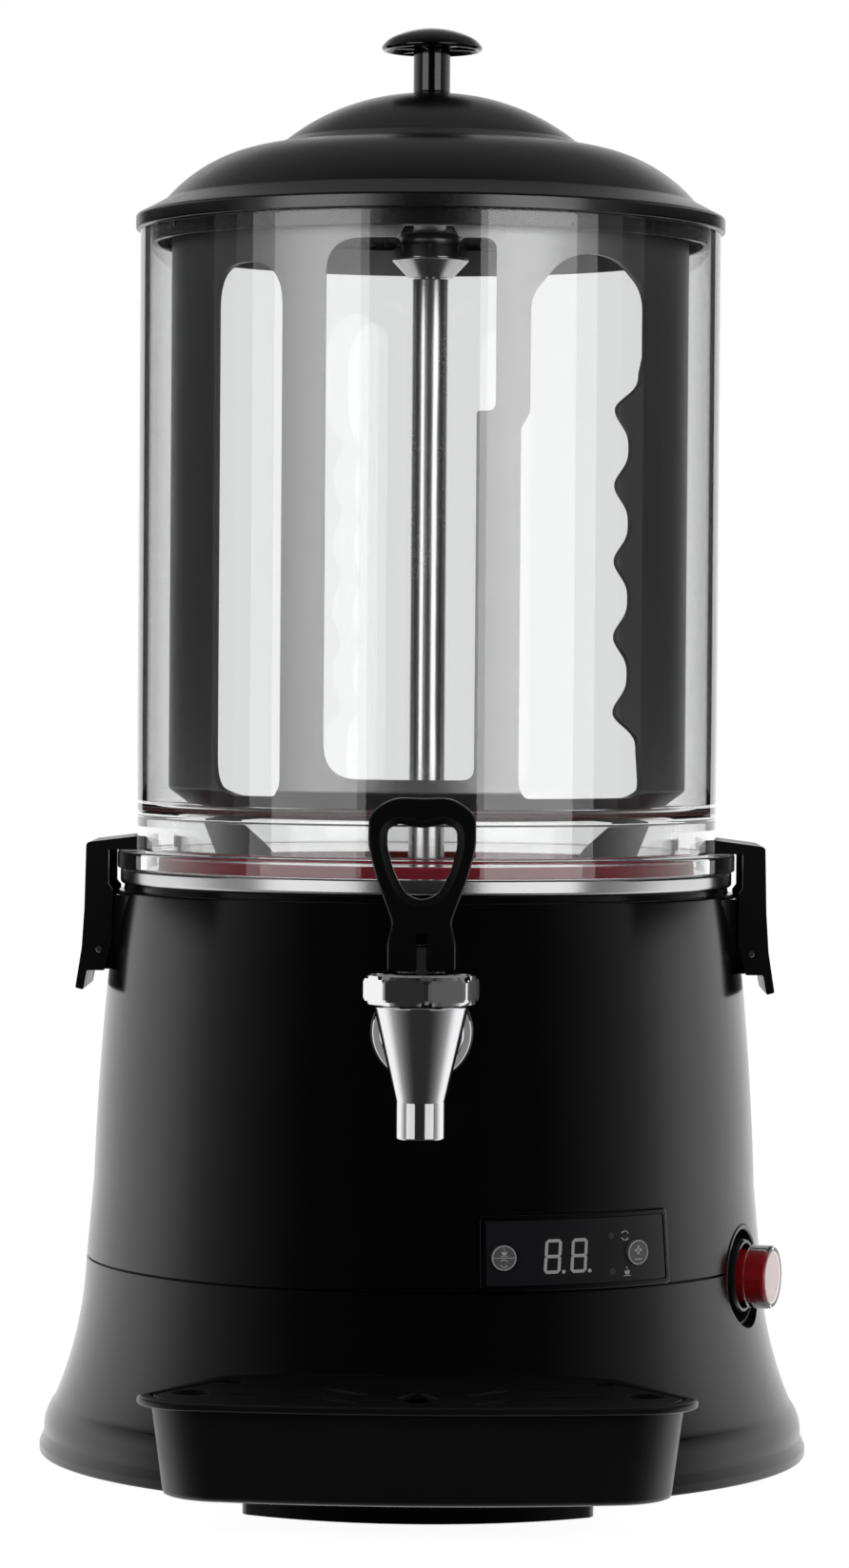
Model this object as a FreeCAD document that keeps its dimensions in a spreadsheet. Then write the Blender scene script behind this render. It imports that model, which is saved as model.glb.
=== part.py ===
"""Hot chocolate dispenser: a clear bowl with a stirrer over a heated pan, on a housing with a tap.

The origin is on the bowl's axis, at the level that the machine stands on. +Z is up, the tap
faces -Y, and the control panel and the power switch are to the +X side of the tap.
All lengths are millimetres and all angles are degrees.
"""

import FreeCAD
import Part

import math
import os

import Sketcher

Vector = FreeCAD.Vector
DOC = FreeCAD.newDocument("hot_chocolate_dispenser")
SHEET = DOC.addObject("Spreadsheet::Sheet", "sizes")


class Size:
    """A length or an angle that carries both its number and its spreadsheet expression."""

    def __init__(self, value, text):
        self.value = float(value)
        self.text = text

    def _join(self, other, sign, value):
        """The result of an arithmetic step, with its expression."""
        return Size(value, f"({self.text} {sign} {text_of(other)})")

    def __add__(self, other):
        return self._join(other, "+", self.value + number(other))

    def __sub__(self, other):
        return self._join(other, "-", self.value - number(other))

    def __mul__(self, other):
        return self._join(other, "*", self.value * number(other))

    def __truediv__(self, other):
        return self._join(other, "/", self.value / number(other))

    def __neg__(self):
        return Size(-self.value, f"(-1 * {self.text})")

    def __radd__(self, other):
        return fixed(other) + self

    def __rsub__(self, other):
        return fixed(other) - self

    def __rmul__(self, other):
        return fixed(other) * self


def number(size):
    """The number of a Size, or of a plain number."""
    return size.value if isinstance(size, Size) else float(size)


def text_of(size):
    """The expression of a Size, or of a plain number."""
    return size.text if isinstance(size, Size) else f"{float(size):.9g}"


def fixed(value):
    """A plain number as a Size."""
    return value if isinstance(value, Size) else Size(value, text_of(value))


def root(size):
    """The square root of a Size."""
    return Size(math.sqrt(size.value), f"sqrt({size.text})")


class Sizes:
    """The driving dimensions. Each is one named row of the spreadsheet."""

    def __init__(self):
        self.rows = 0

    def add(self, name, value):
        """Write one dimension to the sheet and keep it as an attribute."""
        self.rows += 1
        SHEET.set(f"A{self.rows}", name)
        SHEET.set(f"B{self.rows}", str(value))
        SHEET.setAlias(f"B{self.rows}", name)
        setattr(self, name, Size(value, f"sizes.{name}"))


DRIVING = {
    # housing
    "shell_wall": 2.6,
    "lip_radius_step": 37.6,
    "lip_underside": 2.7,
    "lip_height": 3.4,
    "band_radius_step": 35.7,
    "band_top": 13.8,
    "band_slope": 5.4,
    "flare_start": 24.0,
    "flare_bend": 159.7,
    "flare_crown": 4.5,
    "flare_foot_bend": 18.0,
    "seam_radius_step": 19.0,
    "seam_level": 81.5,
    "seam_gap": 0.6,
    "spigot_depth": 7.0,
    "knee_radius_step": 16.3,
    "knee_level": 112.0,
    "shoulder_radius_step": 7.5,
    "shoulder_level": 228.9,
    "barrel_bend": 1376.0,
    "deck_level": 231.5,
    "deck_radius_step": 4.5,
    "deck_opening_step": -16.8,
    "plate_thickness": 2.4,
    "plate_inset": 1.2,
    "foot_ring_radius_step": 19.0,
    "foot_ring_width": 9.0,
    "foot_height": 3.2,
    "boss_circle_step": 25.4,
    "boss_radius": 5.0,
    "boss_top": 24.0,
    "boss_count": 4,
    "boss_pilot": 1.6,
    "screw_radius": 1.5,
    "screw_length": 14.0,
    "screw_head_radius": 3.4,
    "screw_head_height": 1.8,
    "vent_circle": 92.0,
    "vent_length": 26.0,
    "vent_width": 5.0,
    "vent_count": 8,
    "gland_level": 29.0,
    "gland_radius": 8.0,
    "gland_bore": 3.8,
    "gland_flange_radius": 10.4,
    "gland_reach_step": 37.4,
    # collar, pan and jacket
    "collar_radius_step": 6.3,
    "collar_height": 6.2,
    "collar_bore_step": -8.4,
    "pan_flange_radius_step": -9.2,
    "pan_flange_height": 2.0,
    "pan_mouth_radius_step": -23.0,
    "pan_base_radius_step": -29.4,
    "pan_corner": 10.0,
    "pan_floor": 167.0,
    "pan_wall": 1.5,
    "jacket_radius_step": -12.5,
    "jacket_floor": 140.0,
    "jacket_wall": 1.2,
    "jacket_corner": 8.0,
    "heater_radius": 60.0,
    "heater_rod": 4.0,
    "heater_rise": 11.0,
    "thermostat_radius": 8.0,
    "thermostat_height": 10.0,
    "thermostat_offset": 74.0,
    "outlet_radius": 9.6,
    "outlet_wall": 1.4,
    "outlet_end_step": -1.5,
    # bowl and lid
    "bowl_radius": 117.0,
    "bowl_wall": 4.0,
    "bowl_top": 494.0,
    "bowl_flange_radius_step": 7.5,
    "bowl_flange_height": 7.3,
    "bowl_ledge_level": 262.0,
    "bowl_ledge_thickness": 3.5,
    "bowl_neck_radius_step": -17.8,
    "bowl_neck_wall": 3.2,
    "bowl_fillet": 3.0,
    "gasket_inner_step": -19.6,
    "gasket_height": 8.5,
    "lid_flange_radius_step": 1.7,
    "lid_seat_gap": 0.3,
    "lid_flange_height": 8.7,
    "lid_dome_radius_step": -10.0,
    "lid_dome_rise": 3.0,
    "lid_step_radius": 64.0,
    "lid_step_rise": 25.0,
    "lid_dome_bend": 62.0,
    "lid_crown_radius": 58.8,
    "lid_crown_rise": 27.6,
    "lid_crown_bend": 88.0,
    "lid_top_rise": 47.0,
    "lid_wall": 2.3,
    "lid_skirt_radius_step": -4.7,
    "lid_skirt_drop": 6.3,
    "knob_radius": 20.5,
    "knob_stem_radius": 7.4,
    "knob_rim_rise": 17.4,
    "knob_rim_height": 1.2,
    "knob_rim_width": 0.9,
    "knob_height": 26.5,
    "knob_shoulder": 4.5,
    "knob_shoulder_bend": 10.0,
    "knob_crown_drop": 3.6,
    "knob_wall": 2.4,
    "knob_rib": 1.2,
    "knob_rib_lift": 0.5,
    "knob_rib_turn": 10.0,
    "knob_ribs": 6,
    "knob_screw_radius": 2.0,
    "knob_screw_depth": 12.0,
    # stirrer and drive
    "cage_radius_step": -12.8,
    "cage_wall": 2.4,
    "cage_top_step": 1.5,
    "cage_foot": 270.0,
    "cage_neck_radius_step": -24.0,
    "cage_neck_level": 262.0,
    "cage_ring_radius_step": -31.0,
    "cage_ring_level": 243.5,
    "window_corner": 14.0,
    "side_window_turn": -42.15,
    "side_window_width": 35.6,
    "side_window_foot": 268.3,
    "side_window_top_step": -18.0,
    "mid_window_turn": -3.75,
    "mid_window_width": 65.2,
    "mid_window_foot": 275.5,
    "mid_window_top_step": -10.0,
    "mid_window_jog": 7.1,
    "jog_level_step": -76.4,
    "grip_window_turn": 36.95,
    "grip_window_width": 60.4,
    "grip_window_foot": 268.3,
    "grip_window_top_step": -15.0,
    "grip_top_step": -60.5,
    "grip_pitch": 29.5,
    "grip_depth": 8.0,
    "grip_reach": 16.0,
    "back_opening_foot": 261.0,
    "back_opening_top_step": -9.4,
    "hub_notch_width": 23.0,
    "hub_notch_height": 4.4,
    "hub_notch_slope": 2.2,
    "arm_width": 13.0,
    "arm_thickness": 2.6,
    "arm_count": 4,
    "paddle_width": 24.0,
    "paddle_depth": 62.0,
    "paddle_thickness": 3.0,
    "column_radius": 7.3,
    "column_wall": 1.6,
    "column_top_step": -18.6,
    "shaft_radius": 4.0,
    "running_gap": 0.05,
    "bushing_height": 12.0,
    "hub_radius": 15.4,
    "hub_throat_radius": 9.0,
    "hub_cone_height": 7.4,
    "hub_band_radius": 14.8,
    "hub_band_height": 5.4,
    "hub_boss_radius": 12.0,
    "hub_flare_radius": 16.0,
    "hub_nut_radius": 13.0,
    "hub_nut_height": 7.6,
    "motor_gearbox_width": 66.0,
    "motor_gearbox_depth": 52.0,
    "motor_gearbox_height": 26.0,
    "motor_gearbox_floor": 98.0,
    "motor_radius": 25.0,
    "motor_length": 62.0,
    "bracket_thickness": 2.0,
    "bracket_width": 96.0,
    "bracket_depth": 60.0,
    # latches
    "latch_width": 54.0,
    "latch_wall": 2.4,
    "latch_plate": 3.2,
    "latch_outer_step": 18.6,
    "latch_tab_outer_step": 22.7,
    "latch_tab_foot": 190.0,
    "latch_waist_level": 220.0,
    "latch_top": 251.2,
    "latch_top_slope": 3.0,
    "latch_hook_gap": 0.3,
    "latch_hook_radius_step": 1.4,
    "latch_inner_step": 8.0,
    "latch_notch_step": 9.6,
    "latch_wall_foot": 197.0,
    "latch_pin_out_step": 13.2,
    "latch_pin_level": 205.4,
    "latch_pin_radius": 1.4,
    "latch_boss_face_step": 7.0,
    "latch_boss_width": 58.0,
    "latch_boss_flank": 16.0,
    "latch_boss_foot": 190.0,
    "latch_block_face_step": 11.9,
    "latch_block_reach": 8.0,
    "latch_window_reach": 3.6,
    "latch_ear_inset": 1.5,
    "latch_ear_thickness": 4.0,
    "latch_ear_radius": 4.0,
    "latch_spring_radius": 2.25,
    "latch_spring_wire": 0.4,
    "latch_spring_turns": 7,
    # tap
    "tap_reach_step": 53.0,
    "tap_level": 180.5,
    "spout_radius": 9.35,
    "spout_end": 143.0,
    "spout_top": 157.2,
    "spout_bore": 7.3,
    "tap_mouth_radius": 17.7,
    "tap_mouth_level": 192.6,
    "tap_wall": 1.9,
    "tap_seat_level": 161.5,
    "tap_seat_bore": 5.6,
    "tap_seat_thickness": 2.0,
    "shank_radius": 8.0,
    "shank_bore": 5.5,
    "shank_end_step": -21.0,
    "escutcheon_radius": 19.65,
    "escutcheon_depth": 6.0,
    "washer_face_step": 14.0,
    "washer_radius": 16.0,
    "shank_nut_across": 24.0,
    "shank_nut_thickness": 7.0,
    "shank_nut_setback": 3.9,
    "bonnet_across": 40.6,
    "bonnet_corner_radius": 21.4,
    "bonnet_top": 205.3,
    "bonnet_chamfer": 2.4,
    "bonnet_wall": 3.0,
    "stem_radius": 3.0,
    "stem_top": 215.5,
    "tang_thickness": 3.6,
    "tang_depth": 4.8,
    "tang_length": 9.4,
    "tang_corner": 1.5,
    "cup_radius": 7.8,
    "cup_height": 7.0,
    "tap_spring_radius": 5.2,
    "tap_spring_wire": 0.9,
    "tap_spring_pitch": 4.4,
    "handle_seat_gap": 0.3,
    "handle_pin_rise": 7.0,
    "handle_pin_radius": 1.6,
    "handle_depth": 11.0,
    "handle_shank_width": 25.5,
    "handle_shank_top": 217.0,
    "handle_neck_width": 21.6,
    "handle_neck_level": 223.5,
    "handle_loop_width": 40.3,
    "handle_loop_level": 256.0,
    "handle_top": 270.0,
    "handle_hole_width": 26.0,
    "handle_hole_foot": 232.5,
    "handle_hole_top": 260.0,
    "handle_top_corner": 12.0,
    "handle_corner_bend": 13.5,
    "handle_side_bend": 130.0,
    "handle_hole_foot_half": 4.0,
    "handle_hole_rise": 10.0,
    "handle_hole_foot_bend": 12.0,
    "handle_hole_corner": 5.0,
    "handle_hole_corner_bend": 6.0,
    "handle_slot_width": 4.2,
    "handle_slot_top": 220.0,
    # control panel and switch
    "panel_turn": 26.75,
    "panel_span": 34.5,
    "panel_top": 111.0,
    "panel_rise": 2.8,
    "panel_rim": 1.9,
    "panel_recess": 1.2,
    "panel_fit": 0.15,
    "panel_opening_left": 37.2,
    "panel_opening_right": 31.0,
    "panel_opening_height": 20.0,
    "control_level": 95.0,
    "key_radius": 4.9,
    "key_gap": 0.35,
    "key_proud": 1.2,
    "key_length": 9.0,
    "key_stem_gap": 5.6,
    "mode_key_turn": 13.3,
    "temp_key_turn": 37.05,
    "display_turn": 24.2,
    "display_width": 27.0,
    "display_height": 17.0,
    "display_depth": 7.0,
    "led_turn": 32.2,
    "led_spread": 6.8,
    "led_radius": 1.3,
    "led_setback": 1.0,
    "board_width": 70.0,
    "board_height": 30.0,
    "board_thickness": 1.6,
    "board_back_step": 3.0,
    "power_board_width": 74.0,
    "power_board_height": 52.0,
    "switch_turn": 70.0,
    "switch_level": 79.0,
    "switch_hole_radius": 20.5,
    "switch_fit": 0.3,
    "switch_rim_reach_step": 17.8,
    "switch_dish_depth": 9.0,
    "switch_wall": 1.8,
    "switch_collar_radius": 15.6,
    "switch_button_radius": 10.5,
    "switch_cap_radius": 12.6,
    "switch_cap_wall": 1.1,
    "switch_reach_step": 33.7,
    "switch_travel": 3.0,
    "switch_body_width": 22.0,
    "switch_body_depth": 24.0,
    # drip tray
    "support_width": 132.0,
    "support_reach_step": 60.7,
    "support_side_step": 40.4,
    "support_back_step": 1.0,
    "support_top": 13.2,
    "support_clear": 0.4,
    "support_wall": 3.0,
    "tray_back_radius_step": 46.0,
    "tray_back_width": 155.0,
    "tray_side_reach_step": 84.0,
    "tray_width": 206.0,
    "tray_front_step": 104.0,
    "tray_bow": 10.0,
    "tray_corner": 19.0,
    "tray_top": 51.2,
    "tray_rim": 3.0,
    "tray_lip": 5.2,
    "tray_back_wall_step": 48.0,
    "tray_back_shelf_step": 50.6,
    "tray_back_ledge_step": 54.0,
    "tray_ledge_depth": 2.6,
    "tray_foot": 13.5,
    "tray_draft": 4.4,
    "tray_wall": 2.2,
    "tray_ledge": 3.2,
    "grid_thickness": 2.0,
    "grid_fit": 0.5,
    "grid_sink": 0.4,
    "grid_big_hole": 7.0,
    "grid_small_hole": 4.6,
    "grid_small_across": 69.5,
    "grid_small_forward_step": 44.5,
    "grid_big_across": 84.0,
    "grid_big_forward_step": 75.5,
    "grid_diamond_width": 15.4,
    "grid_diamond_near_step": 69.0,
    "grid_diamond_far_step": 103.5,
    "grid_slot_width": 4.6,
    "grid_slot_tip_width": 7.0,
    "grid_slot_tip_slant": 0.6,
    "grid_slot_end_width": 1.4,
    "grid_slot_side_bend": 160.0,
    "grid_slot_outer_bend": 34.0,
    "grid_slot_inner_bend": 30.0,
    "rear_slot_end_across": 64.5,
    "rear_slot_end_forward_step": 54.0,
    "rear_slot_bend_across": 36.0,
    "rear_slot_bend_forward_step": 57.5,
    "rear_slot_tip_across": 17.5,
    "rear_slot_tip_forward_step": 77.0,
    "front_slot_end_across": 69.5,
    "front_slot_end_forward_step": 78.0,
    "front_slot_bend_across": 38.5,
    "front_slot_bend_forward_step": 81.5,
    "front_slot_tip_across": 21.0,
    "front_slot_tip_forward_step": 100.0,
}

SIZE = Sizes()
for size_name, size_value in DRIVING.items():
    SIZE.add(size_name, size_value)
DOC.recompute()

S = SIZE
PARTS = []

FOLLOWERS = {
    "bowl_radius": (
        "lip_radius", "band_radius", "seam_radius", "knee_radius", "shoulder_radius",
        "deck_radius", "deck_opening", "foot_ring_radius", "boss_circle", "gland_reach",
        "collar_radius", "collar_bore", "pan_flange_radius", "pan_mouth_radius", "pan_base_radius",
        "jacket_radius", "outlet_end", "bowl_flange_radius", "bowl_neck_radius", "gasket_inner",
        "lid_flange_radius", "lid_dome_radius", "lid_skirt_radius", "cage_radius",
        "cage_neck_radius", "cage_ring_radius", "latch_outer", "latch_tab_outer",
        "latch_hook_radius", "latch_inner", "latch_notch", "latch_pin_out", "latch_boss_face",
        "latch_block_face", "tap_reach", "shank_end", "washer_face", "board_back",
        "switch_rim_reach", "switch_reach", "support_reach", "support_side", "support_back",
        "tray_back_radius", "tray_side_reach", "tray_front", "tray_back_wall", "tray_back_shelf",
        "tray_back_ledge", "grid_small_forward", "grid_big_forward", "grid_diamond_near",
        "grid_diamond_far", "rear_slot_end_forward", "rear_slot_bend_forward",
        "rear_slot_tip_forward", "front_slot_end_forward", "front_slot_bend_forward",
        "front_slot_tip_forward",
    ),
    "bowl_top": (
        "cage_top", "side_window_top", "mid_window_top", "grip_window_top", "grip_top",
        "back_opening_top", "column_top", "jog_level",
    ),
}

for leader, followers in FOLLOWERS.items():
    for follower in followers:
        step = getattr(S, f"{follower}_step")
        setattr(S, follower, getattr(S, leader) + step)


# ---------------------------------------------------------------- building blocks


def new_body(label):
    """A PartDesign body that is written out as one named sub-part."""
    body = DOC.addObject("PartDesign::Body", label)
    body.Label = label
    PARTS.append(body)
    return body


def plane_of(body, role):
    """One of the body's own origin planes."""
    for feature in body.Origin.OriginFeatures:
        if feature.Role == role:
            return feature
    raise LookupError(role)


def new_sketch(body, role, lift=None, turn=None):
    """A sketch on an origin plane, lifted along its normal and turned about its upright axis."""
    sketch = body.newObject("Sketcher::SketchObject", f"{body.Name}_sketch")
    sketch.AttachmentSupport = (plane_of(body, role), [""])
    sketch.MapMode = "FlatFace"
    angle = number(turn) if turn is not None else 0.0
    height = number(lift) if lift is not None else 0.0
    rotation = FreeCAD.Rotation(Vector(0, 1, 0), angle)
    sketch.AttachmentOffset = FreeCAD.Placement(Vector(0, 0, height), rotation)
    if lift is not None:
        sketch.setExpression("AttachmentOffset.Base.z", text_of(lift))
    if turn is not None:
        sketch.setExpression("AttachmentOffset.Rotation.Angle", text_of(turn))
    return sketch


def pin_point(sketch, edge, position, across, up):
    """Hold one end of an edge at a place given by two sizes."""
    for kind, size in (("DistanceX", across), ("DistanceY", up)):
        index = sketch.addConstraint(
            Sketcher.Constraint(kind, -1, 1, edge, position, number(size))
        )
        if isinstance(size, Size):
            sketch.setExpression(f"Constraints[{index}]", size.text)


def draw_edge(sketch, start, end, bend):
    """Draw a line, or an arc with its radius and the side that its centre lies on."""
    first = Vector(number(start[0]), number(start[1]), 0)
    last = Vector(number(end[0]), number(end[1]), 0)
    if bend is None:
        sketch.addGeometry(Part.LineSegment(first, last), False)
        return 1, 2
    radius, side = bend
    chord = last - first
    reach = math.sqrt(max(number(radius) ** 2 - chord.Length**2 / 4, 0.0))
    left = Vector(-chord.y, chord.x, 0).normalize()
    centre = (first + last) * 0.5 + left * (side * reach)
    begin, stop = (first, last) if side > 0 else (last, first)
    from_angle = math.atan2(begin.y - centre.y, begin.x - centre.x)
    to_angle = math.atan2(stop.y - centre.y, stop.x - centre.x)
    circle = Part.Circle(centre, Vector(0, 0, 1), number(radius))
    edge = sketch.addGeometry(Part.ArcOfCircle(circle, from_angle, to_angle), False)
    index = sketch.addConstraint(Sketcher.Constraint("Radius", edge, number(radius)))
    if isinstance(radius, Size):
        sketch.setExpression(f"Constraints[{index}]", radius.text)
    return (1, 2) if side > 0 else (2, 1)


def draw_outline(sketch, corners, bends=None):
    """A closed outline through the corners. bends gives the radius and side of each arc by its number."""
    bends = bends or {}
    count = len(corners)
    base = sketch.GeometryCount
    ends = []
    for index in range(count):
        ends.append(
            draw_edge(sketch, corners[index], corners[(index + 1) % count], bends.get(index))
        )
    for index in range(count):
        following = (index + 1) % count
        sketch.addConstraint(
            Sketcher.Constraint(
                "Coincident", base + index, ends[index][1], base + following, ends[following][0]
            )
        )
    for index, corner in enumerate(corners):
        pin_point(sketch, base + index, ends[index][0], corner[0], corner[1])


def draw_circle(sketch, across, up, radius):
    """A circle with its centre and radius held by sizes."""
    centre = Vector(number(across), number(up), 0)
    edge = sketch.addGeometry(Part.Circle(centre, Vector(0, 0, 1), number(radius)), False)
    pin_point(sketch, edge, 3, across, up)
    index = sketch.addConstraint(Sketcher.Constraint("Radius", edge, number(radius)))
    if isinstance(radius, Size):
        sketch.setExpression(f"Constraints[{index}]", radius.text)


def box_corners(left, right, low, high):
    """The four corners of an upright rectangle, counter-clockwise."""
    return [(left, low), (right, low), (right, high), (left, high)]


def round_box(left, right, low, high, radius):
    """The corners and arcs of a rectangle with four round corners, counter-clockwise."""
    corners = [
        (left + radius, low),
        (right - radius, low),
        (right, low + radius),
        (right, high - radius),
        (right - radius, high),
        (left + radius, high),
        (left, high - radius),
        (left, low + radius),
    ]
    bends = {index: (radius, 1) for index in (1, 3, 5, 7)}
    return corners, bends


def set_length(feature, size):
    """Bind a pad's or a pocket's length to a size."""
    feature.Length = number(size)
    if isinstance(size, Size):
        feature.setExpression("Length", size.text)


def pad(body, sketch, length, symmetric=False, reverse=False):
    """Push a sketch along its normal into a solid."""
    feature = body.newObject("PartDesign::Pad", f"{body.Name}_pad")
    feature.Profile = sketch
    feature.SideType = "Symmetric" if symmetric else "One side"
    feature.Reversed = reverse
    set_length(feature, length)
    body.Tip = feature
    return feature


def pocket(body, sketch, length, symmetric=False, reverse=False):
    """Cut a sketch into the solid, against its normal unless reversed."""
    feature = body.newObject("PartDesign::Pocket", f"{body.Name}_pocket")
    feature.Profile = sketch
    feature.SideType = "Symmetric" if symmetric else "One side"
    feature.Reversed = reverse
    set_length(feature, length)
    body.Tip = feature
    CUTS.append((body.Name, feature))
    return feature


CUTS = []


def turn_profile(body, corners, bends=None, role="XZ_Plane", span=None, cut=False):
    """Turn a profile about the upright axis of its plane, all round or over a span centred on it."""
    sketch = new_sketch(body, role)
    draw_outline(sketch, corners, bends)
    kind = "PartDesign::Groove" if cut else "PartDesign::Revolution"
    feature = body.newObject(kind, f"{body.Name}_turn")
    feature.Profile = sketch
    feature.ReferenceAxis = (sketch, ["V_Axis"])
    feature.Angle = 360 if span is None else number(span)
    if span is not None:
        feature.Midplane = True
        feature.setExpression("Angle", text_of(span))
    body.Tip = feature
    if cut:
        CUTS.append((body.Name, feature))
    return feature


def repeat_round(body, feature, count):
    """Repeat a feature round the upright axis."""
    pattern = body.newObject("PartDesign::PolarPattern", f"{body.Name}_pattern")
    pattern.Originals = [feature]
    axis = [item for item in body.Origin.OriginFeatures if item.Role == "Z_Axis"][0]
    pattern.Axis = (axis, [""])
    pattern.Angle = 360
    pattern.Occurrences = int(number(count))
    pattern.setExpression("Occurrences", text_of(count))
    body.Tip = pattern
    return pattern


def seat(body, forward=None, up=None, turn=None, across=None):
    """Place a finished body. turn is about the upright axis, and forward is towards the tap."""
    places = {
        "Placement.Base.x": across,
        "Placement.Base.y": -fixed(forward) if forward is not None else None,
        "Placement.Base.z": up,
    }
    base = Vector(*[number(size) if size is not None else 0.0 for size in places.values()])
    angle = number(turn) if turn is not None else 0.0
    body.Placement = FreeCAD.Placement(base, FreeCAD.Rotation(Vector(0, 0, 1), angle))
    for path, size in places.items():
        if size is not None:
            body.setExpression(path, text_of(size))
    if turn is not None:
        body.setExpression("Placement.Rotation.Angle", text_of(turn))


def outward(turn):
    """The turn that points a body's +Y away from the bowl's axis, at an angle right of the tap."""
    return fixed(turn) + 180


def bar(label, turn, level, corners, bends=None):
    """A round piece that lies along a radius of the machine, turned about its own +Y."""
    body = new_body(label)
    turn_profile(body, corners, bends, role="XY_Plane")
    seat(body, up=level, turn=outward(turn))
    return body


def front_hole(body, level, radius, depth, turn=None):
    """A round hole through the front of a body, at an angle right of the tap."""
    sketch = new_sketch(body, "XZ_Plane", turn=turn)
    draw_circle(sketch, 0, level, radius)
    pocket(body, sketch, depth, reverse=True)


# ---------------------------------------------------------------- shared profiles


DIAGONAL = math.sqrt(0.5)
FLARE_CENTRE = S.seam_radius + S.flare_bend
FLARE_CROWN = S.seam_level + S.flare_crown


def flare_radius(level, offset):
    """The radius of the flared skirt at a level, set in from the outside by an offset."""
    bend = S.flare_bend + offset
    drop = FLARE_CROWN - level
    return FLARE_CENTRE - root(bend * bend - drop * drop)


def upper_radius(level):
    """The radius of the lower part of the upper body, which is a straight taper."""
    slope = (S.seam_radius - S.knee_radius) / (S.knee_level - S.seam_level)
    return S.seam_radius - slope * (level - S.seam_level)


# ---------------------------------------------------------------- base


def make_base_skirt():
    """The flared lower shell with its foot lip, screw bosses, tongue notch and gland hole."""
    body = new_body("base_skirt")
    lip_top = S.lip_underside + S.lip_height
    seam = S.seam_level - S.seam_gap / 2
    corners = [
        (S.lip_radius - S.plate_inset, S.lip_underside),
        (S.lip_radius, S.lip_underside + S.plate_inset),
        (S.lip_radius, lip_top),
        (S.band_radius, lip_top + S.band_slope),
        (S.band_radius, S.band_top),
        (flare_radius(S.flare_start, 0), S.flare_start),
        (flare_radius(seam, 0), seam),
        (flare_radius(seam, S.shell_wall), seam),
        (flare_radius(S.flare_start, S.shell_wall), S.flare_start),
        (S.band_radius - S.shell_wall, S.band_top),
        (S.band_radius - S.shell_wall, S.lip_underside),
    ]
    bends = {
        4: (S.flare_foot_bend, 1),
        5: (S.flare_bend, -1),
        7: (S.flare_bend + S.shell_wall, 1),
    }
    turn_profile(body, corners, bends)
    boss_foot = S.foot_height + S.plate_thickness
    sketch = new_sketch(body, "XY_Plane", lift=boss_foot)
    diagonal = S.boss_circle * DIAGONAL
    draw_circle(sketch, diagonal, diagonal, S.boss_radius)
    boss = pad(body, sketch, S.boss_top - boss_foot)
    repeat_round(body, boss, S.boss_count)
    pilot_sketch = new_sketch(body, "XY_Plane", lift=S.lip_underside)
    draw_circle(pilot_sketch, diagonal, diagonal, S.boss_pilot)
    pilot = pocket(body, pilot_sketch, S.screw_length + S.plate_thickness + 2, reverse=True)
    repeat_round(body, pilot, S.boss_count)
    notch = new_sketch(body, "XZ_Plane")
    half = S.support_width / 2 + S.support_clear
    draw_outline(notch, box_corners(-half, half, 0, S.support_top + S.support_clear))
    pocket(body, notch, S.lip_radius * 1.2, reverse=True)
    gland = new_sketch(body, "XZ_Plane")
    draw_circle(gland, 0, S.gland_level, S.gland_radius + S.running_gap * 2)
    pocket(body, gland, S.lip_radius * 1.2)
    front_hole(body, S.switch_level, S.switch_hole_radius, S.lip_radius * 1.2, S.switch_turn)
    return body


def make_base_plate():
    """The floor of the housing, with vents and screw holes."""
    body = new_body("base_plate")
    rim = S.band_radius - S.shell_wall - S.plate_inset
    turn_profile(body, box_corners(0, rim, S.foot_height, S.foot_height + S.plate_thickness))
    hole = new_sketch(body, "XY_Plane", lift=S.foot_height)
    diagonal = S.boss_circle * DIAGONAL
    draw_circle(hole, diagonal, diagonal, S.screw_radius + S.switch_fit)
    holes = pocket(body, hole, S.plate_thickness * 2, reverse=True)
    repeat_round(body, holes, S.boss_count)
    slot = new_sketch(body, "XY_Plane", lift=S.foot_height)
    draw_outline(
        slot,
        *round_box(
            S.vent_circle,
            S.vent_circle + S.vent_length,
            -S.vent_width / 2,
            S.vent_width / 2,
            S.vent_width * 0.4,
        ),
    )
    slots = pocket(body, slot, S.plate_thickness * 2, reverse=True)
    repeat_round(body, slots, S.vent_count)
    return body


def make_foot_ring():
    """The rubber ring that the machine stands on."""
    body = new_body("rubber_foot_ring")
    inner = S.foot_ring_radius - S.foot_ring_width
    corners = [
        (inner + 1, 0),
        (S.foot_ring_radius - 1, 0),
        (S.foot_ring_radius, 1),
        (S.foot_ring_radius, S.foot_height),
        (inner, S.foot_height),
        (inner, 1),
    ]
    turn_profile(body, corners)
    return body


def make_base_screws():
    """The screws that hold the floor to the skirt, as a group of separate solids."""
    shapes = []
    head_top = S.foot_height.value
    for index in range(int(S.boss_count.value)):
        angle = math.radians(45 + 360 / S.boss_count.value * index)
        across = S.boss_circle.value * math.cos(angle)
        back = S.boss_circle.value * math.sin(angle)
        head = Part.makeCylinder(
            S.screw_head_radius.value,
            S.screw_head_height.value,
            Vector(across, back, head_top - S.screw_head_height.value),
        )
        shank = Part.makeCylinder(
            S.screw_radius.value, S.screw_length.value, Vector(across, back, head_top)
        )
        shapes.append(head.fuse(shank).removeSplitter())
    group = DOC.addObject("Part::Feature", "base_screws")
    group.Label = "base_screws"
    group.Shape = Part.makeCompound(shapes)
    PARTS.append(group)


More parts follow.
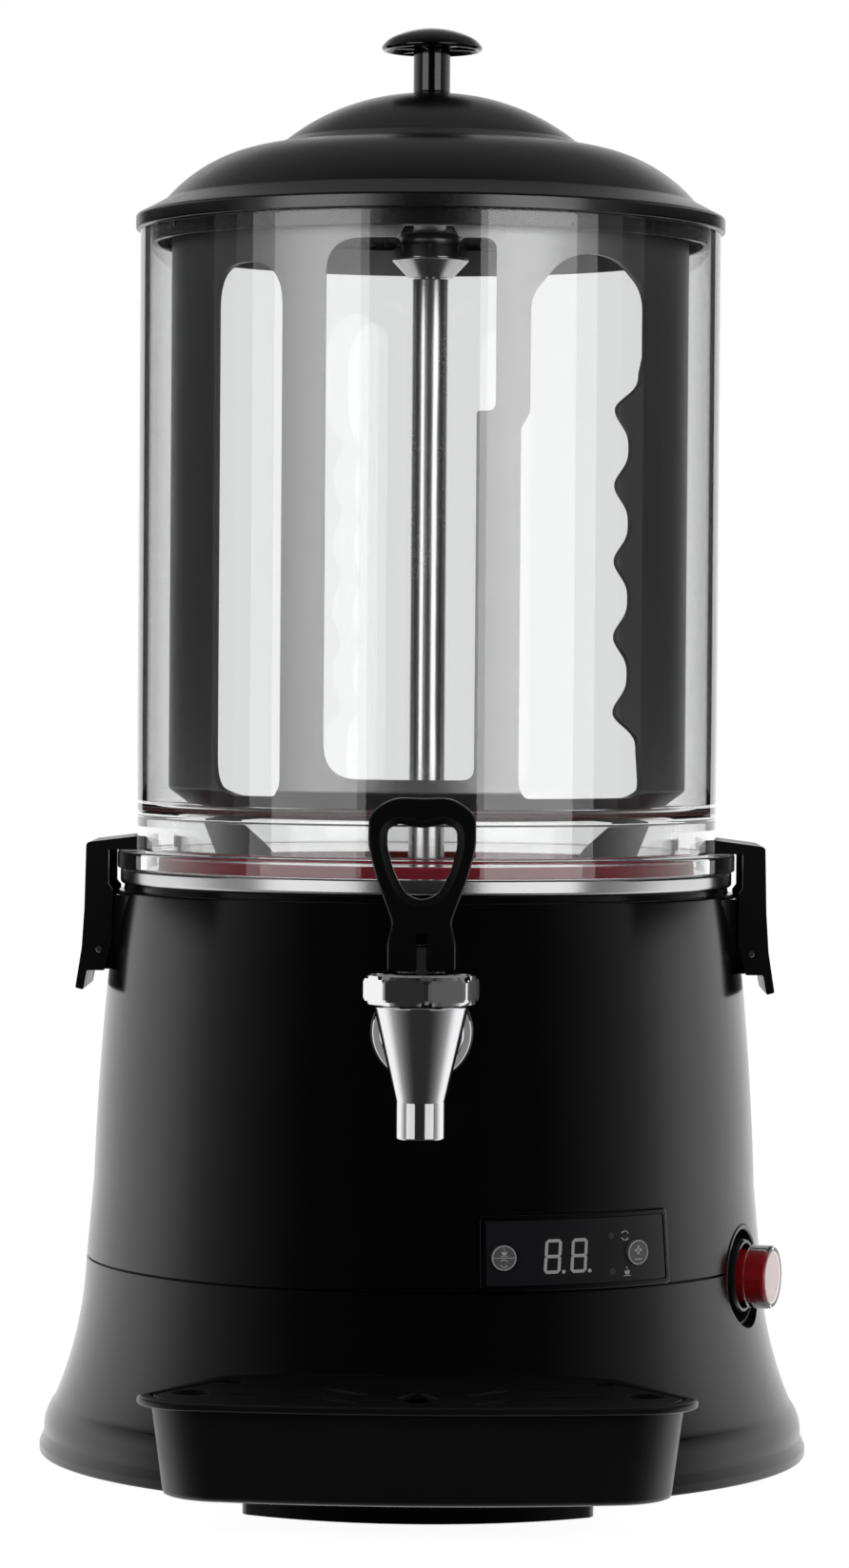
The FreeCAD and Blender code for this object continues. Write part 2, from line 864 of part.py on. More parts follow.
def tongue_outline(inset):
    """The tongue's plan, forward as +Y, with straight sides and a bowed front."""
    half = S.support_width / 2 - inset
    side = S.support_side - inset * 0.6
    rise = S.support_reach - inset - side
    bend = (half * half + rise * rise) / (rise * 2)
    back = S.support_back + inset
    corners = [(-half, back), (half, back), (half, side), (0, side + rise), (-half, side)]
    return corners, {2: (bend, 1), 3: (bend, 1)}


def make_tray_support():
    """The hollow tongue under the tray, which passes under the skirt to the floor plate."""
    body = new_body("tray_support")
    sketch = new_sketch(body, "XY_Plane", lift=S.support_clear)
    draw_outline(sketch, *tongue_outline(fixed(0)))
    pad(body, sketch, S.support_top - S.support_clear)
    well = new_sketch(body, "XY_Plane", lift=S.support_clear)
    draw_outline(well, *tongue_outline(S.support_wall))
    pocket(body, well, S.support_top - S.support_clear - S.support_wall, reverse=True)
    relief = new_sketch(body, "XY_Plane")
    draw_circle(relief, 0, 0, S.band_radius - S.shell_wall - S.plate_inset + S.support_clear)
    pocket(body, relief, S.foot_height + S.plate_thickness + 0.2, reverse=True)
    seat(body, turn=180)
    return body


def make_cord_gland():
    """The strain relief in the rear of the skirt, where a mains cord goes in."""
    skirt = flare_radius(S.gland_level, 0)
    inside = skirt - S.shell_wall
    corners = [
        (S.gland_bore, inside - 9),
        (S.gland_radius + 2, inside - 9),
        (S.gland_radius + 2, inside - 4.5),
        (S.gland_radius, inside - 4.5),
        (S.gland_radius, S.gland_reach - 2.4),
        (S.gland_flange_radius, S.gland_reach - 2.4),
        (S.gland_flange_radius, S.gland_reach - 1),
        (S.gland_radius - 1.5, S.gland_reach),
        (S.gland_bore, S.gland_reach),
    ]
    return bar("cord_gland", 180, S.gland_level, corners)


# ---------------------------------------------------------------- upper housing


def make_upper_body():
    """The tapered upper shell with its deck, a flat for each latch, and the openings in its wall."""
    body = new_body("upper_body")
    seam = S.seam_level + S.seam_gap / 2
    shoulder = S.shoulder_level
    wall = S.shell_wall
    spigot = S.seam_radius - wall - 0.25
    spigot_inner = spigot - 1.8
    foot = seam - S.spigot_depth
    outside = [
        (0, foot),
        (spigot, foot),
        (spigot, seam),
        (upper_radius(seam), seam),
        (S.knee_radius, S.knee_level),
        (S.shoulder_radius, shoulder - 1.5),
        (S.shoulder_radius - 1.5, shoulder),
        (S.deck_radius, shoulder),
        (S.deck_radius, S.deck_level),
        (0, S.deck_level),
    ]
    turn_profile(body, outside, {4: (S.barrel_bend, 1)})
    add_latch_flats(body)
    under_deck = S.deck_level - wall
    inside = [
        (0, foot - 1),
        (spigot_inner, foot - 1),
        (spigot_inner, seam + 4),
        (S.knee_radius - wall, S.knee_level),
        (S.shoulder_radius - wall, shoulder - wall - 2),
        (S.deck_radius - wall, under_deck),
        (S.deck_opening, under_deck),
        (S.deck_opening, S.deck_level + 1),
        (0, S.deck_level + 1),
    ]
    turn_profile(body, inside, {3: (S.barrel_bend, 1)}, cut=True)
    front_hole(body, S.tap_level, S.shank_radius + S.switch_fit, S.lip_radius)
    opening = new_sketch(body, "XZ_Plane", turn=S.panel_turn)
    draw_outline(
        opening,
        box_corners(
            -S.panel_opening_left,
            S.panel_opening_right,
            S.control_level - S.panel_opening_height / 2,
            S.control_level + S.panel_opening_height / 2,
        ),
    )
    pocket(body, opening, S.lip_radius, reverse=True)
    front_hole(body, S.switch_level, S.switch_hole_radius, S.lip_radius, S.switch_turn)
    return body


def add_latch_flats(body):
    """The flat with two slanting flanks that stands proud of the taper behind each latch."""
    face = S.latch_boss_face
    half = S.latch_boss_width / 2
    flank = half + S.latch_boss_flank
    root_x = face - 8.6
    low = S.latch_boss_foot
    for side in (1, -1):
        plan = new_sketch(body, "XY_Plane", lift=low)
        corners = [
            (root_x * side, -flank),
            (face * side, -half),
            (face * side, half),
            (root_x * side, flank),
        ]
        if side < 0:
            corners.reverse()
        draw_outline(plan, corners)
        pad(body, plan, S.shoulder_level - 1.5 - low)


def make_collar_ring():
    """The stainless ring that the bowl's flange sits on."""
    body = new_body("collar_ring")
    top = S.deck_level + S.collar_height
    corners = [
        (S.collar_bore, S.deck_level),
        (S.collar_radius - 0.8, S.deck_level),
        (S.collar_radius, S.deck_level + 0.8),
        (S.collar_radius, top - 0.8),
        (S.collar_radius - 0.8, top),
        (S.collar_bore, top),
    ]
    turn_profile(body, corners)
    return body


# ---------------------------------------------------------------- pan, jacket and heating


PAN_FLANGE_TOP = S.deck_level + S.pan_flange_height


def pan_wall_radius(level):
    """The pan's inner radius at a level of its tapered wall."""
    slope = (S.pan_mouth_radius - S.pan_base_radius) / (PAN_FLANGE_TOP - S.pan_floor)
    return S.pan_base_radius + slope * (level - S.pan_floor)


def make_heating_pan():
    """The stainless pan under the bowl, with its flange on the deck and the outlet hole."""
    body = new_body("heating_pan")
    wall = S.pan_wall
    corner_level = S.pan_floor + S.pan_corner
    hole = S.column_radius + S.running_gap
    corners = [
        (hole, S.pan_floor - wall),
        (S.pan_base_radius - S.pan_corner, S.pan_floor - wall),
        (pan_wall_radius(corner_level) + wall, corner_level),
        (S.pan_mouth_radius + wall, S.deck_level),
        (S.pan_flange_radius, S.deck_level),
        (S.pan_flange_radius, PAN_FLANGE_TOP),
        (S.pan_mouth_radius, PAN_FLANGE_TOP),
        (pan_wall_radius(corner_level), corner_level),
        (S.pan_base_radius - S.pan_corner, S.pan_floor),
        (hole, S.pan_floor),
    ]
    bends = {1: (S.pan_corner + wall * 1.4, 1), 7: (S.pan_corner + 0.6, -1)}
    turn_profile(body, corners, bends)
    front_hole(body, S.tap_level, S.shank_bore, S.lip_radius)
    return body


def make_outlet_tube():
    """The tube from the pan's wall through the jacket, which the tap's shank goes into."""
    body = new_body("pan_outlet_tube")
    start = pan_wall_radius(S.tap_level + S.outlet_radius) + S.pan_wall + 0.15
    bore = S.outlet_radius - S.outlet_wall
    turn_profile(
        body, box_corners(bore, S.outlet_radius, start, S.outlet_end), role="XY_Plane"
    )
    seat(body, up=S.tap_level, turn=180)
    return body


def make_water_jacket():
    """The outer vessel of the water bath, hung from the deck."""
    body = new_body("water_jacket")
    wall = S.jacket_wall
    top = S.deck_level - S.shell_wall - 0.2
    corner = S.jacket_corner
    hole = S.column_radius + S.running_gap
    corners = [
        (hole, S.jacket_floor - wall),
        (S.jacket_radius - corner, S.jacket_floor - wall),
        (S.jacket_radius + wall, S.jacket_floor + corner),
        (S.jacket_radius + wall, top - wall),
        (S.jacket_radius + 6, top - wall),
        (S.jacket_radius + 6, top),
        (S.jacket_radius, top),
        (S.jacket_radius, S.jacket_floor + corner),
        (S.jacket_radius - corner, S.jacket_floor),
        (hole, S.jacket_floor),
    ]
    bends = {1: (corner + wall, 1), 7: (corner, -1)}
    turn_profile(body, corners, bends)
    front_hole(body, S.tap_level, S.outlet_radius + S.running_gap * 2, S.lip_radius)
    return body


def make_heating_element():
    """The ring-shaped heating rod in the water bath, with its two terminals through the floor."""
    body = new_body("heating_element")
    level = S.jacket_floor + S.heater_rise
    sketch = new_sketch(body, "XZ_Plane")
    draw_circle(sketch, S.heater_radius, level, S.heater_rod)
    ring = body.newObject("PartDesign::Revolution", "heating_element_ring")
    ring.Profile = sketch
    ring.ReferenceAxis = (sketch, ["V_Axis"])
    ring.Angle = 360
    body.Tip = ring
    foot = S.jacket_floor + 0.1
    posts = new_sketch(body, "XY_Plane", lift=foot)
    draw_circle(posts, S.heater_radius, 0, S.heater_rod * 0.8)
    draw_circle(posts, -S.heater_radius, 0, S.heater_rod * 0.8)
    pad(body, posts, level - foot)
    return body


def make_thermostat():
    """The disc thermostat clamped under the jacket's floor."""
    body = new_body("thermostat")
    top = S.jacket_floor - S.jacket_wall - 0.1
    low = top - S.thermostat_height
    neck = S.thermostat_radius - 2.5
    corners = [
        (0, low),
        (neck, low),
        (neck, top - 3.5),
        (S.thermostat_radius, top - 3.5),
        (S.thermostat_radius, top),
        (0, top),
    ]
    turn_profile(body, corners)
    seat(body, across=-S.thermostat_offset)
    return body


# ---------------------------------------------------------------- bowl and gasket


COLLAR_TOP = S.deck_level + S.collar_height


def make_bowl():
    """The clear bowl: a tall wall, a stepped neck that presses on the gasket, and a flange."""
    body = new_body("bowl")
    wall_inner = S.bowl_radius - S.bowl_wall
    flange_top = COLLAR_TOP + S.bowl_flange_height
    gasket_top = PAN_FLANGE_TOP + S.gasket_height
    ledge_under = S.bowl_ledge_level - S.bowl_ledge_thickness
    round_in = S.bowl_fillet
    corners = [
        (S.bowl_radius, COLLAR_TOP),
        (S.bowl_flange_radius - 0.8, COLLAR_TOP),
        (S.bowl_flange_radius, COLLAR_TOP + 0.8),
        (S.bowl_flange_radius, flange_top - 1),
        (S.bowl_flange_radius - 1, flange_top),
        (S.bowl_radius + 1, flange_top),
        (S.bowl_radius, flange_top + 1),
        (S.bowl_radius, S.bowl_top),
        (wall_inner, S.bowl_top),
        (wall_inner, S.bowl_ledge_level + round_in),
        (wall_inner - round_in, S.bowl_ledge_level),
        (S.bowl_neck_radius + round_in, S.bowl_ledge_level),
        (S.bowl_neck_radius, S.bowl_ledge_level - round_in),
        (S.bowl_neck_radius, gasket_top),
        (S.bowl_neck_radius + S.bowl_neck_wall, gasket_top),
        (S.bowl_neck_radius + S.bowl_neck_wall, ledge_under),
        (wall_inner, ledge_under),
        (wall_inner, COLLAR_TOP),
    ]
    bends = {9: (round_in, -1), 11: (round_in, 1)}
    turn_profile(body, corners, bends)
    return body


def make_bowl_gasket():
    """The silicone seal between the pan's flange and the bowl's neck, with a holding rib."""
    body = new_body("bowl_gasket")
    low = PAN_FLANGE_TOP
    high = low + S.gasket_height
    outer = S.collar_bore - 0.6
    corners = [
        (S.gasket_inner, low),
        (outer, low),
        (outer, high - 1.5),
        (outer - 1.5, high),
        (S.gasket_inner, high),
    ]
    turn_profile(body, corners)
    return body


# ---------------------------------------------------------------- lid


LID_SEAT = S.bowl_top + S.lid_seat_gap


def make_lid():
    """The stepped dome with its flange on the bowl's rim and its skirt inside the bowl."""
    body = new_body("lid_shell")
    wall = S.lid_wall
    flange_top = LID_SEAT + S.lid_flange_height
    dome = flange_top + S.lid_dome_rise
    step = flange_top + S.lid_step_rise
    crown = flange_top + S.lid_crown_rise
    top = flange_top + S.lid_top_rise
    skirt_inner = S.lid_skirt_radius - wall
    hole = S.knob_screw_radius + 0.3
    corners = [
        (hole, top),
        (hole, top - wall),
        (S.lid_crown_radius - wall, crown - wall),
        (S.lid_step_radius - 1, step - wall),
        (S.lid_dome_radius - wall, dome - wall * 1.4),
        (skirt_inner, flange_top - wall),
        (skirt_inner, LID_SEAT - S.lid_skirt_drop),
        (S.lid_skirt_radius, LID_SEAT - S.lid_skirt_drop),
        (S.lid_skirt_radius, LID_SEAT),
        (S.lid_flange_radius - 0.8, LID_SEAT),
        (S.lid_flange_radius, LID_SEAT + 0.8),
        (S.lid_flange_radius, flange_top - 1.2),
        (S.lid_flange_radius - 1.2, flange_top),
        (S.lid_dome_radius, dome),
        (S.lid_step_radius, step),
        (S.lid_crown_radius, crown),
    ]
    bends = {
        1: (S.lid_crown_bend - wall, -1),
        3: (S.lid_dome_bend - wall, -1),
        13: (S.lid_dome_bend, 1),
        15: (S.lid_crown_bend, 1),
    }
    turn_profile(body, corners, bends)
    return body


LID_TOP = LID_SEAT + S.lid_flange_height + S.lid_top_rise


KNOB_RIM = LID_TOP + S.knob_rim_rise
KNOB_SHOULDER_REACH = S.knob_radius - S.knob_shoulder


def make_lid_knob():
    """The mushroom knob: a stem on the dome and a thin domed cap with ribs under it."""
    body = new_body("lid_knob")
    foot = LID_TOP + 0.1
    top = LID_TOP + S.knob_height
    reach = KNOB_SHOULDER_REACH
    drop = S.knob_crown_drop
    crown_bend = (reach * reach + drop * drop) / (drop * 2)
    corners = [
        (0, foot + S.knob_screw_depth),
        (S.knob_screw_radius, foot + S.knob_screw_depth),
        (S.knob_screw_radius, foot),
        (S.knob_stem_radius, foot),
        (S.knob_stem_radius, top - S.knob_wall * 1.3),
        (reach, top - drop - S.knob_wall),
        (S.knob_radius - S.knob_rim_width * 2, KNOB_RIM),
        (S.knob_radius - S.knob_rim_width, KNOB_RIM),
        (S.knob_radius, KNOB_RIM + S.knob_rim_height),
        (reach, top - drop),
        (0, top),
    ]
    bends = {8: (S.knob_shoulder_bend, 1), 9: (crown_bend, 1)}
    turn_profile(body, corners, bends)
    sketch = new_sketch(body, "XZ_Plane", turn=S.knob_rib_turn)
    draw_outline(
        sketch,
        [
            (S.knob_stem_radius - 1, KNOB_RIM + S.knob_rib_lift),
            (S.knob_radius - S.knob_rim_width * 2.4, KNOB_RIM + S.knob_rib_lift),
            (reach, top - drop - S.knob_wall * 0.7),
            (S.knob_stem_radius - 1, top - S.knob_wall),
        ],
    )
    rib = pad(body, sketch, S.knob_rib, symmetric=True)
    repeat_round(body, rib, S.knob_ribs)
    return body


def make_knob_screw():
    """The screw that holds the knob from inside the lid."""
    body = new_body("lid_knob_screw")
    under = LID_TOP - S.lid_wall - 0.5
    radius = S.knob_screw_radius - S.running_gap
    corners = [
        (0, under - 2.2),
        (S.knob_screw_radius * 2.2, under - 2.2),
        (S.knob_screw_radius * 2.2, under),
        (radius, under),
        (radius, LID_TOP + S.knob_screw_depth - 1),
        (0, LID_TOP + S.knob_screw_depth - 1),
    ]
    turn_profile(body, corners)
    return body


# ---------------------------------------------------------------- stirrer and drive


def window_plane_cut(body, turn, corners, bends):
    """Cut a window through the near wall of the cage, square to a radius."""
    sketch = new_sketch(body, "XZ_Plane", turn=turn)
    draw_outline(sketch, corners, bends)
    pocket(body, sketch, S.cage_radius * 1.2, reverse=True)


def cut_mid_window(body):
    """The wide middle window: its right side steps in below the jog, its top clears the hub."""
    half = S.mid_window_width / 2
    low = S.mid_window_foot
    high = S.mid_window_top
    corner = S.window_corner
    small = corner / 3
    inner = half - S.mid_window_jog
    notch = S.cage_radius * math.sin(math.radians(-number(S.mid_window_turn)))
    wide = S.hub_notch_width / 2
    slope = S.hub_notch_slope
    corners = [
        (-half + corner, low),
        (inner - small, low),
        (inner, low + small),
        (inner, S.jog_level),
        (half - small, S.jog_level),
        (half, S.jog_level + small),
        (half, high - small),
        (half - small, high),
        (notch + wide, high),
        (notch + wide - slope, high + S.hub_notch_height),
        (notch - wide + slope, high + S.hub_notch_height),
        (notch - wide, high),
        (-half + corner, high),
        (-half, high - corner),
        (-half, low + corner),
    ]
    bends = {
        1: (small, 1),
        4: (small, 1),
        6: (small, 1),
        12: (corner, 1),
        14: (corner, 1),
    }
    window_plane_cut(body, S.mid_window_turn, corners, bends)


def cut_side_window(body):
    """The left window, with an arched top and round lower corners."""
    half = S.side_window_width / 2
    low = S.side_window_foot
    high = S.side_window_top
    corner = S.window_corner
    corners = [
        (-half + corner, low),
        (half - corner / 2, low),
        (half, low + corner / 2),
        (half, high - corner),
        (0, high),
        (-half, high - corner),
        (-half, low + corner),
    ]
    arch = (half * half + corner * corner) / (corner * 2)
    bends = {1: (corner / 2, 1), 3: (arch * 1.02, 1), 4: (arch * 1.02, 1), 6: (corner, 1)}
    window_plane_cut(body, S.side_window_turn, corners, bends)


def cut_grip_window(body):
    """The right window. Its right side has a wavy edge of five fingers."""
    half = S.grip_window_width / 2
    low = S.grip_window_foot
    high = S.grip_window_top
    corner = S.window_corner
    crest = half - S.grip_reach
    trough = crest + S.grip_depth
    fingers = 5
    corners = [(-half + corner / 2, low), (half - corner / 2, low), (half, low + corner / 2)]
    bends = {1: (corner / 2, 1)}
    foot = S.grip_top - S.grip_pitch * fingers
    corners.append((half, foot - S.grip_depth / 2))
    for finger in range(fingers):
        level = foot + S.grip_pitch * finger
        start = trough if finger else half - S.grip_depth / 2
        bends[len(corners)] = (S.grip_pitch * 0.62, -1)
        corners.append((start, level))
        bends[len(corners)] = (S.grip_pitch * 0.62, -1)
        corners.append((crest, level + S.grip_pitch / 2))
    corners.append((half - S.grip_depth / 2, S.grip_top))
    corners.append((half, S.grip_top + S.grip_depth / 2))
    corners.append((half, high - corner * 1.4))
    bends[len(corners)] = (half * 1.3, 1)
    corners.append((0, high))
    bends[len(corners) - 1] = (half * 1.3, 1)
    corners.append((-half + 3.6, high - corner * 1.2))
    bends[len(corners) - 2] = (half * 1.3, 1)
    corners.append((-half + 3.6, S.jog_level))
    corners.append((-half, S.jog_level - 6.5))
    corners.append((-half, low + corner / 2))
    bends[len(corners) - 1] = (corner / 2, 1)
    window_plane_cut(body, S.grip_window_turn, corners, bends)


def make_stirrer_cage():
    """The stirrer: a ring at the top and the bottom, a windowed front wall, arms and paddles."""
    body = new_body("stirrer_cage")
    wall = S.cage_wall
    corners = [
        (S.cage_ring_radius - wall, S.cage_ring_level),
        (S.cage_ring_radius, S.cage_ring_level),
        (S.cage_neck_radius, S.cage_neck_level),
        (S.cage_radius, S.cage_foot),
        (S.cage_radius, S.cage_top),
        (S.cage_radius - wall, S.cage_top),
        (S.cage_radius - wall, S.cage_foot + wall / 2),
        (S.cage_neck_radius - wall, S.cage_neck_level + wall / 2),
    ]
    turn_profile(body, corners)
    cut_side_window(body)
    cut_mid_window(body)
    cut_grip_window(body)
    back = new_sketch(body, "XZ_Plane")
    reach = S.cage_radius * 1.2
    draw_outline(back, box_corners(-reach, reach, S.back_opening_foot, S.back_opening_top))
    pocket(body, back, reach)
    add_arms(body)
    add_paddles(body)
    return body


HUB_FOOT = S.column_top + 0.6
BOSS_FOOT = HUB_FOOT + S.hub_cone_height + S.hub_band_height


def add_arms(body):
    """The arms out to the top band, the plate where they meet and the boss under it."""
    arm_foot = S.cage_top - S.arm_thickness
    sketch = new_sketch(body, "XY_Plane", lift=arm_foot)
    draw_outline(
        sketch,
        box_corners(0, S.cage_radius - S.cage_wall / 2, -S.arm_width / 2, S.arm_width / 2),
    )
    arm = pad(body, sketch, S.arm_thickness)
    repeat_round(body, arm, S.arm_count)
    plate = new_sketch(body, "XY_Plane", lift=arm_foot)
    draw_circle(plate, 0, 0, S.hub_flare_radius)
    pad(body, plate, S.arm_thickness)
    boss = new_sketch(body, "XY_Plane", lift=BOSS_FOOT)
    draw_circle(boss, 0, 0, S.hub_boss_radius)
    pad(body, boss, arm_foot - BOSS_FOOT + S.arm_thickness / 2)
    bore = new_sketch(body, "XY_Plane", lift=BOSS_FOOT - 1)
    draw_circle(bore, 0, 0, S.shaft_radius + S.running_gap)
    pocket(body, bore, S.cage_top - BOSS_FOOT + 2, reverse=True)


def add_paddles(body):
    """Two blades that reach down from the lower ring into the pan."""
    top = S.cage_ring_level + 3
    outer = S.cage_ring_radius - S.cage_wall / 2
    inner = outer - S.paddle_width
    for side in (1, -1):
        sketch = new_sketch(body, "XZ_Plane")
        near = inner * side
        far = outer * side
        slope = (outer - 4) * side
        draw_outline(
            sketch,
            [(near, top - S.paddle_depth), (slope, top - S.paddle_depth), (far, top), (near, top)],
        )
        pad(body, sketch, S.paddle_thickness, symmetric=True)


def make_column_tube():
    """The fixed stainless tube that keeps the drink away from the drive shaft."""
    body = new_body("column_tube")
    inner = S.column_radius - S.column_wall
    low = S.jacket_floor - S.jacket_wall
    turn_profile(body, box_corners(inner, S.column_radius, low, S.column_top))
    return body


def make_bushing(label, top):
    """A plain bearing for the drive shaft inside the column."""
    body = new_body(label)
    outer = S.column_radius - S.column_wall - S.running_gap
    inner = S.shaft_radius + S.running_gap
    turn_profile(body, box_corners(inner, outer, top - S.bushing_height, top))
    return body


def make_drive_shaft():
    """The shaft from the gearbox to the stirrer's hub."""
    body = new_body("drive_shaft")
    low = S.motor_gearbox_floor + 3
    top = S.cage_top + S.hub_nut_height - 2.5
    turn_profile(body, box_corners(0, S.shaft_radius, low, top))
    return body


def make_hub_cone():
    """The cone and the bright band under the stirrer's boss."""
    body = new_body("hub_cone")
    bore = S.shaft_radius + S.running_gap
    rim = HUB_FOOT + S.hub_cone_height
    corners = [
        (bore, HUB_FOOT),
        (S.hub_throat_radius, HUB_FOOT),
        (S.hub_radius, rim - 0.7),
        (S.hub_radius, rim),
        (S.hub_band_radius, rim),
        (S.hub_band_radius, BOSS_FOOT),
        (bore, BOSS_FOOT),
    ]
    turn_profile(body, corners)
    return body


def make_hub_nut():
    """The cap nut over the arms that clamps the stirrer to the cone."""
    body = new_body("hub_nut")
    low = S.cage_top
    top = low + S.hub_nut_height
    bore = S.shaft_radius + S.running_gap
    corners = [
        (0, top - 2),
        (bore, top - 2),
        (bore, low),
        (S.hub_nut_radius, low),
        (S.hub_nut_radius, top - 2),
        (S.hub_nut_radius - 3, top),
        (0, top),
    ]
    turn_profile(body, corners)
    return body


GEARBOX_TOP = S.motor_gearbox_floor + S.motor_gearbox_height


def make_gearbox():
    """The gearbox case under the water jacket, with the bore for the drive shaft."""
    body = new_body("gearbox_case")
    half = S.motor_gearbox_width / 2
    deep = S.motor_gearbox_depth / 2
    sketch = new_sketch(body, "XY_Plane", lift=S.motor_gearbox_floor)
    draw_outline(sketch, *round_box(-half, half, -deep, deep, fixed(6)))
    pad(body, sketch, S.motor_gearbox_height)
    neck = new_sketch(body, "XY_Plane", lift=GEARBOX_TOP)
    draw_circle(neck, 0, 0, S.shaft_radius * 2.4)
    pad(body, neck, S.shaft_radius * 2)
    bore = new_sketch(body, "XY_Plane", lift=S.motor_gearbox_floor + 3 - S.seam_gap)
    draw_circle(bore, 0, 0, S.shaft_radius + S.running_gap)
    pocket(body, bore, S.motor_gearbox_height + S.shaft_radius * 2, reverse=True)
    return body


def make_motor_can():
    """The motor that hangs under the gearbox."""
    body = new_body("motor_can")
    top = S.motor_gearbox_floor - S.bracket_thickness - 0.2
    low = top - S.motor_length
    corners = [
        (0, low),
        (S.motor_radius - 2, low),
        (S.motor_radius, low + 2),
        (S.motor_radius, top),
        (0, top),
    ]
    turn_profile(body, corners)
    return body


def make_motor_bracket():
    """The bridge that carries the gearbox over the motor, bent from one sheet."""
    body = new_body("motor_bracket")
    top = S.motor_gearbox_floor - 0.1
    foot = S.foot_height + S.plate_thickness + 0.1
    half = S.bracket_width / 2
    thick = S.bracket_thickness
    flange = half + 16
    corners = [
        (-flange, foot),
        (-half + thick, foot),
        (-half + thick, top - thick),
        (half - thick, top - thick),
        (half - thick, foot),
        (flange, foot),
        (flange, foot + thick),
        (half, foot + thick),
        (half, top),
        (-half, top),
        (-half, foot + thick),
        (-flange, foot + thick),
    ]
    sketch = new_sketch(body, "XZ_Plane")
    draw_outline(sketch, corners)
    pad(body, sketch, S.bracket_depth, symmetric=True)
    return body


# ---------------------------------------------------------------- latches


LATCH_HOOK_UNDER = COLLAR_TOP + S.bowl_flange_height + S.latch_hook_gap


def latch_side_corners(plate_only):
    """The latch from the side: the whole outline, or only its outer plate and hook."""
    thick = S.latch_plate
    top_outer = S.latch_top - S.latch_top_slope
    outside = [
        (S.latch_tab_outer - thick, S.latch_tab_foot - 0.8),
        (S.latch_tab_outer, S.latch_tab_foot),
        (S.latch_outer + 0.8, S.latch_waist_level),
        (S.latch_outer, top_outer),
        (S.latch_hook_radius - 6, S.latch_top),
        (S.latch_hook_radius - 6, LATCH_HOOK_UNDER),
    ]
    if plate_only:
        inside = [
            (S.latch_outer - thick, LATCH_HOOK_UNDER),
            (S.latch_outer + 0.8 - thick, S.latch_waist_level),
        ]
    else:
        inside = [
            (S.latch_notch, LATCH_HOOK_UNDER),
            (S.latch_notch, S.deck_level),
            (S.latch_inner, S.deck_level - 2),
            (S.latch_inner, S.latch_pin_level + 4),
            (S.latch_inner + 3.2, S.latch_wall_foot),
            (S.latch_tab_outer - thick - 1.4, S.latch_wall_foot),
        ]
    return outside + inside


def make_latch(side, turn):
    """A bowl latch: a channel with a hook over the bowl's flange and a press tab below its pin."""
    body = new_body(f"clip_{side}")
    walls = new_sketch(body, "XZ_Plane")
    draw_outline(walls, latch_side_corners(False))
    pad(body, walls, S.latch_width, symmetric=True)
    thick = S.latch_plate
    inner_width = S.latch_width - S.latch_wall * 2
    hollow = new_sketch(body, "XZ_Plane")
    low = S.latch_tab_foot - 12
    draw_outline(
        hollow,
        [
            (S.latch_inner - 12, low),
            (S.latch_tab_outer - thick, low),
            (S.latch_tab_outer - thick, S.latch_tab_foot - 0.8),
            (S.latch_outer + 0.8 - thick, S.latch_waist_level),
            (S.latch_outer - thick, LATCH_HOOK_UNDER),
            (S.latch_inner - 12, LATCH_HOOK_UNDER),
        ],
    )
    pocket(body, hollow, inner_width, symmetric=True)
    throat = new_sketch(body, "XY_Plane", lift=LATCH_HOOK_UNDER - 1)
    draw_circle(throat, 0, 0, S.latch_hook_radius)
    pocket(body, throat, S.latch_top - LATCH_HOOK_UNDER + 2, reverse=True)
    holes = new_sketch(body, "XZ_Plane")
    draw_circle(holes, S.latch_pin_out, S.latch_pin_level, S.latch_pin_radius + S.running_gap)
    pocket(body, holes, S.latch_width * 1.2, symmetric=True)
    seat(body, turn=turn)
    return body


def make_latch_pin(side, turn):
    """The pin that a latch swings on, through the bracket's two ears."""
    body = new_body(f"clip_pin_{side}")
    sketch = new_sketch(body, "XZ_Plane")
    draw_circle(sketch, S.latch_pin_out, S.latch_pin_level, S.latch_pin_radius)
    pad(body, sketch, S.latch_width + 0.6, symmetric=True)
    seat(body, turn=turn)
    return body


def make_latch_bracket(side, turn):
    """The bracket on the housing whose two ears carry a latch's pin."""
    body = new_body(f"clip_bracket_{side}")
    face = S.latch_block_face
    reach = S.latch_block_reach
    level = S.latch_pin_level
    ear = S.latch_ear_radius
    ear_width = S.latch_width - S.latch_wall * 2 - S.latch_ear_inset * 2
    block = new_sketch(body, "XZ_Plane")
    draw_outline(
        block,
        [
            (face - 9, level - reach),
            (face, level - reach),
            (face + ear, level - ear * 0.7),
            (face + ear + 0.8, level),
            (face + ear, level + ear * 0.7),
            (face, level + reach),
            (face - 9, level + reach),
        ],
    )
    pad(body, block, ear_width, symmetric=True)
    gap = new_sketch(body, "XZ_Plane")
    draw_outline(gap, box_corners(face, face + ear * 3, level - reach * 2, level + reach * 2))
    pocket(body, gap, ear_width - S.latch_ear_thickness * 2, symmetric=True)
    window = new_sketch(body, "XZ_Plane")
    rise = S.latch_window_reach
    draw_outline(window, box_corners(face - 12, face + 1, level - rise, level + rise))
    pocket(body, window, ear_width - S.latch_ear_thickness * 2, symmetric=True)
    bore = new_sketch(body, "XZ_Plane")
    draw_circle(bore, S.latch_pin_out, level, S.latch_pin_radius + S.running_gap)
    pocket(body, bore, S.latch_width, symmetric=True)
    fit = S.running_gap
    inside = [
        (0, S.knee_level),
        (S.knee_radius + fit, S.knee_level),
        (S.shoulder_radius + fit, S.shoulder_level - 1.5),
        (0, S.shoulder_level - 1.5),
    ]
    turn_profile(body, inside, {1: (S.barrel_bend, 1)}, cut=True)
    seat(body, turn=turn)
    return body


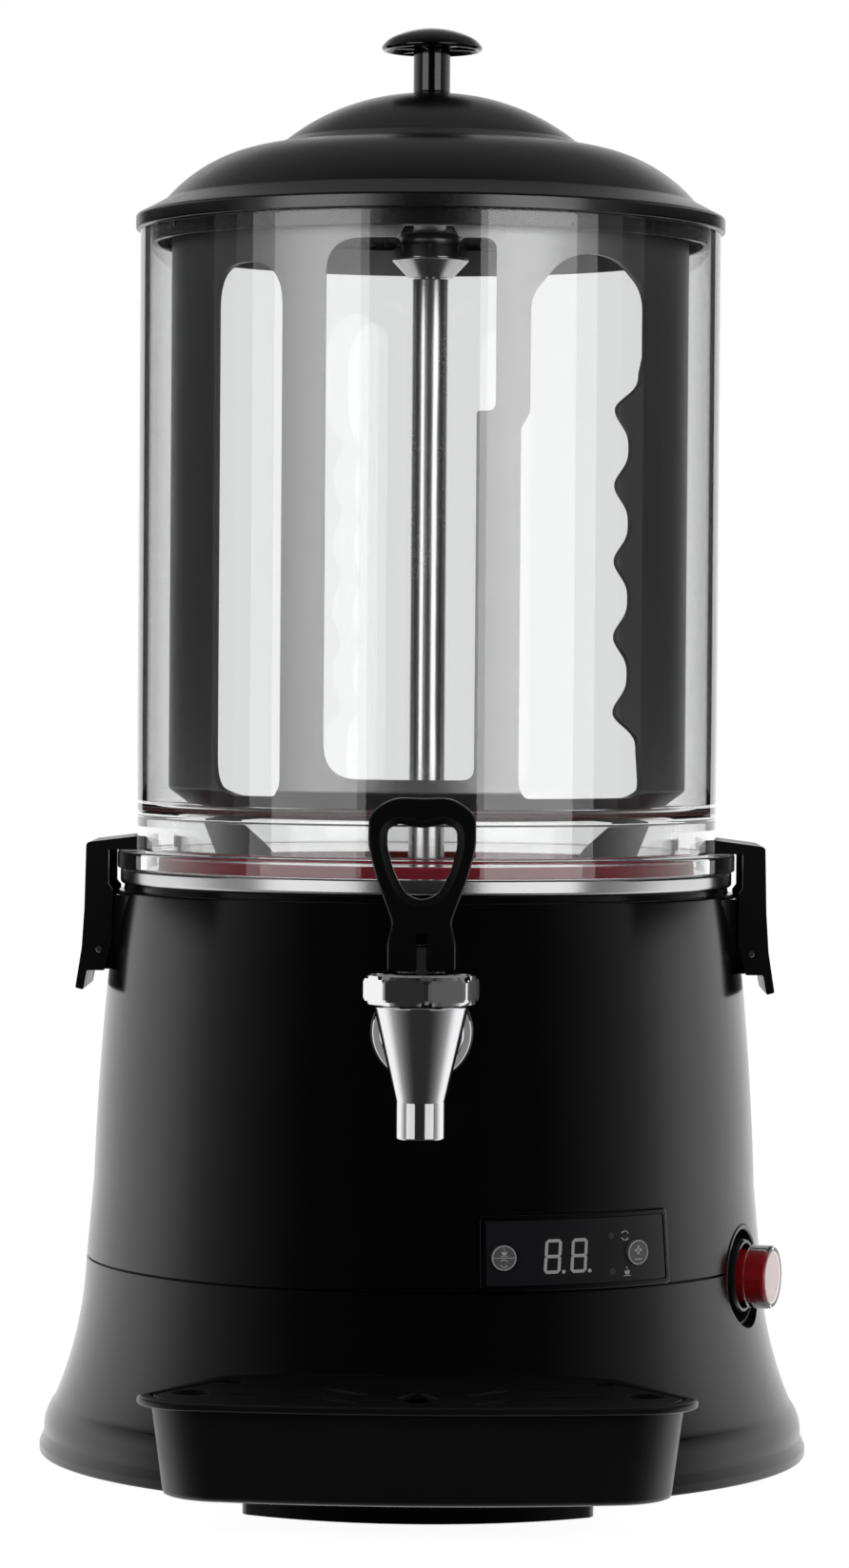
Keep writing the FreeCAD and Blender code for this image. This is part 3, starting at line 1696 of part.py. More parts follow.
def make_latch_spring(side, turn):
    """The small coil spring on a latch's pin, between the bracket's ears."""
    body = new_body(f"clip_spring_{side}")
    sketch = new_sketch(body, "YZ_Plane")
    length = S.latch_spring_wire * 3 * S.latch_spring_turns
    draw_circle(sketch, -length / 2, S.latch_spring_radius, S.latch_spring_wire)
    coil = body.newObject("PartDesign::AdditiveHelix", f"{body.Name}_coil")
    coil.Profile = sketch
    coil.ReferenceAxis = (sketch, ["H_Axis"])
    coil.Mode = "pitch-turns-angle"
    coil.Pitch = number(S.latch_spring_wire * 3)
    coil.setExpression("Pitch", (S.latch_spring_wire * 3).text)
    coil.Turns = int(S.latch_spring_turns.value)
    coil.setExpression("Turns", S.latch_spring_turns.text)
    body.Tip = coil
    away = -1 if side == "left" else 1
    seat(body, across=S.latch_pin_out * away, up=S.latch_pin_level)
    return body


# ---------------------------------------------------------------- tap


def tap_outer(level):
    """The tap body's outer radius on its tapered part."""
    slope = (S.tap_mouth_radius - S.spout_radius) / (S.tap_mouth_level - S.spout_top)
    return S.spout_radius + slope * (level - S.spout_top)


def make_tap_body():
    """The chromed tap: spout, seat, tapered chamber, and the shank through the housing."""
    body = new_body("tap_body")
    wall = S.tap_wall
    seat_top = S.tap_seat_level + S.tap_seat_thickness
    corners = [
        (S.spout_bore, S.spout_end),
        (S.spout_radius - 0.6, S.spout_end),
        (S.spout_radius, S.spout_end + 0.6),
        (S.spout_radius, S.spout_top),
        (S.tap_mouth_radius, S.tap_mouth_level),
        (S.tap_mouth_radius - wall, S.tap_mouth_level),
        (tap_outer(seat_top) - wall, seat_top),
        (S.tap_seat_bore, seat_top),
        (S.tap_seat_bore, S.tap_seat_level),
        (S.spout_bore, S.tap_seat_level),
    ]
    turn_profile(body, corners)
    shank = new_sketch(body, "XZ_Plane", lift=-(S.tap_reach - S.shank_end))
    draw_circle(shank, 0, S.tap_level, S.shank_radius)
    pad(body, shank, S.tap_reach - S.shank_end - 6)
    clearing = [
        (0, seat_top),
        (tap_outer(seat_top) - wall, seat_top),
        (S.tap_mouth_radius - wall, S.tap_mouth_level),
        (0, S.tap_mouth_level),
    ]
    turn_profile(body, clearing, cut=True)
    bore = new_sketch(body, "XZ_Plane", lift=-(S.tap_reach - S.shank_end) - 1)
    draw_circle(bore, 0, S.tap_level, S.shank_bore)
    pocket(body, bore, S.tap_reach - S.shank_end + 1, reverse=True)
    seat(body, forward=S.tap_reach)
    return body


def make_tap_escutcheon():
    """The domed chrome disc between the tap and the housing."""
    low = S.washer_face + 0.05
    high = low + S.escutcheon_depth
    bore = S.shank_radius + S.running_gap
    corners = [
        (bore, low),
        (S.escutcheon_radius, low),
        (S.escutcheon_radius, low + 2),
        (S.escutcheon_radius - 4, high),
        (bore, high),
    ]
    return bar("tap_escutcheon", 0, S.tap_level, corners, {2: (fixed(6.5), 1)})


def make_tap_washer():
    """The rubber washer that fills the wedge between the tapered housing and the flat disc."""
    body = new_body("tap_washer")
    sketch = new_sketch(body, "XZ_Plane", lift=S.knee_radius - 12)
    draw_circle(sketch, 0, S.tap_level, S.washer_radius)
    pad(body, sketch, S.washer_face - S.knee_radius + 12)
    fit = 0.05
    inside = [
        (0, S.knee_level),
        (S.knee_radius + fit, S.knee_level),
        (S.shoulder_radius + fit, S.shoulder_level - 1.5),
        (0, S.shoulder_level - 1.5),
    ]
    turn_profile(body, inside, {1: (S.barrel_bend, 1)}, cut=True)
    front_hole(body, S.tap_level, S.shank_radius + S.running_gap, S.lip_radius)
    return body


def hexagon(across, turn=0):
    """The six corners of a hexagon, by the distance across its flats."""
    corners = []
    for index in range(6):
        angle = math.radians(turn + 60 * index)
        reach = across / (2 * math.cos(math.radians(30)))
        corners.append((reach * math.cos(angle), reach * math.sin(angle)))
    return corners


def make_shank_nut():
    """The nut that clamps the tap's shank from inside the housing."""
    body = new_body("tap_shank_nut")
    face = S.washer_face - S.shell_wall - S.shank_nut_setback
    sketch = new_sketch(body, "XZ_Plane", lift=face - S.shank_nut_thickness)
    draw_outline(sketch, hexagon(S.shank_nut_across))
    pad(body, sketch, S.shank_nut_thickness)
    bore = new_sketch(body, "XZ_Plane", lift=face - S.shank_nut_thickness - 1)
    draw_circle(bore, 0, 0, S.shank_radius + S.running_gap)
    pocket(body, bore, S.shank_nut_thickness + 2, reverse=True)
    seat(body, up=S.tap_level)
    return body


def make_bonnet_nut():
    """The eight-sided chrome nut on top of the tap, with chamfered corners."""
    body = new_body("tap_bonnet_nut")
    corners = []
    for index in range(8):
        angle = math.radians(6 + 45 * index)
        reach = S.bonnet_across / (2 * math.cos(math.radians(22.5)))
        corners.append((reach * math.cos(angle), reach * math.sin(angle)))
    low = S.tap_mouth_level + 0.05
    sketch = new_sketch(body, "XY_Plane", lift=low)
    draw_outline(sketch, corners)
    pad(body, sketch, S.bonnet_top - low)
    outer = S.bonnet_corner_radius + 8
    rim = S.bonnet_corner_radius
    chamfer = S.bonnet_chamfer
    trim = [
        (rim, low + chamfer),
        (rim - chamfer, low - 0.01),
        (outer, low - 1),
        (outer, S.bonnet_top + 1),
        (rim - chamfer, S.bonnet_top + 0.01),
        (rim, S.bonnet_top - chamfer),
    ]
    turn_profile(body, trim, cut=True)
    cavity = [
        (0, low - 1),
        (S.tap_mouth_radius - S.tap_wall - 1, low - 1),
        (S.tap_mouth_radius - S.tap_wall - 1, S.bonnet_top - S.bonnet_wall),
        (0, S.bonnet_top - S.bonnet_wall),
    ]
    turn_profile(body, cavity, cut=True)
    hole = new_sketch(body, "XY_Plane", lift=low)
    draw_circle(hole, 0, 0, S.stem_radius + S.switch_fit)
    pocket(body, hole, S.bonnet_top, reverse=True)
    seat(body, forward=S.tap_reach)
    return body


CUP_FOOT = S.tap_seat_level + S.tap_seat_thickness + 0.1
CUP_TOP = CUP_FOOT + S.cup_height
HANDLE_FOOT = S.bonnet_top + S.handle_seat_gap
HANDLE_PIN = HANDLE_FOOT + S.handle_pin_rise


def make_tap_stem():
    """The steel stem from the seat cup to the handle's pin, with a flat tang at its top."""
    body = new_body("tap_stem")
    shoulder = HANDLE_PIN - S.tang_length
    low = CUP_FOOT + 2.6
    turn_profile(body, box_corners(0, S.stem_radius, low, shoulder))
    tang = new_sketch(body, "YZ_Plane")
    half = S.tang_depth / 2
    draw_outline(
        tang, *round_box(-half, half, shoulder - 0.5, S.stem_top, S.tang_corner)
    )
    pad(body, tang, S.tang_thickness, symmetric=True)
    bore = new_sketch(body, "YZ_Plane")
    draw_circle(bore, 0, HANDLE_PIN, S.handle_pin_radius + S.running_gap)
    pocket(body, bore, S.tang_thickness * 2, symmetric=True)
    seat(body, forward=S.tap_reach)
    return body


def make_seat_cup():
    """The silicone cup that closes the seat."""
    body = new_body("tap_seat_cup")
    bore = S.stem_radius + S.running_gap
    corners = [
        (0, CUP_FOOT),
        (S.cup_radius - 1.2, CUP_FOOT),
        (S.cup_radius, CUP_FOOT + 1.2),
        (S.cup_radius - 1.4, CUP_TOP),
        (bore, CUP_TOP),
        (bore, CUP_FOOT + 2.5),
        (0, CUP_FOOT + 2.5),
    ]
    turn_profile(body, corners)
    seat(body, forward=S.tap_reach)
    return body


def make_tap_spring():
    """The coil spring that closes the tap, between the cup and the bonnet."""
    body = new_body("tap_spring")
    sketch = new_sketch(body, "XZ_Plane")
    low = CUP_TOP + S.tap_spring_wire + 0.1
    high = S.bonnet_top - S.bonnet_wall - S.tap_spring_wire - 0.1
    draw_circle(sketch, S.tap_spring_radius, low, S.tap_spring_wire)
    coil = body.newObject("PartDesign::AdditiveHelix", "tap_spring_coil")
    coil.Profile = sketch
    coil.ReferenceAxis = (sketch, ["V_Axis"])
    coil.Mode = "pitch-height-angle"
    coil.Pitch = S.tap_spring_pitch.value
    coil.setExpression("Pitch", S.tap_spring_pitch.text)
    coil.Height = (high - low).value
    coil.setExpression("Height", (high - low).text)
    body.Tip = coil
    seat(body, forward=S.tap_reach)
    return body


def make_tap_handle():
    """The loop handle: a shank over the bonnet, a neck, and a loop with a finger hole."""
    body = new_body("tap_handle")
    shank = S.handle_shank_width / 2
    neck = S.handle_neck_width / 2
    loop = S.handle_loop_width / 2
    top_corner = S.handle_top_corner
    corners = [
        (-shank, HANDLE_FOOT),
        (shank, HANDLE_FOOT),
        (shank, S.handle_shank_top),
        (neck, S.handle_neck_level),
        (loop, S.handle_loop_level),
        (loop - top_corner, S.handle_top),
        (-loop + top_corner, S.handle_top),
        (-loop, S.handle_loop_level),
        (-neck, S.handle_neck_level),
        (-shank, S.handle_shank_top),
    ]
    bends = {
        3: (S.handle_side_bend, 1),
        4: (S.handle_corner_bend, 1),
        6: (S.handle_corner_bend, 1),
        7: (S.handle_side_bend, 1),
    }
    plate = new_sketch(body, "XZ_Plane")
    draw_outline(plate, corners, bends)
    pad(body, plate, S.handle_depth, symmetric=True)
    hole = new_sketch(body, "XZ_Plane")
    half = S.handle_hole_width / 2
    foot = S.handle_hole_foot
    foot_half = S.handle_hole_foot_half
    shoulder = foot + S.handle_hole_rise
    corner = S.handle_hole_corner
    corner_bend = S.handle_hole_corner_bend
    foot_bend = S.handle_hole_foot_bend
    draw_outline(
        hole,
        [
            (-foot_half, foot),
            (foot_half, foot),
            (half * 0.78, shoulder),
            (half, S.handle_hole_top - corner_bend),
            (half - corner, S.handle_hole_top),
            (-half + corner, S.handle_hole_top),
            (-half, S.handle_hole_top - corner_bend),
            (-half * 0.78, shoulder),
        ],
        {1: (foot_bend, 1), 3: (corner_bend, 1), 5: (corner_bend, 1), 7: (foot_bend, 1)},
    )
    pocket(body, hole, S.handle_depth * 2, symmetric=True)
    slot = new_sketch(body, "XZ_Plane")
    slot_half = S.handle_slot_width / 2
    draw_outline(
        slot, box_corners(-slot_half, slot_half, HANDLE_FOOT - 1, S.handle_slot_top)
    )
    pocket(body, slot, S.handle_depth * 2, symmetric=True)
    pin = new_sketch(body, "YZ_Plane")
    draw_circle(pin, 0, HANDLE_PIN, S.handle_pin_radius + S.running_gap)
    pocket(body, pin, S.handle_shank_width * 2, symmetric=True)
    seat(body, forward=S.tap_reach)
    return body


def make_handle_pin():
    """The pin through the handle's shank and the stem's tang."""
    body = new_body("handle_pivot_pin")
    sketch = new_sketch(body, "YZ_Plane")
    draw_circle(sketch, 0, HANDLE_PIN, S.handle_pin_radius)
    pad(body, sketch, S.handle_shank_width - 0.6, symmetric=True)
    seat(body, forward=S.tap_reach)
    return body


# ---------------------------------------------------------------- control panel


PANEL_FOOT = S.seam_level + S.seam_gap
SECTOR_TURN = S.panel_turn - 90


def panel_band(label, near, far, low, high, span):
    """A curved plate on the housing, between two distances from its surface."""
    body = new_body(label)
    corners = [
        (upper_radius(low) + near, low),
        (upper_radius(low) + far, low),
        (upper_radius(high) + far, high),
        (upper_radius(high) + near, high),
    ]
    turn_profile(body, corners, span=span)
    seat(body, turn=SECTOR_TURN)
    return body


def rim_span(inset):
    """The panel's span in degrees, less a margin given as a length on the housing."""
    return S.panel_span - inset * (360 / math.pi) / S.seam_radius


def make_panel_frame():
    """The raised frame of the control panel, with a recess for its face."""
    body = panel_band("panel_frame", 0.1, S.panel_rise, PANEL_FOOT, S.panel_top, S.panel_span)
    low = PANEL_FOOT + S.panel_rim
    high = S.panel_top - S.panel_rim
    floor = S.panel_rise - S.panel_recess
    corners = [
        (upper_radius(low) + floor, low),
        (upper_radius(low) + S.panel_rise * 2, low),
        (upper_radius(high) + S.panel_rise * 2, high),
        (upper_radius(high) + floor, high),
    ]
    turn_profile(body, corners, span=rim_span(S.panel_rim), cut=True)
    opening = new_sketch(body, "YZ_Plane")
    draw_outline(
        opening,
        box_corners(
            -S.panel_opening_left,
            S.panel_opening_right,
            S.control_level - S.panel_opening_height / 2,
            S.control_level + S.panel_opening_height / 2,
        ),
    )
    pocket(body, opening, S.lip_radius * 1.2, reverse=True)
    return body


def make_panel_face():
    """The glossy face in the frame, with a round hole for each key."""
    fit = S.panel_fit
    floor = S.panel_rise - S.panel_recess + fit / 3
    body = panel_band(
        "panel_face",
        floor,
        S.panel_rise - 0.1,
        PANEL_FOOT + S.panel_rim + fit,
        S.panel_top - S.panel_rim - fit,
        rim_span(S.panel_rim + fit),
    )
    for key_turn in (S.mode_key_turn, S.temp_key_turn):
        sketch = new_sketch(body, "XZ_Plane", turn=key_turn - SECTOR_TURN)
        draw_circle(sketch, 0, S.control_level, S.key_radius + S.key_gap)
        pocket(body, sketch, S.lip_radius * 1.2, reverse=True)
    return body


def face_reach(size):
    """The distance from the bowl's axis to the panel's face at the level of the keys."""
    return upper_radius(S.control_level) + S.panel_rise + size


def make_key(label, turn):
    """A round key on the panel: a cap, and a thinner stem to its contact on the board."""
    top = face_reach(S.key_proud)
    foot = top - S.key_length
    stem_foot = S.board_back + S.board_thickness + S.key_stem_gap
    corners = [
        (0, stem_foot),
        (S.key_radius * 0.5, stem_foot),
        (S.key_radius * 0.5, foot),
        (S.key_radius, foot),
        (S.key_radius, top - 0.6),
        (S.key_radius - 0.8, top),
        (0, top),
    ]
    return bar(label, turn, S.control_level, corners)


def box_at(label, turn, level, width, height, low, high):
    """A block square to a radius of the machine, between two distances from the axis."""
    body = new_body(label)
    sketch = new_sketch(body, "XY_Plane", lift=-height / 2)
    draw_outline(sketch, box_corners(-width / 2, width / 2, low, high))
    pad(body, sketch, height)
    seat(body, up=level, turn=outward(turn))
    return body


def make_display_module():
    """The numeric display behind the face."""
    front = upper_radius(S.control_level) + S.panel_rise - S.panel_recess - 1.6
    return box_at(
        "display_module",
        S.display_turn,
        S.control_level,
        S.display_width,
        S.display_height,
        front - S.display_depth,
        front,
    )


def make_indicator_leds():
    """The two indicator lamps beside the display, as a group of separate solids."""
    radius = S.led_radius.value
    face = (upper_radius(S.control_level) + S.panel_rise - S.panel_recess - S.led_setback).value
    length = face - (S.board_back + S.board_thickness).value - 1.6
    shapes = []
    angle = math.radians(S.led_turn.value)
    direction = Vector(math.sin(angle), -math.cos(angle), 0)
    for side in (1, -1):
        level = (S.control_level + S.led_spread * side).value
        start = direction * (face - length) + Vector(0, 0, level)
        shapes.append(Part.makeCylinder(radius, length, start, direction))
    group = DOC.addObject("Part::Feature", "indicator_leds")
    group.Label = "indicator_leds"
    group.Shape = Part.makeCompound(shapes)
    PARTS.append(group)


def make_control_board():
    """The board behind the panel that carries the keys' contacts, lamps and display."""
    return box_at(
        "control_board",
        S.panel_turn,
        S.control_level,
        S.board_width,
        S.board_height,
        S.board_back,
        S.board_back + S.board_thickness,
    )


def make_power_board():
    """The power board that stands on the floor plate beside the motor."""
    body = new_body("power_board")
    foot = S.foot_height + S.plate_thickness + 0.1
    side = S.bracket_width / 2 + 22
    half = S.power_board_width / 2
    sketch = new_sketch(body, "YZ_Plane", lift=-side)
    draw_outline(sketch, box_corners(-half, half, foot, foot + S.power_board_height))
    pad(body, sketch, S.board_thickness)
    relay = new_sketch(body, "YZ_Plane", lift=-side + S.board_thickness)
    draw_outline(relay, box_corners(-half + 8, -half + 28, foot + 18, foot + 34))
    draw_outline(relay, box_corners(-half + 36, -half + 62, foot + 14, foot + 40))
    pad(body, relay, 14)
    return body


# ---------------------------------------------------------------- power switch


def make_switch_housing():
    """The recessed dish of the power switch, with the collar that guides its button."""
    rim = S.switch_rim_reach
    floor = rim - S.switch_dish_depth
    wall = S.switch_wall
    outer = S.switch_hole_radius - S.switch_fit
    guide = S.switch_button_radius + S.switch_fit
    corners = [
        (guide, floor - wall),
        (outer - 1, floor - wall),
        (outer, floor),
        (outer, rim),
        (outer - wall, rim),
        (S.switch_collar_radius + 1.4, floor),
        (S.switch_collar_radius, floor + 1.4),
        (S.switch_collar_radius - wall, floor + 4),
        (guide, floor + 4),
    ]
    return bar("switch_housing", S.switch_turn, S.switch_level, corners)


def make_switch_body():
    """The switch's contact block behind the dish, with a well for the button."""
    floor = S.switch_rim_reach - S.switch_dish_depth - S.switch_wall - 0.2
    body = box_at(
        "switch_body",
        S.switch_turn,
        S.switch_level,
        S.switch_body_width,
        S.switch_body_width,
        floor - S.switch_body_depth,
        floor,
    )
    return body


def make_switch_button():
    """The red button that slides in the dish's collar."""
    top = S.switch_reach - S.switch_cap_wall - 0.1
    floor = S.switch_rim_reach - S.switch_dish_depth - S.switch_wall
    corners = [
        (0, floor + S.switch_travel + 0.2),
        (S.switch_button_radius, floor + S.switch_travel + 0.2),
        (S.switch_button_radius, top),
        (0, top),
    ]
    return bar("switch_button", S.switch_turn, S.switch_level, corners)


def make_switch_cap():
    """The clear cap over the button's outer end."""
    top = S.switch_reach
    low = S.switch_rim_reach + S.switch_travel + 1
    inner = S.switch_button_radius + 0.05
    corners = [
        (inner, low),
        (S.switch_cap_radius - 0.3, low),
        (S.switch_cap_radius, low + 0.5),
        (S.switch_cap_radius, top - 1),
        (S.switch_cap_radius - 1, top),
        (0, top),
        (0, top - S.switch_cap_wall),
        (inner, top - S.switch_cap_wall),
    ]
    return bar("switch_cap", S.switch_turn, S.switch_level, corners)


# ---------------------------------------------------------------- drip tray


def tray_outline(inset, back_radius):
    """The tray's plan, forward as +Y: hollow back, spreading sides, round corners, bowed front."""
    half_back = S.tray_back_width / 2 - inset
    near = half_back - 5
    back = root(back_radius * back_radius - near * near)
    half = S.tray_width / 2 - inset
    side = S.tray_side_reach - inset * 0.5
    front = S.tray_front - inset
    shoulder = front + S.tray_bow * 0.28
    across = half - S.tray_corner
    corners = [
        (near, back),
        (half_back, back + 4),
        (half, side),
        (across, shoulder),
        (0, front + S.tray_bow),
        (-across, shoulder),
        (-half, side),
        (-half_back, back + 4),
        (-near, back),
    ]
    rise = S.tray_bow * 0.72
    bow_bend = (across * across + rise * rise) / (rise * 2)
    bends = {
        0: (fixed(5), 1),
        2: (S.tray_corner * 1.2, 1),
        3: (bow_bend, 1),
        4: (bow_bend, 1),
        5: (S.tray_corner * 1.2, 1),
        7: (fixed(5), 1),
        8: (back_radius, -1),
    }
    return corners, bends


def loft(body, low_sketch, high_sketch, cut=False):
    """A solid, or a hollow, between two outlines."""
    kind = "PartDesign::SubtractiveLoft" if cut else "PartDesign::AdditiveLoft"
    feature = body.newObject(kind, f"{body.Name}_loft")
    feature.Profile = low_sketch
    feature.Sections = [high_sketch]
    feature.Ruled = True
    body.Tip = feature
    if cut:
        CUTS.append((body.Name, feature))
    return feature


def tray_sketch(body, level, inset, back_radius):
    """The tray's plan at a level."""
    sketch = new_sketch(body, "XY_Plane", lift=level)
    draw_outline(sketch, *tray_outline(inset, back_radius))
    return sketch


def make_drip_tray():
    """The tray: a drafted basin, a rim all round, and a ledge that the grid lies on."""
    body = new_body("drip_tray")
    rim_foot = S.tray_top - S.tray_rim
    lip = S.tray_lip
    wall = S.tray_wall
    draft = S.tray_draft
    low = tray_sketch(body, S.tray_foot, lip + draft, S.tray_back_wall)
    high = tray_sketch(body, rim_foot, lip, S.tray_back_wall)
    loft(body, low, high)
    rim = tray_sketch(body, rim_foot, fixed(0), S.tray_back_radius)
    pad(body, rim, S.tray_rim)
    ledge = S.tray_top - S.grid_sink - S.grid_thickness
    ledge_foot = ledge - S.tray_ledge_depth
    back_inside = S.tray_back_wall + wall
    well_low = tray_sketch(body, S.tray_foot + wall, lip + draft + wall, back_inside)
    well_high = tray_sketch(body, ledge_foot, lip + wall + 0.2, back_inside)
    loft(body, well_low, well_high, cut=True)
    mouth = tray_sketch(body, ledge_foot - 0.1, lip + wall + S.tray_ledge, S.tray_back_ledge)
    pocket(body, mouth, S.tray_top, reverse=True)
    shelf = tray_sketch(body, ledge, lip, S.tray_back_shelf)
    pocket(body, shelf, S.tray_top, reverse=True)
    seat(body, turn=180)
    return body


def crescent(side, outer, middle, inner):
    """A curved slot: a fine outer end, a bend, and a wide blunt inner end. Points are across, forward."""
    wide = S.grid_slot_width
    corners = [
        (outer[0] * side, outer[1]),
        (middle[0] * side, middle[1]),
        (inner[0] * side, inner[1]),
        ((inner[0] + S.grid_slot_tip_width) * side, inner[1] + S.grid_slot_tip_slant),
        (middle[0] * side, middle[1] + wide),
        (outer[0] * side, outer[1] + S.grid_slot_end_width),
    ]
    flat = S.grid_slot_side_bend
    outside = S.grid_slot_outer_bend
    inside = S.grid_slot_inner_bend
    bends = {0: (flat, 1), 1: (inside, 1), 3: (outside, -1), 4: (flat, -1)}
    if side > 0:
        corners.reverse()
        bends = {0: (flat, 1), 1: (outside, 1), 3: (inside, -1), 4: (flat, -1)}
    return corners, {number: (bend[0], bend[1] * -1 * side) for number, bend in bends.items()}


def make_drip_grid():
    """The lift-off grid, with round drain holes, a pointed slot and curved slots."""
    body = new_body("drip_grid")
    low = S.tray_top - S.grid_sink - S.grid_thickness
    plan = tray_sketch(body, low, S.tray_lip + S.grid_fit, S.tray_back_shelf + S.grid_fit)
    pad(body, plan, S.grid_thickness)
    holes = new_sketch(body, "XY_Plane", lift=low)
    half = S.grid_diamond_width / 2
    near = S.grid_diamond_near
    far = S.grid_diamond_far
    for side in (1, -1):
        draw_circle(holes, S.grid_big_across * side, S.grid_big_forward, S.grid_big_hole)
        draw_circle(holes, S.grid_small_across * side, S.grid_small_forward, S.grid_small_hole)
    middle = (near + far) / 2
    draw_outline(holes, [(0, near), (half, middle), (0, far), (-half, middle)])
    pocket(body, holes, S.grid_thickness * 2, reverse=True)
    rear_slot = (
        (S.rear_slot_end_across, S.rear_slot_end_forward),
        (S.rear_slot_bend_across, S.rear_slot_bend_forward),
        (S.rear_slot_tip_across, S.rear_slot_tip_forward),
    )
    front_slot = (
        (S.front_slot_end_across, S.front_slot_end_forward),
        (S.front_slot_bend_across, S.front_slot_bend_forward),
        (S.front_slot_tip_across, S.front_slot_tip_forward),
    )
    for side in (1, -1):
        for points in (rear_slot, front_slot):
            slot = new_sketch(body, "XY_Plane", lift=low)
            draw_outline(slot, *crescent(side, *points))
            pocket(body, slot, S.grid_thickness * 2, reverse=True)
    seat(body, turn=180)
    return body


# ---------------------------------------------------------------- the whole machine


def make_all():
    """Make every sub-part."""
    make_base_skirt()
    make_base_plate()
    make_foot_ring()
    make_base_screws()
    make_tray_support()
    make_cord_gland()
    make_upper_body()
    make_collar_ring()
    make_heating_pan()
    make_outlet_tube()
    make_water_jacket()
    make_heating_element()
    make_thermostat()
    make_bowl()
    make_bowl_gasket()
    make_lid()
    make_lid_knob()
    make_knob_screw()
    make_stirrer_cage()
    make_column_tube()
    make_bushing("upper_bushing", S.column_top)
    make_bushing("lower_bushing", S.pan_floor + S.bushing_height)
    make_drive_shaft()
    make_hub_cone()
    make_hub_nut()
    make_gearbox()
    make_motor_can()
    make_motor_bracket()
    for side, turn in (("right", 0), ("left", 180)):
        make_latch(side, turn)
        make_latch_pin(side, turn)
        make_latch_bracket(side, turn)
        make_latch_spring(side, turn)
    make_tap_body()
    make_tap_escutcheon()
    make_tap_washer()
    make_shank_nut()
    make_bonnet_nut()
    make_tap_stem()
    make_seat_cup()
    make_tap_spring()
    make_tap_handle()
    make_handle_pin()
    make_panel_frame()
    make_panel_face()
    make_key("mode_button", S.mode_key_turn)
    make_key("temp_button", S.temp_key_turn)
    make_display_module()
    make_indicator_leds()
    make_control_board()
    make_power_board()
    make_switch_housing()
    make_switch_body()
    make_switch_button()
    make_switch_cap()
    make_drip_tray()
    make_drip_grid()


def check_document():
    """Stop if any object failed, any sub-part is not a valid solid, or any cut took nothing away."""
    for item in DOC.Objects:
        state = " ".join(item.State)
        if "Invalid" in state or "Error" in state:
            raise RuntimeError(f"{item.Name} failed: {state}")
    for part in PARTS:
        shape = part.Shape
        if shape.isNull() or not shape.isValid() or not shape.Solids:
            raise RuntimeError(f"{part.Label} has no valid solid")
    for name, cut in CUTS:
        if cut.BaseFeature is None or cut.Shape.Volume >= cut.BaseFeature.Shape.Volume - 0.01:
            raise RuntimeError(f"a cut in {name} takes nothing away: {cut.Name}")


make_all()
DOC.recompute()
check_document()
os.makedirs("parts", exist_ok=True)
for sub_part in PARTS:
    sub_part.Shape.exportStep(os.path.join("parts", f"{sub_part.Label}.step"))
    print(sub_part.Label, len(sub_part.Shape.Solids), round(sub_part.Shape.Volume, 1))
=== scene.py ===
"""The looks of a hot chocolate dispenser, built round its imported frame.

Sizes are in millimetres until a mesh is made, and angles in degrees. The bowl's axis is Z, the tap
faces -Y, and an azimuth is measured from the tap towards +X, where the control panel is.
"""

import logging
import math
from dataclasses import dataclass, field
from enum import Enum

import bmesh
import bpy
import numpy as np
from mathutils import Matrix


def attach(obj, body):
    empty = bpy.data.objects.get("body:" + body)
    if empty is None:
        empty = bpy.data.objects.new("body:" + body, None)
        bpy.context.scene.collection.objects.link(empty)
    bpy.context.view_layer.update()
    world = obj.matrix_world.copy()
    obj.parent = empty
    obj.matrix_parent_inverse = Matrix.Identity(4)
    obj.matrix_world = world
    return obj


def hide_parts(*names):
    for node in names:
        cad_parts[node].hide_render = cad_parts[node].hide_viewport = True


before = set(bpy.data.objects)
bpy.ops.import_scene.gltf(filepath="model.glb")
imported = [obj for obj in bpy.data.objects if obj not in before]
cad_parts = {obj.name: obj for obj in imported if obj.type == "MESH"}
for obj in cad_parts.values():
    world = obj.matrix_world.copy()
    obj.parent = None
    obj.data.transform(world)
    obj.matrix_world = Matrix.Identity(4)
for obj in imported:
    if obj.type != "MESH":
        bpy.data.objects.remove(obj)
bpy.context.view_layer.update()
MM = 0.001
MERGE = 2e-6  # metres within which doubled points become one
SLIVER = 1e-7  # metres under which an edge is dropped
BEVEL_ANGLE = 40.0  # degrees past which a bevelled piece's edges are rounded
LOG = logging.getLogger("dispenser")
Array = np.ndarray


# ---------------------------------------------------------------- surfaces


@dataclass
class Skin:
    """A mesh being worked out: points in millimetres, and arrays of faces of one length each."""

    points: Array
    faces: list[Array]

    def placed(self, matrix: Array) -> "Skin":
        """The skin with each point p put at R p + t, where matrix holds R and t as a 3 by 4 array.

        Args:
            matrix: the 3 by 4 array.

        Returns:
            The placed skin.
        """
        return Skin(self.points @ matrix[:, :3].T + matrix[:, 3], self.faces)

    def shifted(self, across: float = 0.0, back: float = 0.0, up: float = 0.0) -> "Skin":
        """The skin moved by a vector."""
        return Skin(self.points + np.array([across, back, up]), self.faces)

    def mirrored(self) -> "Skin":
        """The skin with x changed to -x and its faces turned round."""
        return Skin(self.points * np.array([-1.0, 1.0, 1.0]), [face[:, ::-1] for face in self.faces])


def joined(*skins: Skin) -> Skin:
    """Several skins as one, their face numbers counted on.

    Args:
        skins: the skins.

    Returns:
        The joined skin.
    """
    counts = np.cumsum([0] + [len(skin.points) for skin in skins])
    faces = [face + start for skin, start in zip(skins, counts) for face in skin.faces]
    return Skin(np.vstack([skin.points for skin in skins]), faces)


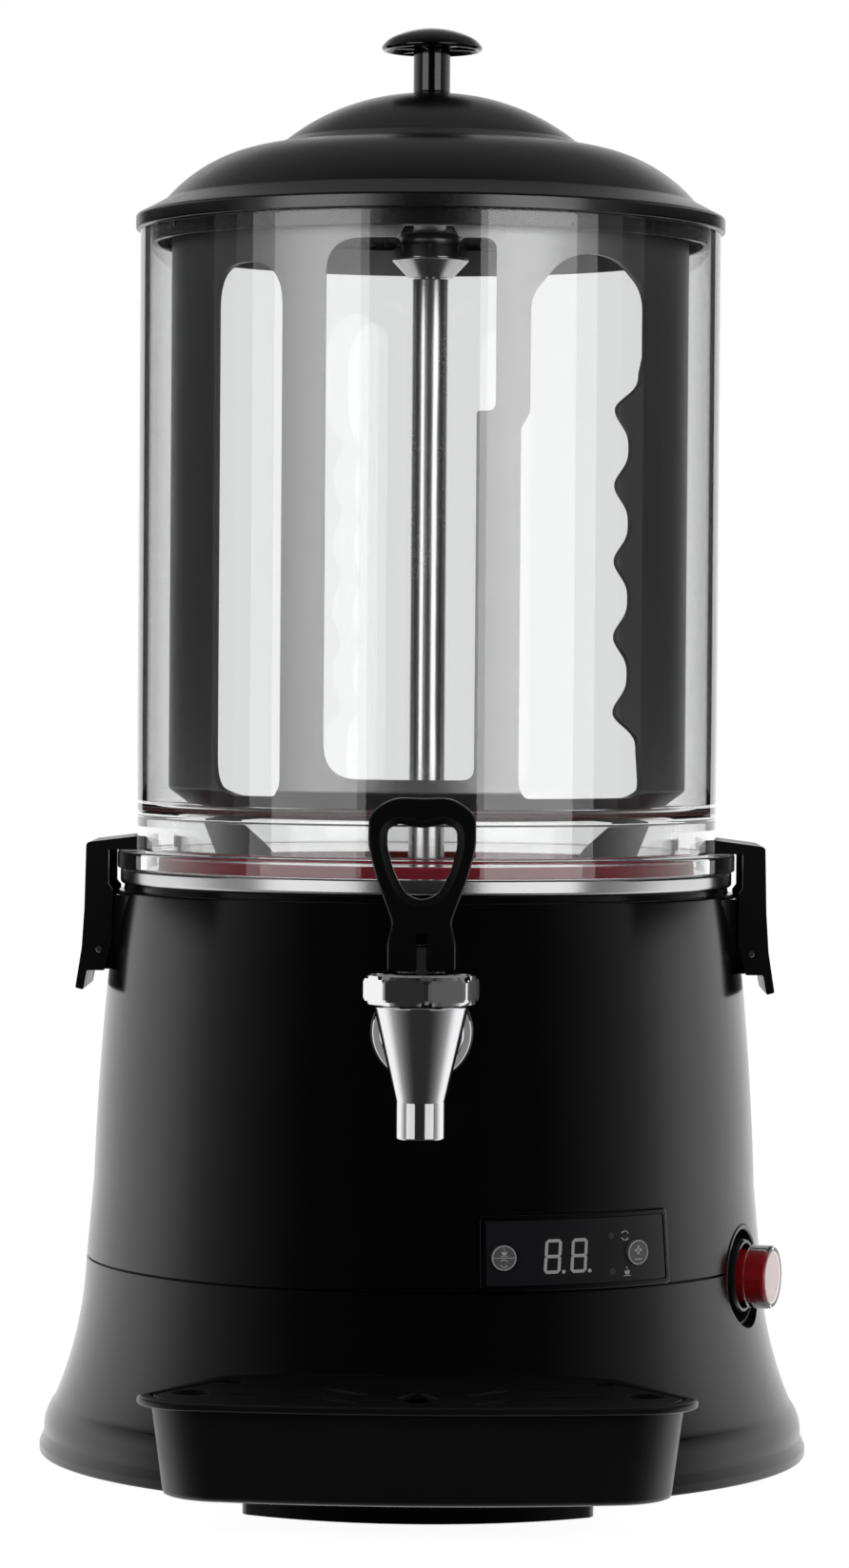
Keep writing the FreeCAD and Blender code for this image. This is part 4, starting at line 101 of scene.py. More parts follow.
def grid(points: Array, wrap_rows: bool = False, wrap_columns: bool = False) -> Skin:
    """A rows by columns by 3 array of points joined by four-sided faces.

    Args:
        points: the array.
        wrap_rows: whether the last row joins the first.
        wrap_columns: whether the last column joins the first.

    Returns:
        The skin.
    """
    rows, columns = points.shape[:2]
    index = np.arange(rows * columns).reshape(rows, columns)
    if wrap_rows:
        index = np.vstack([index, index[:1]])
    if wrap_columns:
        index = np.hstack([index, index[:, :1]])
    corners = (index[:-1, :-1], index[:-1, 1:], index[1:, 1:], index[1:, :-1])
    return Skin(points.reshape(-1, 3), [np.stack(corners, axis=-1).reshape(-1, 4)])


def revolved(profile: Array, steps: int = 256, closed: bool = True) -> Skin:
    """A profile turned about Z: the point (r, z) at angle a goes to (r cos a, r sin a, z).

    Args:
        profile: n by 2 array of radius and height.
        steps: divisions round the axis.
        closed: whether the profile's end joins its start.

    Returns:
        The skin.
    """
    angle = np.linspace(0, 2 * math.pi, steps, endpoint=False)
    radius = profile[:, :1]
    height = np.repeat(profile[:, 1:], steps, axis=1)
    points = np.stack([radius * np.cos(angle), radius * np.sin(angle), height], axis=-1)
    return grid(points, wrap_rows=closed, wrap_columns=True)


def arc(start: tuple, end: tuple, radius: float, side: int, steps: int = 16) -> Array:
    """Points on a circle from start to end: the centre plus the radius at evenly spaced angles.

    Args:
        start: the first point, left out of the result.
        end: the last point, which the result ends with.
        radius: the circle's radius.
        side: 1 where the centre is to the left of the way from start to end, -1 to its right.
        steps: how many points.

    Returns:
        A steps by 2 array.
    """
    first, last = np.array(start, float), np.array(end, float)
    chord = last - first
    half = np.linalg.norm(chord) / 2
    normal = np.array([-chord[1], chord[0]]) / (2 * half)
    centre = (first + last) / 2 + normal * side * math.sqrt(max(radius**2 - half**2, 0))
    opening = 2 * math.asin(min(half / radius, 1.0)) * side
    begin = math.atan2(*(first - centre)[::-1])
    angle = begin + np.linspace(0, opening, steps + 1)[1:]
    return centre + radius * np.stack([np.cos(angle), np.sin(angle)], axis=-1)


def rounded(corners: list, steps: int = 5, closed: bool = True) -> Array:
    """An outline with round corners. A corner (x, y, r) becomes (1-s)^2 A + 2s(1-s) P + s^2 B.

    A and B lie on the two sides at the length where a circle of radius r would touch them. An array
    among the corners is taken as it is.

    Args:
        corners: tuples (x, y), tuples (x, y, r) and n by 2 arrays.
        steps: divisions of each round corner.
        closed: whether the outline's end joins its start.

    Returns:
        The outline as an n by 2 array.
    """
    plain: list[tuple[float, float, float]] = []
    for corner in corners:
        if isinstance(corner, np.ndarray):
            plain += [(x, y, 0.0) for x, y in corner]
        else:
            plain.append((corner[0], corner[1], corner[2] if len(corner) > 2 else 0.0))
    count = len(plain)
    share = np.linspace(0, 1, steps + 1)[:, None]
    result = []
    for index, (x, y, radius) in enumerate(plain):
        here = np.array([x, y])
        if radius <= 0 or (not closed and index in (0, count - 1)):
            result.append(here[None])
            continue
        to_last = np.array(plain[index - 1][:2]) - here
        to_next = np.array(plain[(index + 1) % count][:2]) - here
        reach_last, reach_next = np.linalg.norm(to_last), np.linalg.norm(to_next)
        to_last, to_next = to_last / reach_last, to_next / reach_next
        opening = math.acos(np.clip(to_last @ to_next, -1, 1))
        length = min(radius / math.tan(opening / 2), reach_last * 0.49, reach_next * 0.49)
        first, last = here + to_last * length, here + to_next * length
        result.append((1 - share) ** 2 * first + 2 * share * (1 - share) * here + share**2 * last)
    return np.vstack(result)


def inset(outline: Array, amount: float) -> Array:
    """A counter-clockwise outline moved inwards: each point goes along the mean of its sides' normals.

    Args:
        outline: n by 2 array.
        amount: how far, or outwards if negative.

    Returns:
        The moved outline.
    """
    side = np.roll(outline, -1, axis=0) - outline
    side /= np.maximum(np.linalg.norm(side, axis=1, keepdims=True), 1e-9)
    normal = np.stack([-side[:, 1], side[:, 0]], axis=-1)
    before = np.roll(normal, 1, axis=0)
    share = 1 + np.sum(normal * before, axis=1, keepdims=True)
    return outline + amount * (normal + before) / np.maximum(share, 0.4)


def lofted(rings: list[Array], caps: bool = True) -> Skin:
    """Closed rings of the same number of points joined in order, with flat ends if asked.

    Args:
        rings: n by 3 arrays.
        caps: whether the first and the last ring are filled.

    Returns:
        The skin.
    """
    skin = grid(np.stack(rings), wrap_columns=True)
    if caps:
        count = len(rings[0])
        last = np.arange(count)[None] + count * (len(rings) - 1)
        skin.faces += [np.arange(count)[None, ::-1], last]
    return skin


def at_level(outline: Array, level: float) -> Array:
    """A flat outline as a ring of points at one height."""
    return np.column_stack([outline, np.full(len(outline), level)])


def plate(outline: Array, low: float, high: float, edge: float = 0.5, steps: int = 3) -> Skin:
    """A flat plate with rounded edges: its outline is drawn in by e(1 - sin t) as it rises e(1 - cos t).

    Args:
        outline: counter-clockwise n by 2 array.
        low: the height of its lower face.
        high: the height of its upper face.
        edge: the radius e of its edges.
        steps: divisions of each edge.

    Returns:
        The closed skin.
    """
    turns = np.linspace(0, math.pi / 2, steps + 1)
    bend = [(edge * (1 - math.sin(turn)), edge * (1 - math.cos(turn))) for turn in turns]
    rings = [at_level(inset(outline, draw), low + rise) for draw, rise in bend]
    tops = [at_level(inset(outline, rise), high - draw) for draw, rise in bend]
    return lofted(rings + tops)


def upright(skin: Skin) -> Skin:
    """A skin drawn in x and y with its thickness in z, stood up: (x, y, z) goes to (x, -z, y)."""
    return skin.placed(np.array([[1.0, 0, 0, 0], [0, 0, -1.0, 0], [0, 1.0, 0, 0]]))


def outward(azimuth: float, level: float) -> Array:
    """The placing that turns Z to point out of the housing, with y up and x to the right.

    Args:
        azimuth: the angle from the tap.
        level: the height of its axis.

    Returns:
        A 3 by 4 array.
    """
    turn = math.radians(azimuth)
    sine, cosine = math.sin(turn), math.cos(turn)
    return np.array([[cosine, 0, sine, 0], [sine, 0, -cosine, 0], [0, 1, 0, level]])


def turned(azimuth: float) -> Array:
    """The placing that turns about the bowl's axis, from the tap's side to an azimuth.

    Args:
        azimuth: the angle from the tap.

    Returns:
        A 3 by 4 array.
    """
    turn = math.radians(azimuth)
    sine, cosine = math.sin(turn), math.cos(turn)
    return np.array([[cosine, -sine, 0, 0], [sine, cosine, 0, 0], [0, 0, 1.0, 0]])


def rectangle(left: float, right: float, low: float, high: float) -> Array:
    """The corners of a rectangle, counter-clockwise from the lower left."""
    return np.array([(left, low), (right, low), (right, high), (left, high)], float)


def circle(radius: float, steps: int) -> Array:
    """Points on a circle round the origin: (r cos a, r sin a) at evenly spaced angles a."""
    angle = np.linspace(0, 2 * math.pi, steps, endpoint=False)
    return radius * np.column_stack([np.cos(angle), np.sin(angle)])


def level_ring(radius: Array, angle: Array, level: float) -> Array:
    """Points at one height: (r cos a, r sin a, z) for each angle a and its own radius r."""
    return at_level(np.column_stack([radius * np.cos(angle), radius * np.sin(angle)]), level)


def collar(inner: float, outer: float, low: float, high: float, edges: tuple, steps: int) -> Skin:
    """A ring turned about Z, whose section is a rectangle with round corners.

    Args:
        inner: its inner radius.
        outer: its outer radius.
        low: the height of its lower face.
        high: the height of its upper face.
        edges: the radii of the corners, counter-clockwise from the lower inner one.
        steps: divisions round the axis.

    Returns:
        The closed skin.
    """
    corners = [(*corner, edge) for corner, edge in zip(rectangle(inner, outer, low, high), edges)]
    return revolved(rounded(corners), steps)


# ---------------------------------------------------------------- pieces


def mesh_of(name: str, skin: Skin) -> bpy.types.Mesh:
    """A Blender mesh of a skin, in metres, with doubled points merged and faces pointing outwards.

    Args:
        name: the mesh's name.
        skin: the skin.

    Returns:
        The mesh.
    """
    mesh = bpy.data.meshes.new(name)
    mesh.from_pydata((skin.points * MM).tolist(), [], [f for face in skin.faces for f in face.tolist()])
    work = bmesh.new()
    work.from_mesh(mesh)
    bmesh.ops.remove_doubles(work, verts=work.verts, dist=MERGE)
    bmesh.ops.dissolve_degenerate(work, edges=work.edges, dist=SLIVER)
    bmesh.ops.recalc_face_normals(work, faces=work.faces)
    work.to_mesh(mesh)
    work.free()
    return mesh


def new_object(name: str, data: bpy.types.ID) -> bpy.types.Object:
    """An object in the scene, at the origin.

    Args:
        name: its name.
        data: its mesh, lamp or camera.

    Returns:
        The object.
    """
    item = bpy.data.objects.new(name, data)
    bpy.context.collection.objects.link(item)
    return item


def apply_modifiers(item: bpy.types.Object) -> None:
    """Put the result of an object's modifiers into its mesh.

    Args:
        item: the object.
    """
    graph = bpy.context.evaluated_depsgraph_get()
    mesh = bpy.data.meshes.new_from_object(item.evaluated_get(graph))
    item.modifiers.clear()
    item.data = mesh


def shade(item: bpy.types.Object, sharp: float) -> None:
    """Shade smooth up to an angle, with normals weighted by area so that large faces stay true.

    Args:
        item: the object.
        sharp: the angle in degrees past which an edge is a crease.
    """
    mesh = item.data
    mesh.polygons.foreach_set("use_smooth", np.ones(len(mesh.polygons), bool))
    mesh.set_sharp_from_angle(angle=math.radians(sharp))
    step = item.modifiers.new("normals", "WEIGHTED_NORMAL")
    step.mode = "FACE_AREA"
    step.keep_sharp = True
    apply_modifiers(item)


def boolean(item: bpy.types.Object, skin: Skin, operation: str) -> None:
    """Cut a closed skin out of an object, or join it on.

    Args:
        item: the object that is changed.
        skin: the closed skin.
        operation: DIFFERENCE to cut it out, UNION to join it on.
    """
    tool = new_object("tool", mesh_of("tool", skin))
    step = item.modifiers.new("shape", "BOOLEAN")
    step.operation = operation
    step.solver = "EXACT"
    step.object = tool
    apply_modifiers(item)
    bpy.data.objects.remove(tool)


@dataclass
class Trim:
    """What is done to a piece's mesh after its surface is made."""

    cuts: list[Skin] = field(default_factory=list)
    adds: list[Skin] = field(default_factory=list)
    bevel: float = 0.0
    sharp: float = 32.0


def make_piece(
    name: str,
    skin: Skin,
    finish: str,
    body: str,
    nodes: tuple[str, ...] = (),
    trim: Trim | None = None,
) -> bpy.types.Object:
    """A finished piece: its mesh, finish and body, and the CAD nodes that it stands for.

    Args:
        name: the piece's name.
        skin: its surface.
        finish: the name of its material.
        body: the body that it rides on.
        nodes: CAD nodes that it replaces.
        trim: cuts, joins and bevels.

    Returns:
        The object.
    """
    trim = trim or Trim()
    item = new_object(name, mesh_of(name, skin))
    for addition in trim.adds:
        boolean(item, addition, "UNION")
    for cut in trim.cuts:
        boolean(item, cut, "DIFFERENCE")
    if trim.bevel:
        step = item.modifiers.new("edges", "BEVEL")
        step.width = trim.bevel * MM
        step.segments = 2
        step.limit_method = "ANGLE"
        step.angle_limit = math.radians(BEVEL_ANGLE)
        apply_modifiers(item)
    shade(item, trim.sharp)
    item.data.materials.clear()
    item.data.materials.append(bpy.data.materials[finish])
    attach(item, body)
    if nodes:
        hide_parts(*nodes)
    LOG.info("%s: %d faces", name, len(item.data.polygons))
    return item


# ---------------------------------------------------------------- finishes


class Texture(Enum):
    """How the surface of a finish varies."""

    MOULDED = "moulded"
    TURNED = "turned"
    BRUSHED = "brushed"


def new_group(
    name: str, inputs: dict[str, tuple[str, object]], outputs: dict[str, str]
) -> bpy.types.NodeTree:
    """An empty shader node group with named sockets.

    Args:
        name: the group's name.
        inputs: socket name to its type and default.
        outputs: socket name to its type.

    Returns:
        The group.
    """
    tree = bpy.data.node_groups.new(name, "ShaderNodeTree")
    for label, (kind, default) in inputs.items():
        tree.interface.new_socket(label, in_out="INPUT", socket_type=kind).default_value = default
    for label, kind in outputs.items():
        tree.interface.new_socket(label, in_out="OUTPUT", socket_type=kind)
    return tree


def add_node(
    tree: bpy.types.NodeTree, kind: str, links: dict | None = None, **values: object
) -> bpy.types.Node:
    """A node with its properties set and its inputs linked or filled.

    Args:
        tree: the node tree.
        kind: the node's type.
        links: input name or number to a socket or a plain value.
        values: the node's properties.

    Returns:
        The node.
    """
    node = tree.nodes.new(kind)
    for label, value in values.items():
        setattr(node, label, value)
    for label, source in (links or {}).items():
        if isinstance(source, bpy.types.NodeSocket):
            tree.links.new(source, node.inputs[label])
        else:
            node.inputs[label].default_value = source
    return node


def maths(
    tree: bpy.types.NodeTree, operation: str, *values: object, clamp: bool = False
) -> bpy.types.NodeSocket:
    """The result of a Math node.

    Args:
        tree: the node tree.
        operation: what it works out.
        values: up to three sockets or plain numbers.
        clamp: whether the result is held between 0 and 1.

    Returns:
        The result's socket.
    """
    links = dict(enumerate(values))
    return add_node(tree, "ShaderNodeMath", links, operation=operation, use_clamp=clamp).outputs[0]


def eased(tree: bpy.types.NodeTree, value: bpy.types.NodeSocket, span: tuple, ends: tuple,
          kind: str = "SMOOTHSTEP") -> bpy.types.NodeSocket:
    """A value carried from the span that it runs over to two end values, and held past them.

    Args:
        tree: the node tree.
        value: the value's socket.
        span: where it starts and ends.
        ends: what it becomes there.
        kind: how it goes from one to the other.

    Returns:
        The result's socket.
    """
    links = dict(enumerate((value, *span, *ends)))
    return add_node(tree, "ShaderNodeMapRange", links, interpolation_type=kind).outputs[0]


def scaled(
    tree: bpy.types.NodeTree, color: bpy.types.NodeSocket, level: bpy.types.NodeSocket
) -> bpy.types.NodeSocket:
    """A colour made lighter or darker: each channel times a level."""
    links = {0: color, "Scale": level}
    return add_node(tree, "ShaderNodeVectorMath", links, operation="SCALE").outputs[0]


def surface_group(texture: Texture) -> bpy.types.NodeTree:
    """The shared pattern of a texture, which puts out a colour, a roughness and a height.

    MOULDED is a fine even grain with faint handling marks. TURNED has fine rings round Z, and BRUSHED
    has fine lines round Z that break up, both with smudges. The grain g lightens the colour by the
    factor 1 + v(g - 1/2), where v is the variation, and the smudges add the marks to the roughness.

    Args:
        texture: which pattern.

    Returns:
        The group.
    """
    name = f"{texture.value}_surface"
    if name in bpy.data.node_groups:
        return bpy.data.node_groups[name]
    inputs = {
        "Color": ("NodeSocketColor", (0.5, 0.5, 0.5, 1.0)),
        "Roughness": ("NodeSocketFloat", 0.3),
        "Scale": ("NodeSocketFloat", 900.0),
        "Variation": ("NodeSocketFloat", 0.1),
        "Marks": ("NodeSocketFloat", 0.05),
    }
    outputs = {"Color": "NodeSocketColor", "Roughness": "NodeSocketFloat", "Height": "NodeSocketFloat"}
    tree = new_group(name, inputs, outputs)
    given = tree.nodes.new("NodeGroupInput").outputs
    place = add_node(tree, "ShaderNodeTexCoord").outputs["Object"]
    where = place
    if texture is not Texture.MOULDED:
        x, y, z = add_node(tree, "ShaderNodeSeparateXYZ", {0: place}).outputs
        flat = add_node(tree, "ShaderNodeCombineXYZ", {0: x, 1: y}).outputs[0]
        radius = add_node(tree, "ShaderNodeVectorMath", {0: flat}, operation="LENGTH").outputs["Value"]
        stretch = 0.02 if texture is Texture.BRUSHED else 0.0002
        swept = maths(tree, "MULTIPLY", maths(tree, "ARCTAN2", y, x), stretch)
        where = add_node(tree, "ShaderNodeCombineXYZ", {0: swept, 1: radius, 2: z}).outputs[0]
    fine = {"Vector": where, "Scale": given["Scale"], "Detail": 3.0, "Roughness": 0.6}
    grain = add_node(tree, "ShaderNodeTexNoise", fine).outputs[0]
    broad = {"Vector": place, "Scale": 22.0, "Detail": 5.0, "Roughness": 0.62}
    smudge = add_node(tree, "ShaderNodeTexNoise", broad).outputs[0]
    mask = eased(tree, smudge, (0.42, 0.68), (0.0, 1.0))
    varied = maths(tree, "MULTIPLY", maths(tree, "SUBTRACT", grain, 0.5), given["Variation"])
    tinted = scaled(tree, given["Color"], maths(tree, "ADD", varied, 1.0))
    worn = maths(tree, "MULTIPLY", mask, given["Marks"])
    rough = maths(tree, "ADD", given["Roughness"], worn)
    spread = maths(tree, "MULTIPLY_ADD", varied, 0.25, rough)
    add_node(tree, "NodeGroupOutput", {"Color": tinted, "Roughness": spread, "Height": grain})
    return tree


@dataclass(frozen=True)
class Finish:
    """One material: its colour and gloss, and how its surface varies.

    scale is the grain's fineness, variation how much it lightens the colour, marks how much smudges
    dull it, and bump how deep it is. edge is the share of its colour that clear plastic keeps where it
    is seen edge-on.
    """

    name: str
    color: tuple[float, float, float]
    roughness: float
    metallic: float = 0.0
    texture: Texture = Texture.MOULDED
    scale: float = 900.0
    variation: float = 0.25
    marks: float = 0.05
    bump: float = 0.04
    bump_depth: float = 0.0002
    coat: float = 0.0
    coat_roughness: float = 0.04
    ior: float = 1.5
    transmission: float = 0.0
    specular: float = 0.5
    edge: float = 1.0
    passing: float = 0.9

    def build(self) -> bpy.types.Material:
        """Make the material's nodes: pattern to colour and roughness, and its height to a fine bump.

        Returns:
            The material.
        """
        material = bpy.data.materials.new(self.name)
        material.use_nodes = True
        tree = material.node_tree
        shader = tree.nodes["Principled BSDF"]
        plain = {
            "Metallic": self.metallic,
            "IOR": self.ior,
            "Coat Weight": self.coat,
            "Coat Roughness": self.coat_roughness,
            "Transmission Weight": self.transmission,
            "Specular IOR Level": self.specular,
        }
        for label, value in plain.items():
            shader.inputs[label].default_value = value
        given = {
            "Color": (*self.color, 1.0),
            "Roughness": self.roughness,
            "Scale": self.scale,
            "Variation": self.variation,
            "Marks": self.marks,
        }
        pattern = add_node(tree, "ShaderNodeGroup", given, node_tree=surface_group(self.texture)).outputs
        color = pattern["Color"]
        if self.edge < 1.0:
            facing = add_node(tree, "ShaderNodeLayerWeight", {"Blend": 0.5}).outputs["Facing"]
            color = scaled(tree, color, eased(tree, facing, (0.72, 0.97), (1.0, self.edge), "LINEAR"))
        tree.links.new(color, shader.inputs["Base Color"])
        tree.links.new(pattern["Roughness"], shader.inputs["Roughness"])
        relief = {"Strength": self.bump, "Distance": self.bump_depth, "Height": pattern["Height"]}
        bump = add_node(tree, "ShaderNodeBump", relief).outputs[0]
        tree.links.new(bump, shader.inputs["Normal"])
        if self.transmission:
            tree.links.new(self.clearing(tree), shader.inputs["Alpha"])
        return material

    def clearing(self, tree: bpy.types.NodeTree) -> bpy.types.NodeSocket:
        """The alpha of clear plastic: it lets shadow rays and rays that were reflected before pass through.

        Args:
            tree: the material's nodes.

        Returns:
            1 for plain rays, and 1 less the passing share for the others.
        """
        path = add_node(tree, "ShaderNodeLightPath").outputs
        later = maths(tree, "MAXIMUM", path["Is Shadow Ray"], path["Glossy Depth"], clamp=True)
        return maths(tree, "MULTIPLY_ADD", later, -self.passing, 1.0)


FINISHES = (
    Finish("shell_gloss_black", (0.0016, 0.0016, 0.0017), 0.17, scale=700, bump=0.03, marks=0.05),
    Finish("lid_black", (0.004, 0.004, 0.0042), 0.24, scale=700, bump=0.03, marks=0.06),
    Finish("latch_black", (0.013, 0.013, 0.0135), 0.32, scale=1500, bump=0.12, marks=0.06),
    Finish("satin_black", (0.006, 0.006, 0.0063), 0.3, scale=1500, bump=0.1, marks=0.06),
    Finish("knob_black", (0.003, 0.003, 0.0032), 0.1, scale=1200, bump=0.03, marks=0.05),
    Finish("tray_black", (0.009, 0.009, 0.0093), 0.34, scale=1200, bump=0.1, marks=0.08),
    Finish("stirrer_black", (0.006, 0.006, 0.0063), 0.12, scale=1300, bump=0.04, marks=0.04, ior=1.25),
    Finish("dark_rubber", (0.012, 0.012, 0.012), 0.75, scale=2200, bump=0.3),
    Finish(
        "bowl_clear", (0.892, 0.894, 0.896), 0.0, variation=0.0, marks=0.0, bump=0.0, ior=1.45,
        transmission=1.0, specular=0.2, edge=0.82,
    ),
    Finish(
        "cap_clear", (0.98, 0.94, 0.94), 0.03, variation=0.0, marks=0.02, bump=0.0, ior=1.45,
        transmission=1.0,
    ),
    Finish("gasket_red", (0.3, 0.014, 0.03), 0.45, scale=1500, bump=0.15, variation=0.2),
    Finish("switch_red", (0.66, 0.008, 0.014), 0.16, coat=0.6, scale=600, bump=0.03, variation=0.15),
    Finish("steel_ring", (0.62, 0.62, 0.625), 0.2, 1.0, Texture.BRUSHED, 2600, bump=0.06, variation=0.12),
    Finish("steel_turned", (0.58, 0.58, 0.585), 0.24, 1.0, Texture.TURNED, 2400, bump=0.08, variation=0.12),
    Finish("chrome", (0.74, 0.74, 0.75), 0.13, 1.0, scale=500, bump=0.02, variation=0.06, marks=0.04),
    Finish("zinc", (0.45, 0.45, 0.46), 0.36, 1.0, scale=1400, bump=0.15, variation=0.3),
    Finish("motor_grey", (0.05, 0.052, 0.055), 0.45, scale=1400, bump=0.25, variation=0.3),
    Finish("board_green", (0.01, 0.07, 0.03), 0.4, scale=1600, bump=0.1, variation=0.5),
    Finish("panel_gloss", (0.0016, 0.0016, 0.0018), 0.07, coat=0.3, scale=500, bump=0.01, marks=0.04),
    Finish("display_dark", (0.02, 0.02, 0.022), 0.25, scale=900, bump=0.02),
    Finish("segment_grey", (0.74, 0.74, 0.74), 0.4, scale=1600, variation=0.2, bump=0.05),
    Finish("print_grey", (0.7, 0.7, 0.7), 0.5, scale=1600, variation=0.3, bump=0.05),
    Finish("key_grey", (0.19, 0.19, 0.192), 0.35, scale=1600, variation=0.4, bump=0.1),
    Finish("lamp_lens", (0.07, 0.068, 0.066), 0.2, scale=900, variation=0.2, bump=0.02),
)


# ---------------------------------------------------------------- studio


def seen_plainly(tree: bpy.types.NodeTree) -> bpy.types.NodeSocket:
    """1 for rays from the camera, straight or through glass, and 0 once they have been reflected.

    Args:
        tree: the nodes of a material or the world.

    Returns:
        The value's socket.
    """
    path = add_node(tree, "ShaderNodeLightPath").outputs
    seen = maths(tree, "MAXIMUM", path["Is Camera Ray"], path["Is Transmission Ray"])
    for depth in ("Glossy Depth", "Diffuse Depth"):
        seen = maths(tree, "MULTIPLY", seen, maths(tree, "LESS_THAN", path[depth], 0.5))
    return seen


def dull(name: str, grey: float) -> bpy.types.Material:
    """A grey material with no shine.

    Args:
        name: its name.
        grey: its brightness.

    Returns:
        The material.
    """
    material = bpy.data.materials.new(name)
    material.use_nodes = True
    shader = material.node_tree.nodes["Principled BSDF"]
    shader.inputs["Base Color"].default_value = (grey, grey, grey, 1)
    shader.inputs["Roughness"].default_value = 1.0
    shader.inputs["Specular IOR Level"].default_value = 0.0
    return material


@dataclass(frozen=True)
class Strips:
    """A tall lamp on each side that lights only the pieces named, with each side's brightness."""

    name: str
    pieces: tuple[str, ...]
    left: float
    right: float
    blockers: tuple[str, ...] = ()


STRIPS = (
    Strips("bowl", ("clear_bowl",), 2.5, 3.2),
    Strips("cage", ("stirrer_cage_wall", "stirrer_arms"), 12.5, 19.0),
    Strips("metal", ("steel_column", "hub_satin_cone", "hub_chrome_band"), 2.5, 2.5, ("lid_dome",)),
    Strips("lid", ("lid_dome",), 4.0, 4.0),
    Strips("ring", ("deck_ring",), 1.2, 1.2),
    Strips("knob", ("lid_knob_cap",), 2.8, 2.8),
    Strips("tap", ("tap_chrome_body", "tap_chrome_disc"), 0.8, 0.8),
)


@dataclass
class Studio:
    """The camera, the floor, the world and the lamps, in metres but for the cards."""

    distance: float = 2.115
    height: float = 0.315
    azimuth: float = 0.5
    aim_level: float = 0.2719
    aim_across: float = -0.0009
    roll: float = 0.42
    lens: float = 120.1
    floor_half: float = 14.0
    floor_glow: float = 0.95
    card_radius: float = 400.0
    card_levels: tuple[float, float] = (250.0, 548.0)
    card_span: tuple[float, float] = (70.0, 138.0)
    strip_azimuths: tuple[float, float] = (-41.0, 38.0)
    strip_level: float = 0.42
    strip_size: tuple[float, float] = (0.86, 1.1)

    def build(self) -> None:
        """Make the camera, the floor, the cards and the world; the lamps are made once the pieces are."""
        bpy.context.scene.view_settings.view_transform = "Standard"
        self.camera()
        self.floor()
        self.cards()
        self.world()

    def camera(self) -> None:
        """The camera, level with the bowl's foot and turned a little to the right of the tap."""
        data = bpy.data.cameras.new("camera")
        data.lens = self.lens
        data.clip_start = 0.05
        data.clip_end = 60
        item = new_object("camera", data)
        turn = math.radians(self.azimuth)
        place = np.array([math.sin(turn) * self.distance, -math.cos(turn) * self.distance, self.height])
        aim = np.array([self.aim_across, 0.0, self.aim_level])
        back = (place - aim) / np.linalg.norm(place - aim)
        right = np.cross([0, 0, 1], back)
        right /= np.linalg.norm(right)
        up = np.cross(back, right)
        roll = math.radians(self.roll)
        across = right * math.cos(roll) + up * math.sin(roll)
        upwards = -right * math.sin(roll) + up * math.cos(roll)
        rows = np.column_stack([across, upwards, back, place]).tolist()
        item.matrix_world = Matrix([*rows, [0, 0, 0, 1]])
        bpy.context.scene.camera = item

    def floor(self) -> None:
        """A wide pale floor that is white to the camera and keeps a soft shadow."""
        mesh = bpy.data.meshes.new("floor")
        half = self.floor_half
        corners = at_level(rectangle(-half, half, -half, half), 0.0)
        mesh.from_pydata(corners.tolist(), [], [(0, 1, 2, 3)])
        item = new_object("floor", mesh)
        material = dull("floor_white", 0.3)
        tree = material.node_tree
        shader = tree.nodes["Principled BSDF"]
        shader.inputs["Emission Color"].default_value = (1, 1, 1, 1)
        glow = maths(tree, "MULTIPLY", seen_plainly(tree), self.floor_glow)
        tree.links.new(glow, shader.inputs["Emission Strength"])
        mesh.materials.append(material)
        item.visible_glossy = False

    def cards(self) -> None:
        """Two dark curved cards beside the bowl, seen only in reflections, which keep its sides dark."""
        material = dull("card_dark", 0.01)
        turn = np.radians(np.linspace(*self.card_span, 24))
        for name, side in (("card_left", -1), ("card_right", 1)):
            line = self.card_radius * np.column_stack([np.sin(turn) * side, -np.cos(turn)])
            rings = np.stack([at_level(line, level) for level in self.card_levels])
            item = new_object(name, mesh_of(name, grid(rings)))
            item.data.materials.append(material)
            for kind in ("camera", "diffuse", "transmission", "shadow"):
                setattr(item, f"visible_{kind}", False)

    def world(self) -> None:
        """A white room that is dark on the camera's side, and plain white where it is seen directly.

        The brightness is a ramp along y, from the camera's side to the far side, times a fall to a
        fifth from the walls up to the ceiling.
        """
        world = bpy.data.worlds.new("studio")
        bpy.context.scene.world = world
        world.use_nodes = True
        tree = world.node_tree
        place = add_node(tree, "ShaderNodeTexCoord").outputs["Generated"]
        split = add_node(tree, "ShaderNodeSeparateXYZ", {0: place}).outputs
        half = maths(tree, "MULTIPLY_ADD", split[1], 0.5, 0.5)
        ramp = add_node(tree, "ShaderNodeValToRGB", {0: half})
        stops = ((0.0, 0.02), (0.12, 0.03), (0.2, 0.09), (0.3, 0.19), (0.43, 0.4), (0.54, 0.85), (0.63, 1.1))
        while len(ramp.color_ramp.elements) < len(stops):
            ramp.color_ramp.elements.new(0.5)
        for element, (position, level) in zip(ramp.color_ramp.elements, stops):
            element.position = position
            element.color = (level, level, level, 1)
        level = maths(tree, "MULTIPLY", ramp.outputs[0], eased(tree, split[2], (0.18, 0.64), (1.0, 0.2)))
        strength = {0: seen_plainly(tree), 2: level, 3: 1.0}
        mix = add_node(tree, "ShaderNodeMix", strength, data_type="FLOAT").outputs[0]
        tree.links.new(mix, tree.nodes["Background"].inputs["Strength"])
        tree.nodes["Background"].inputs["Color"].default_value = (1, 1, 1, 1)

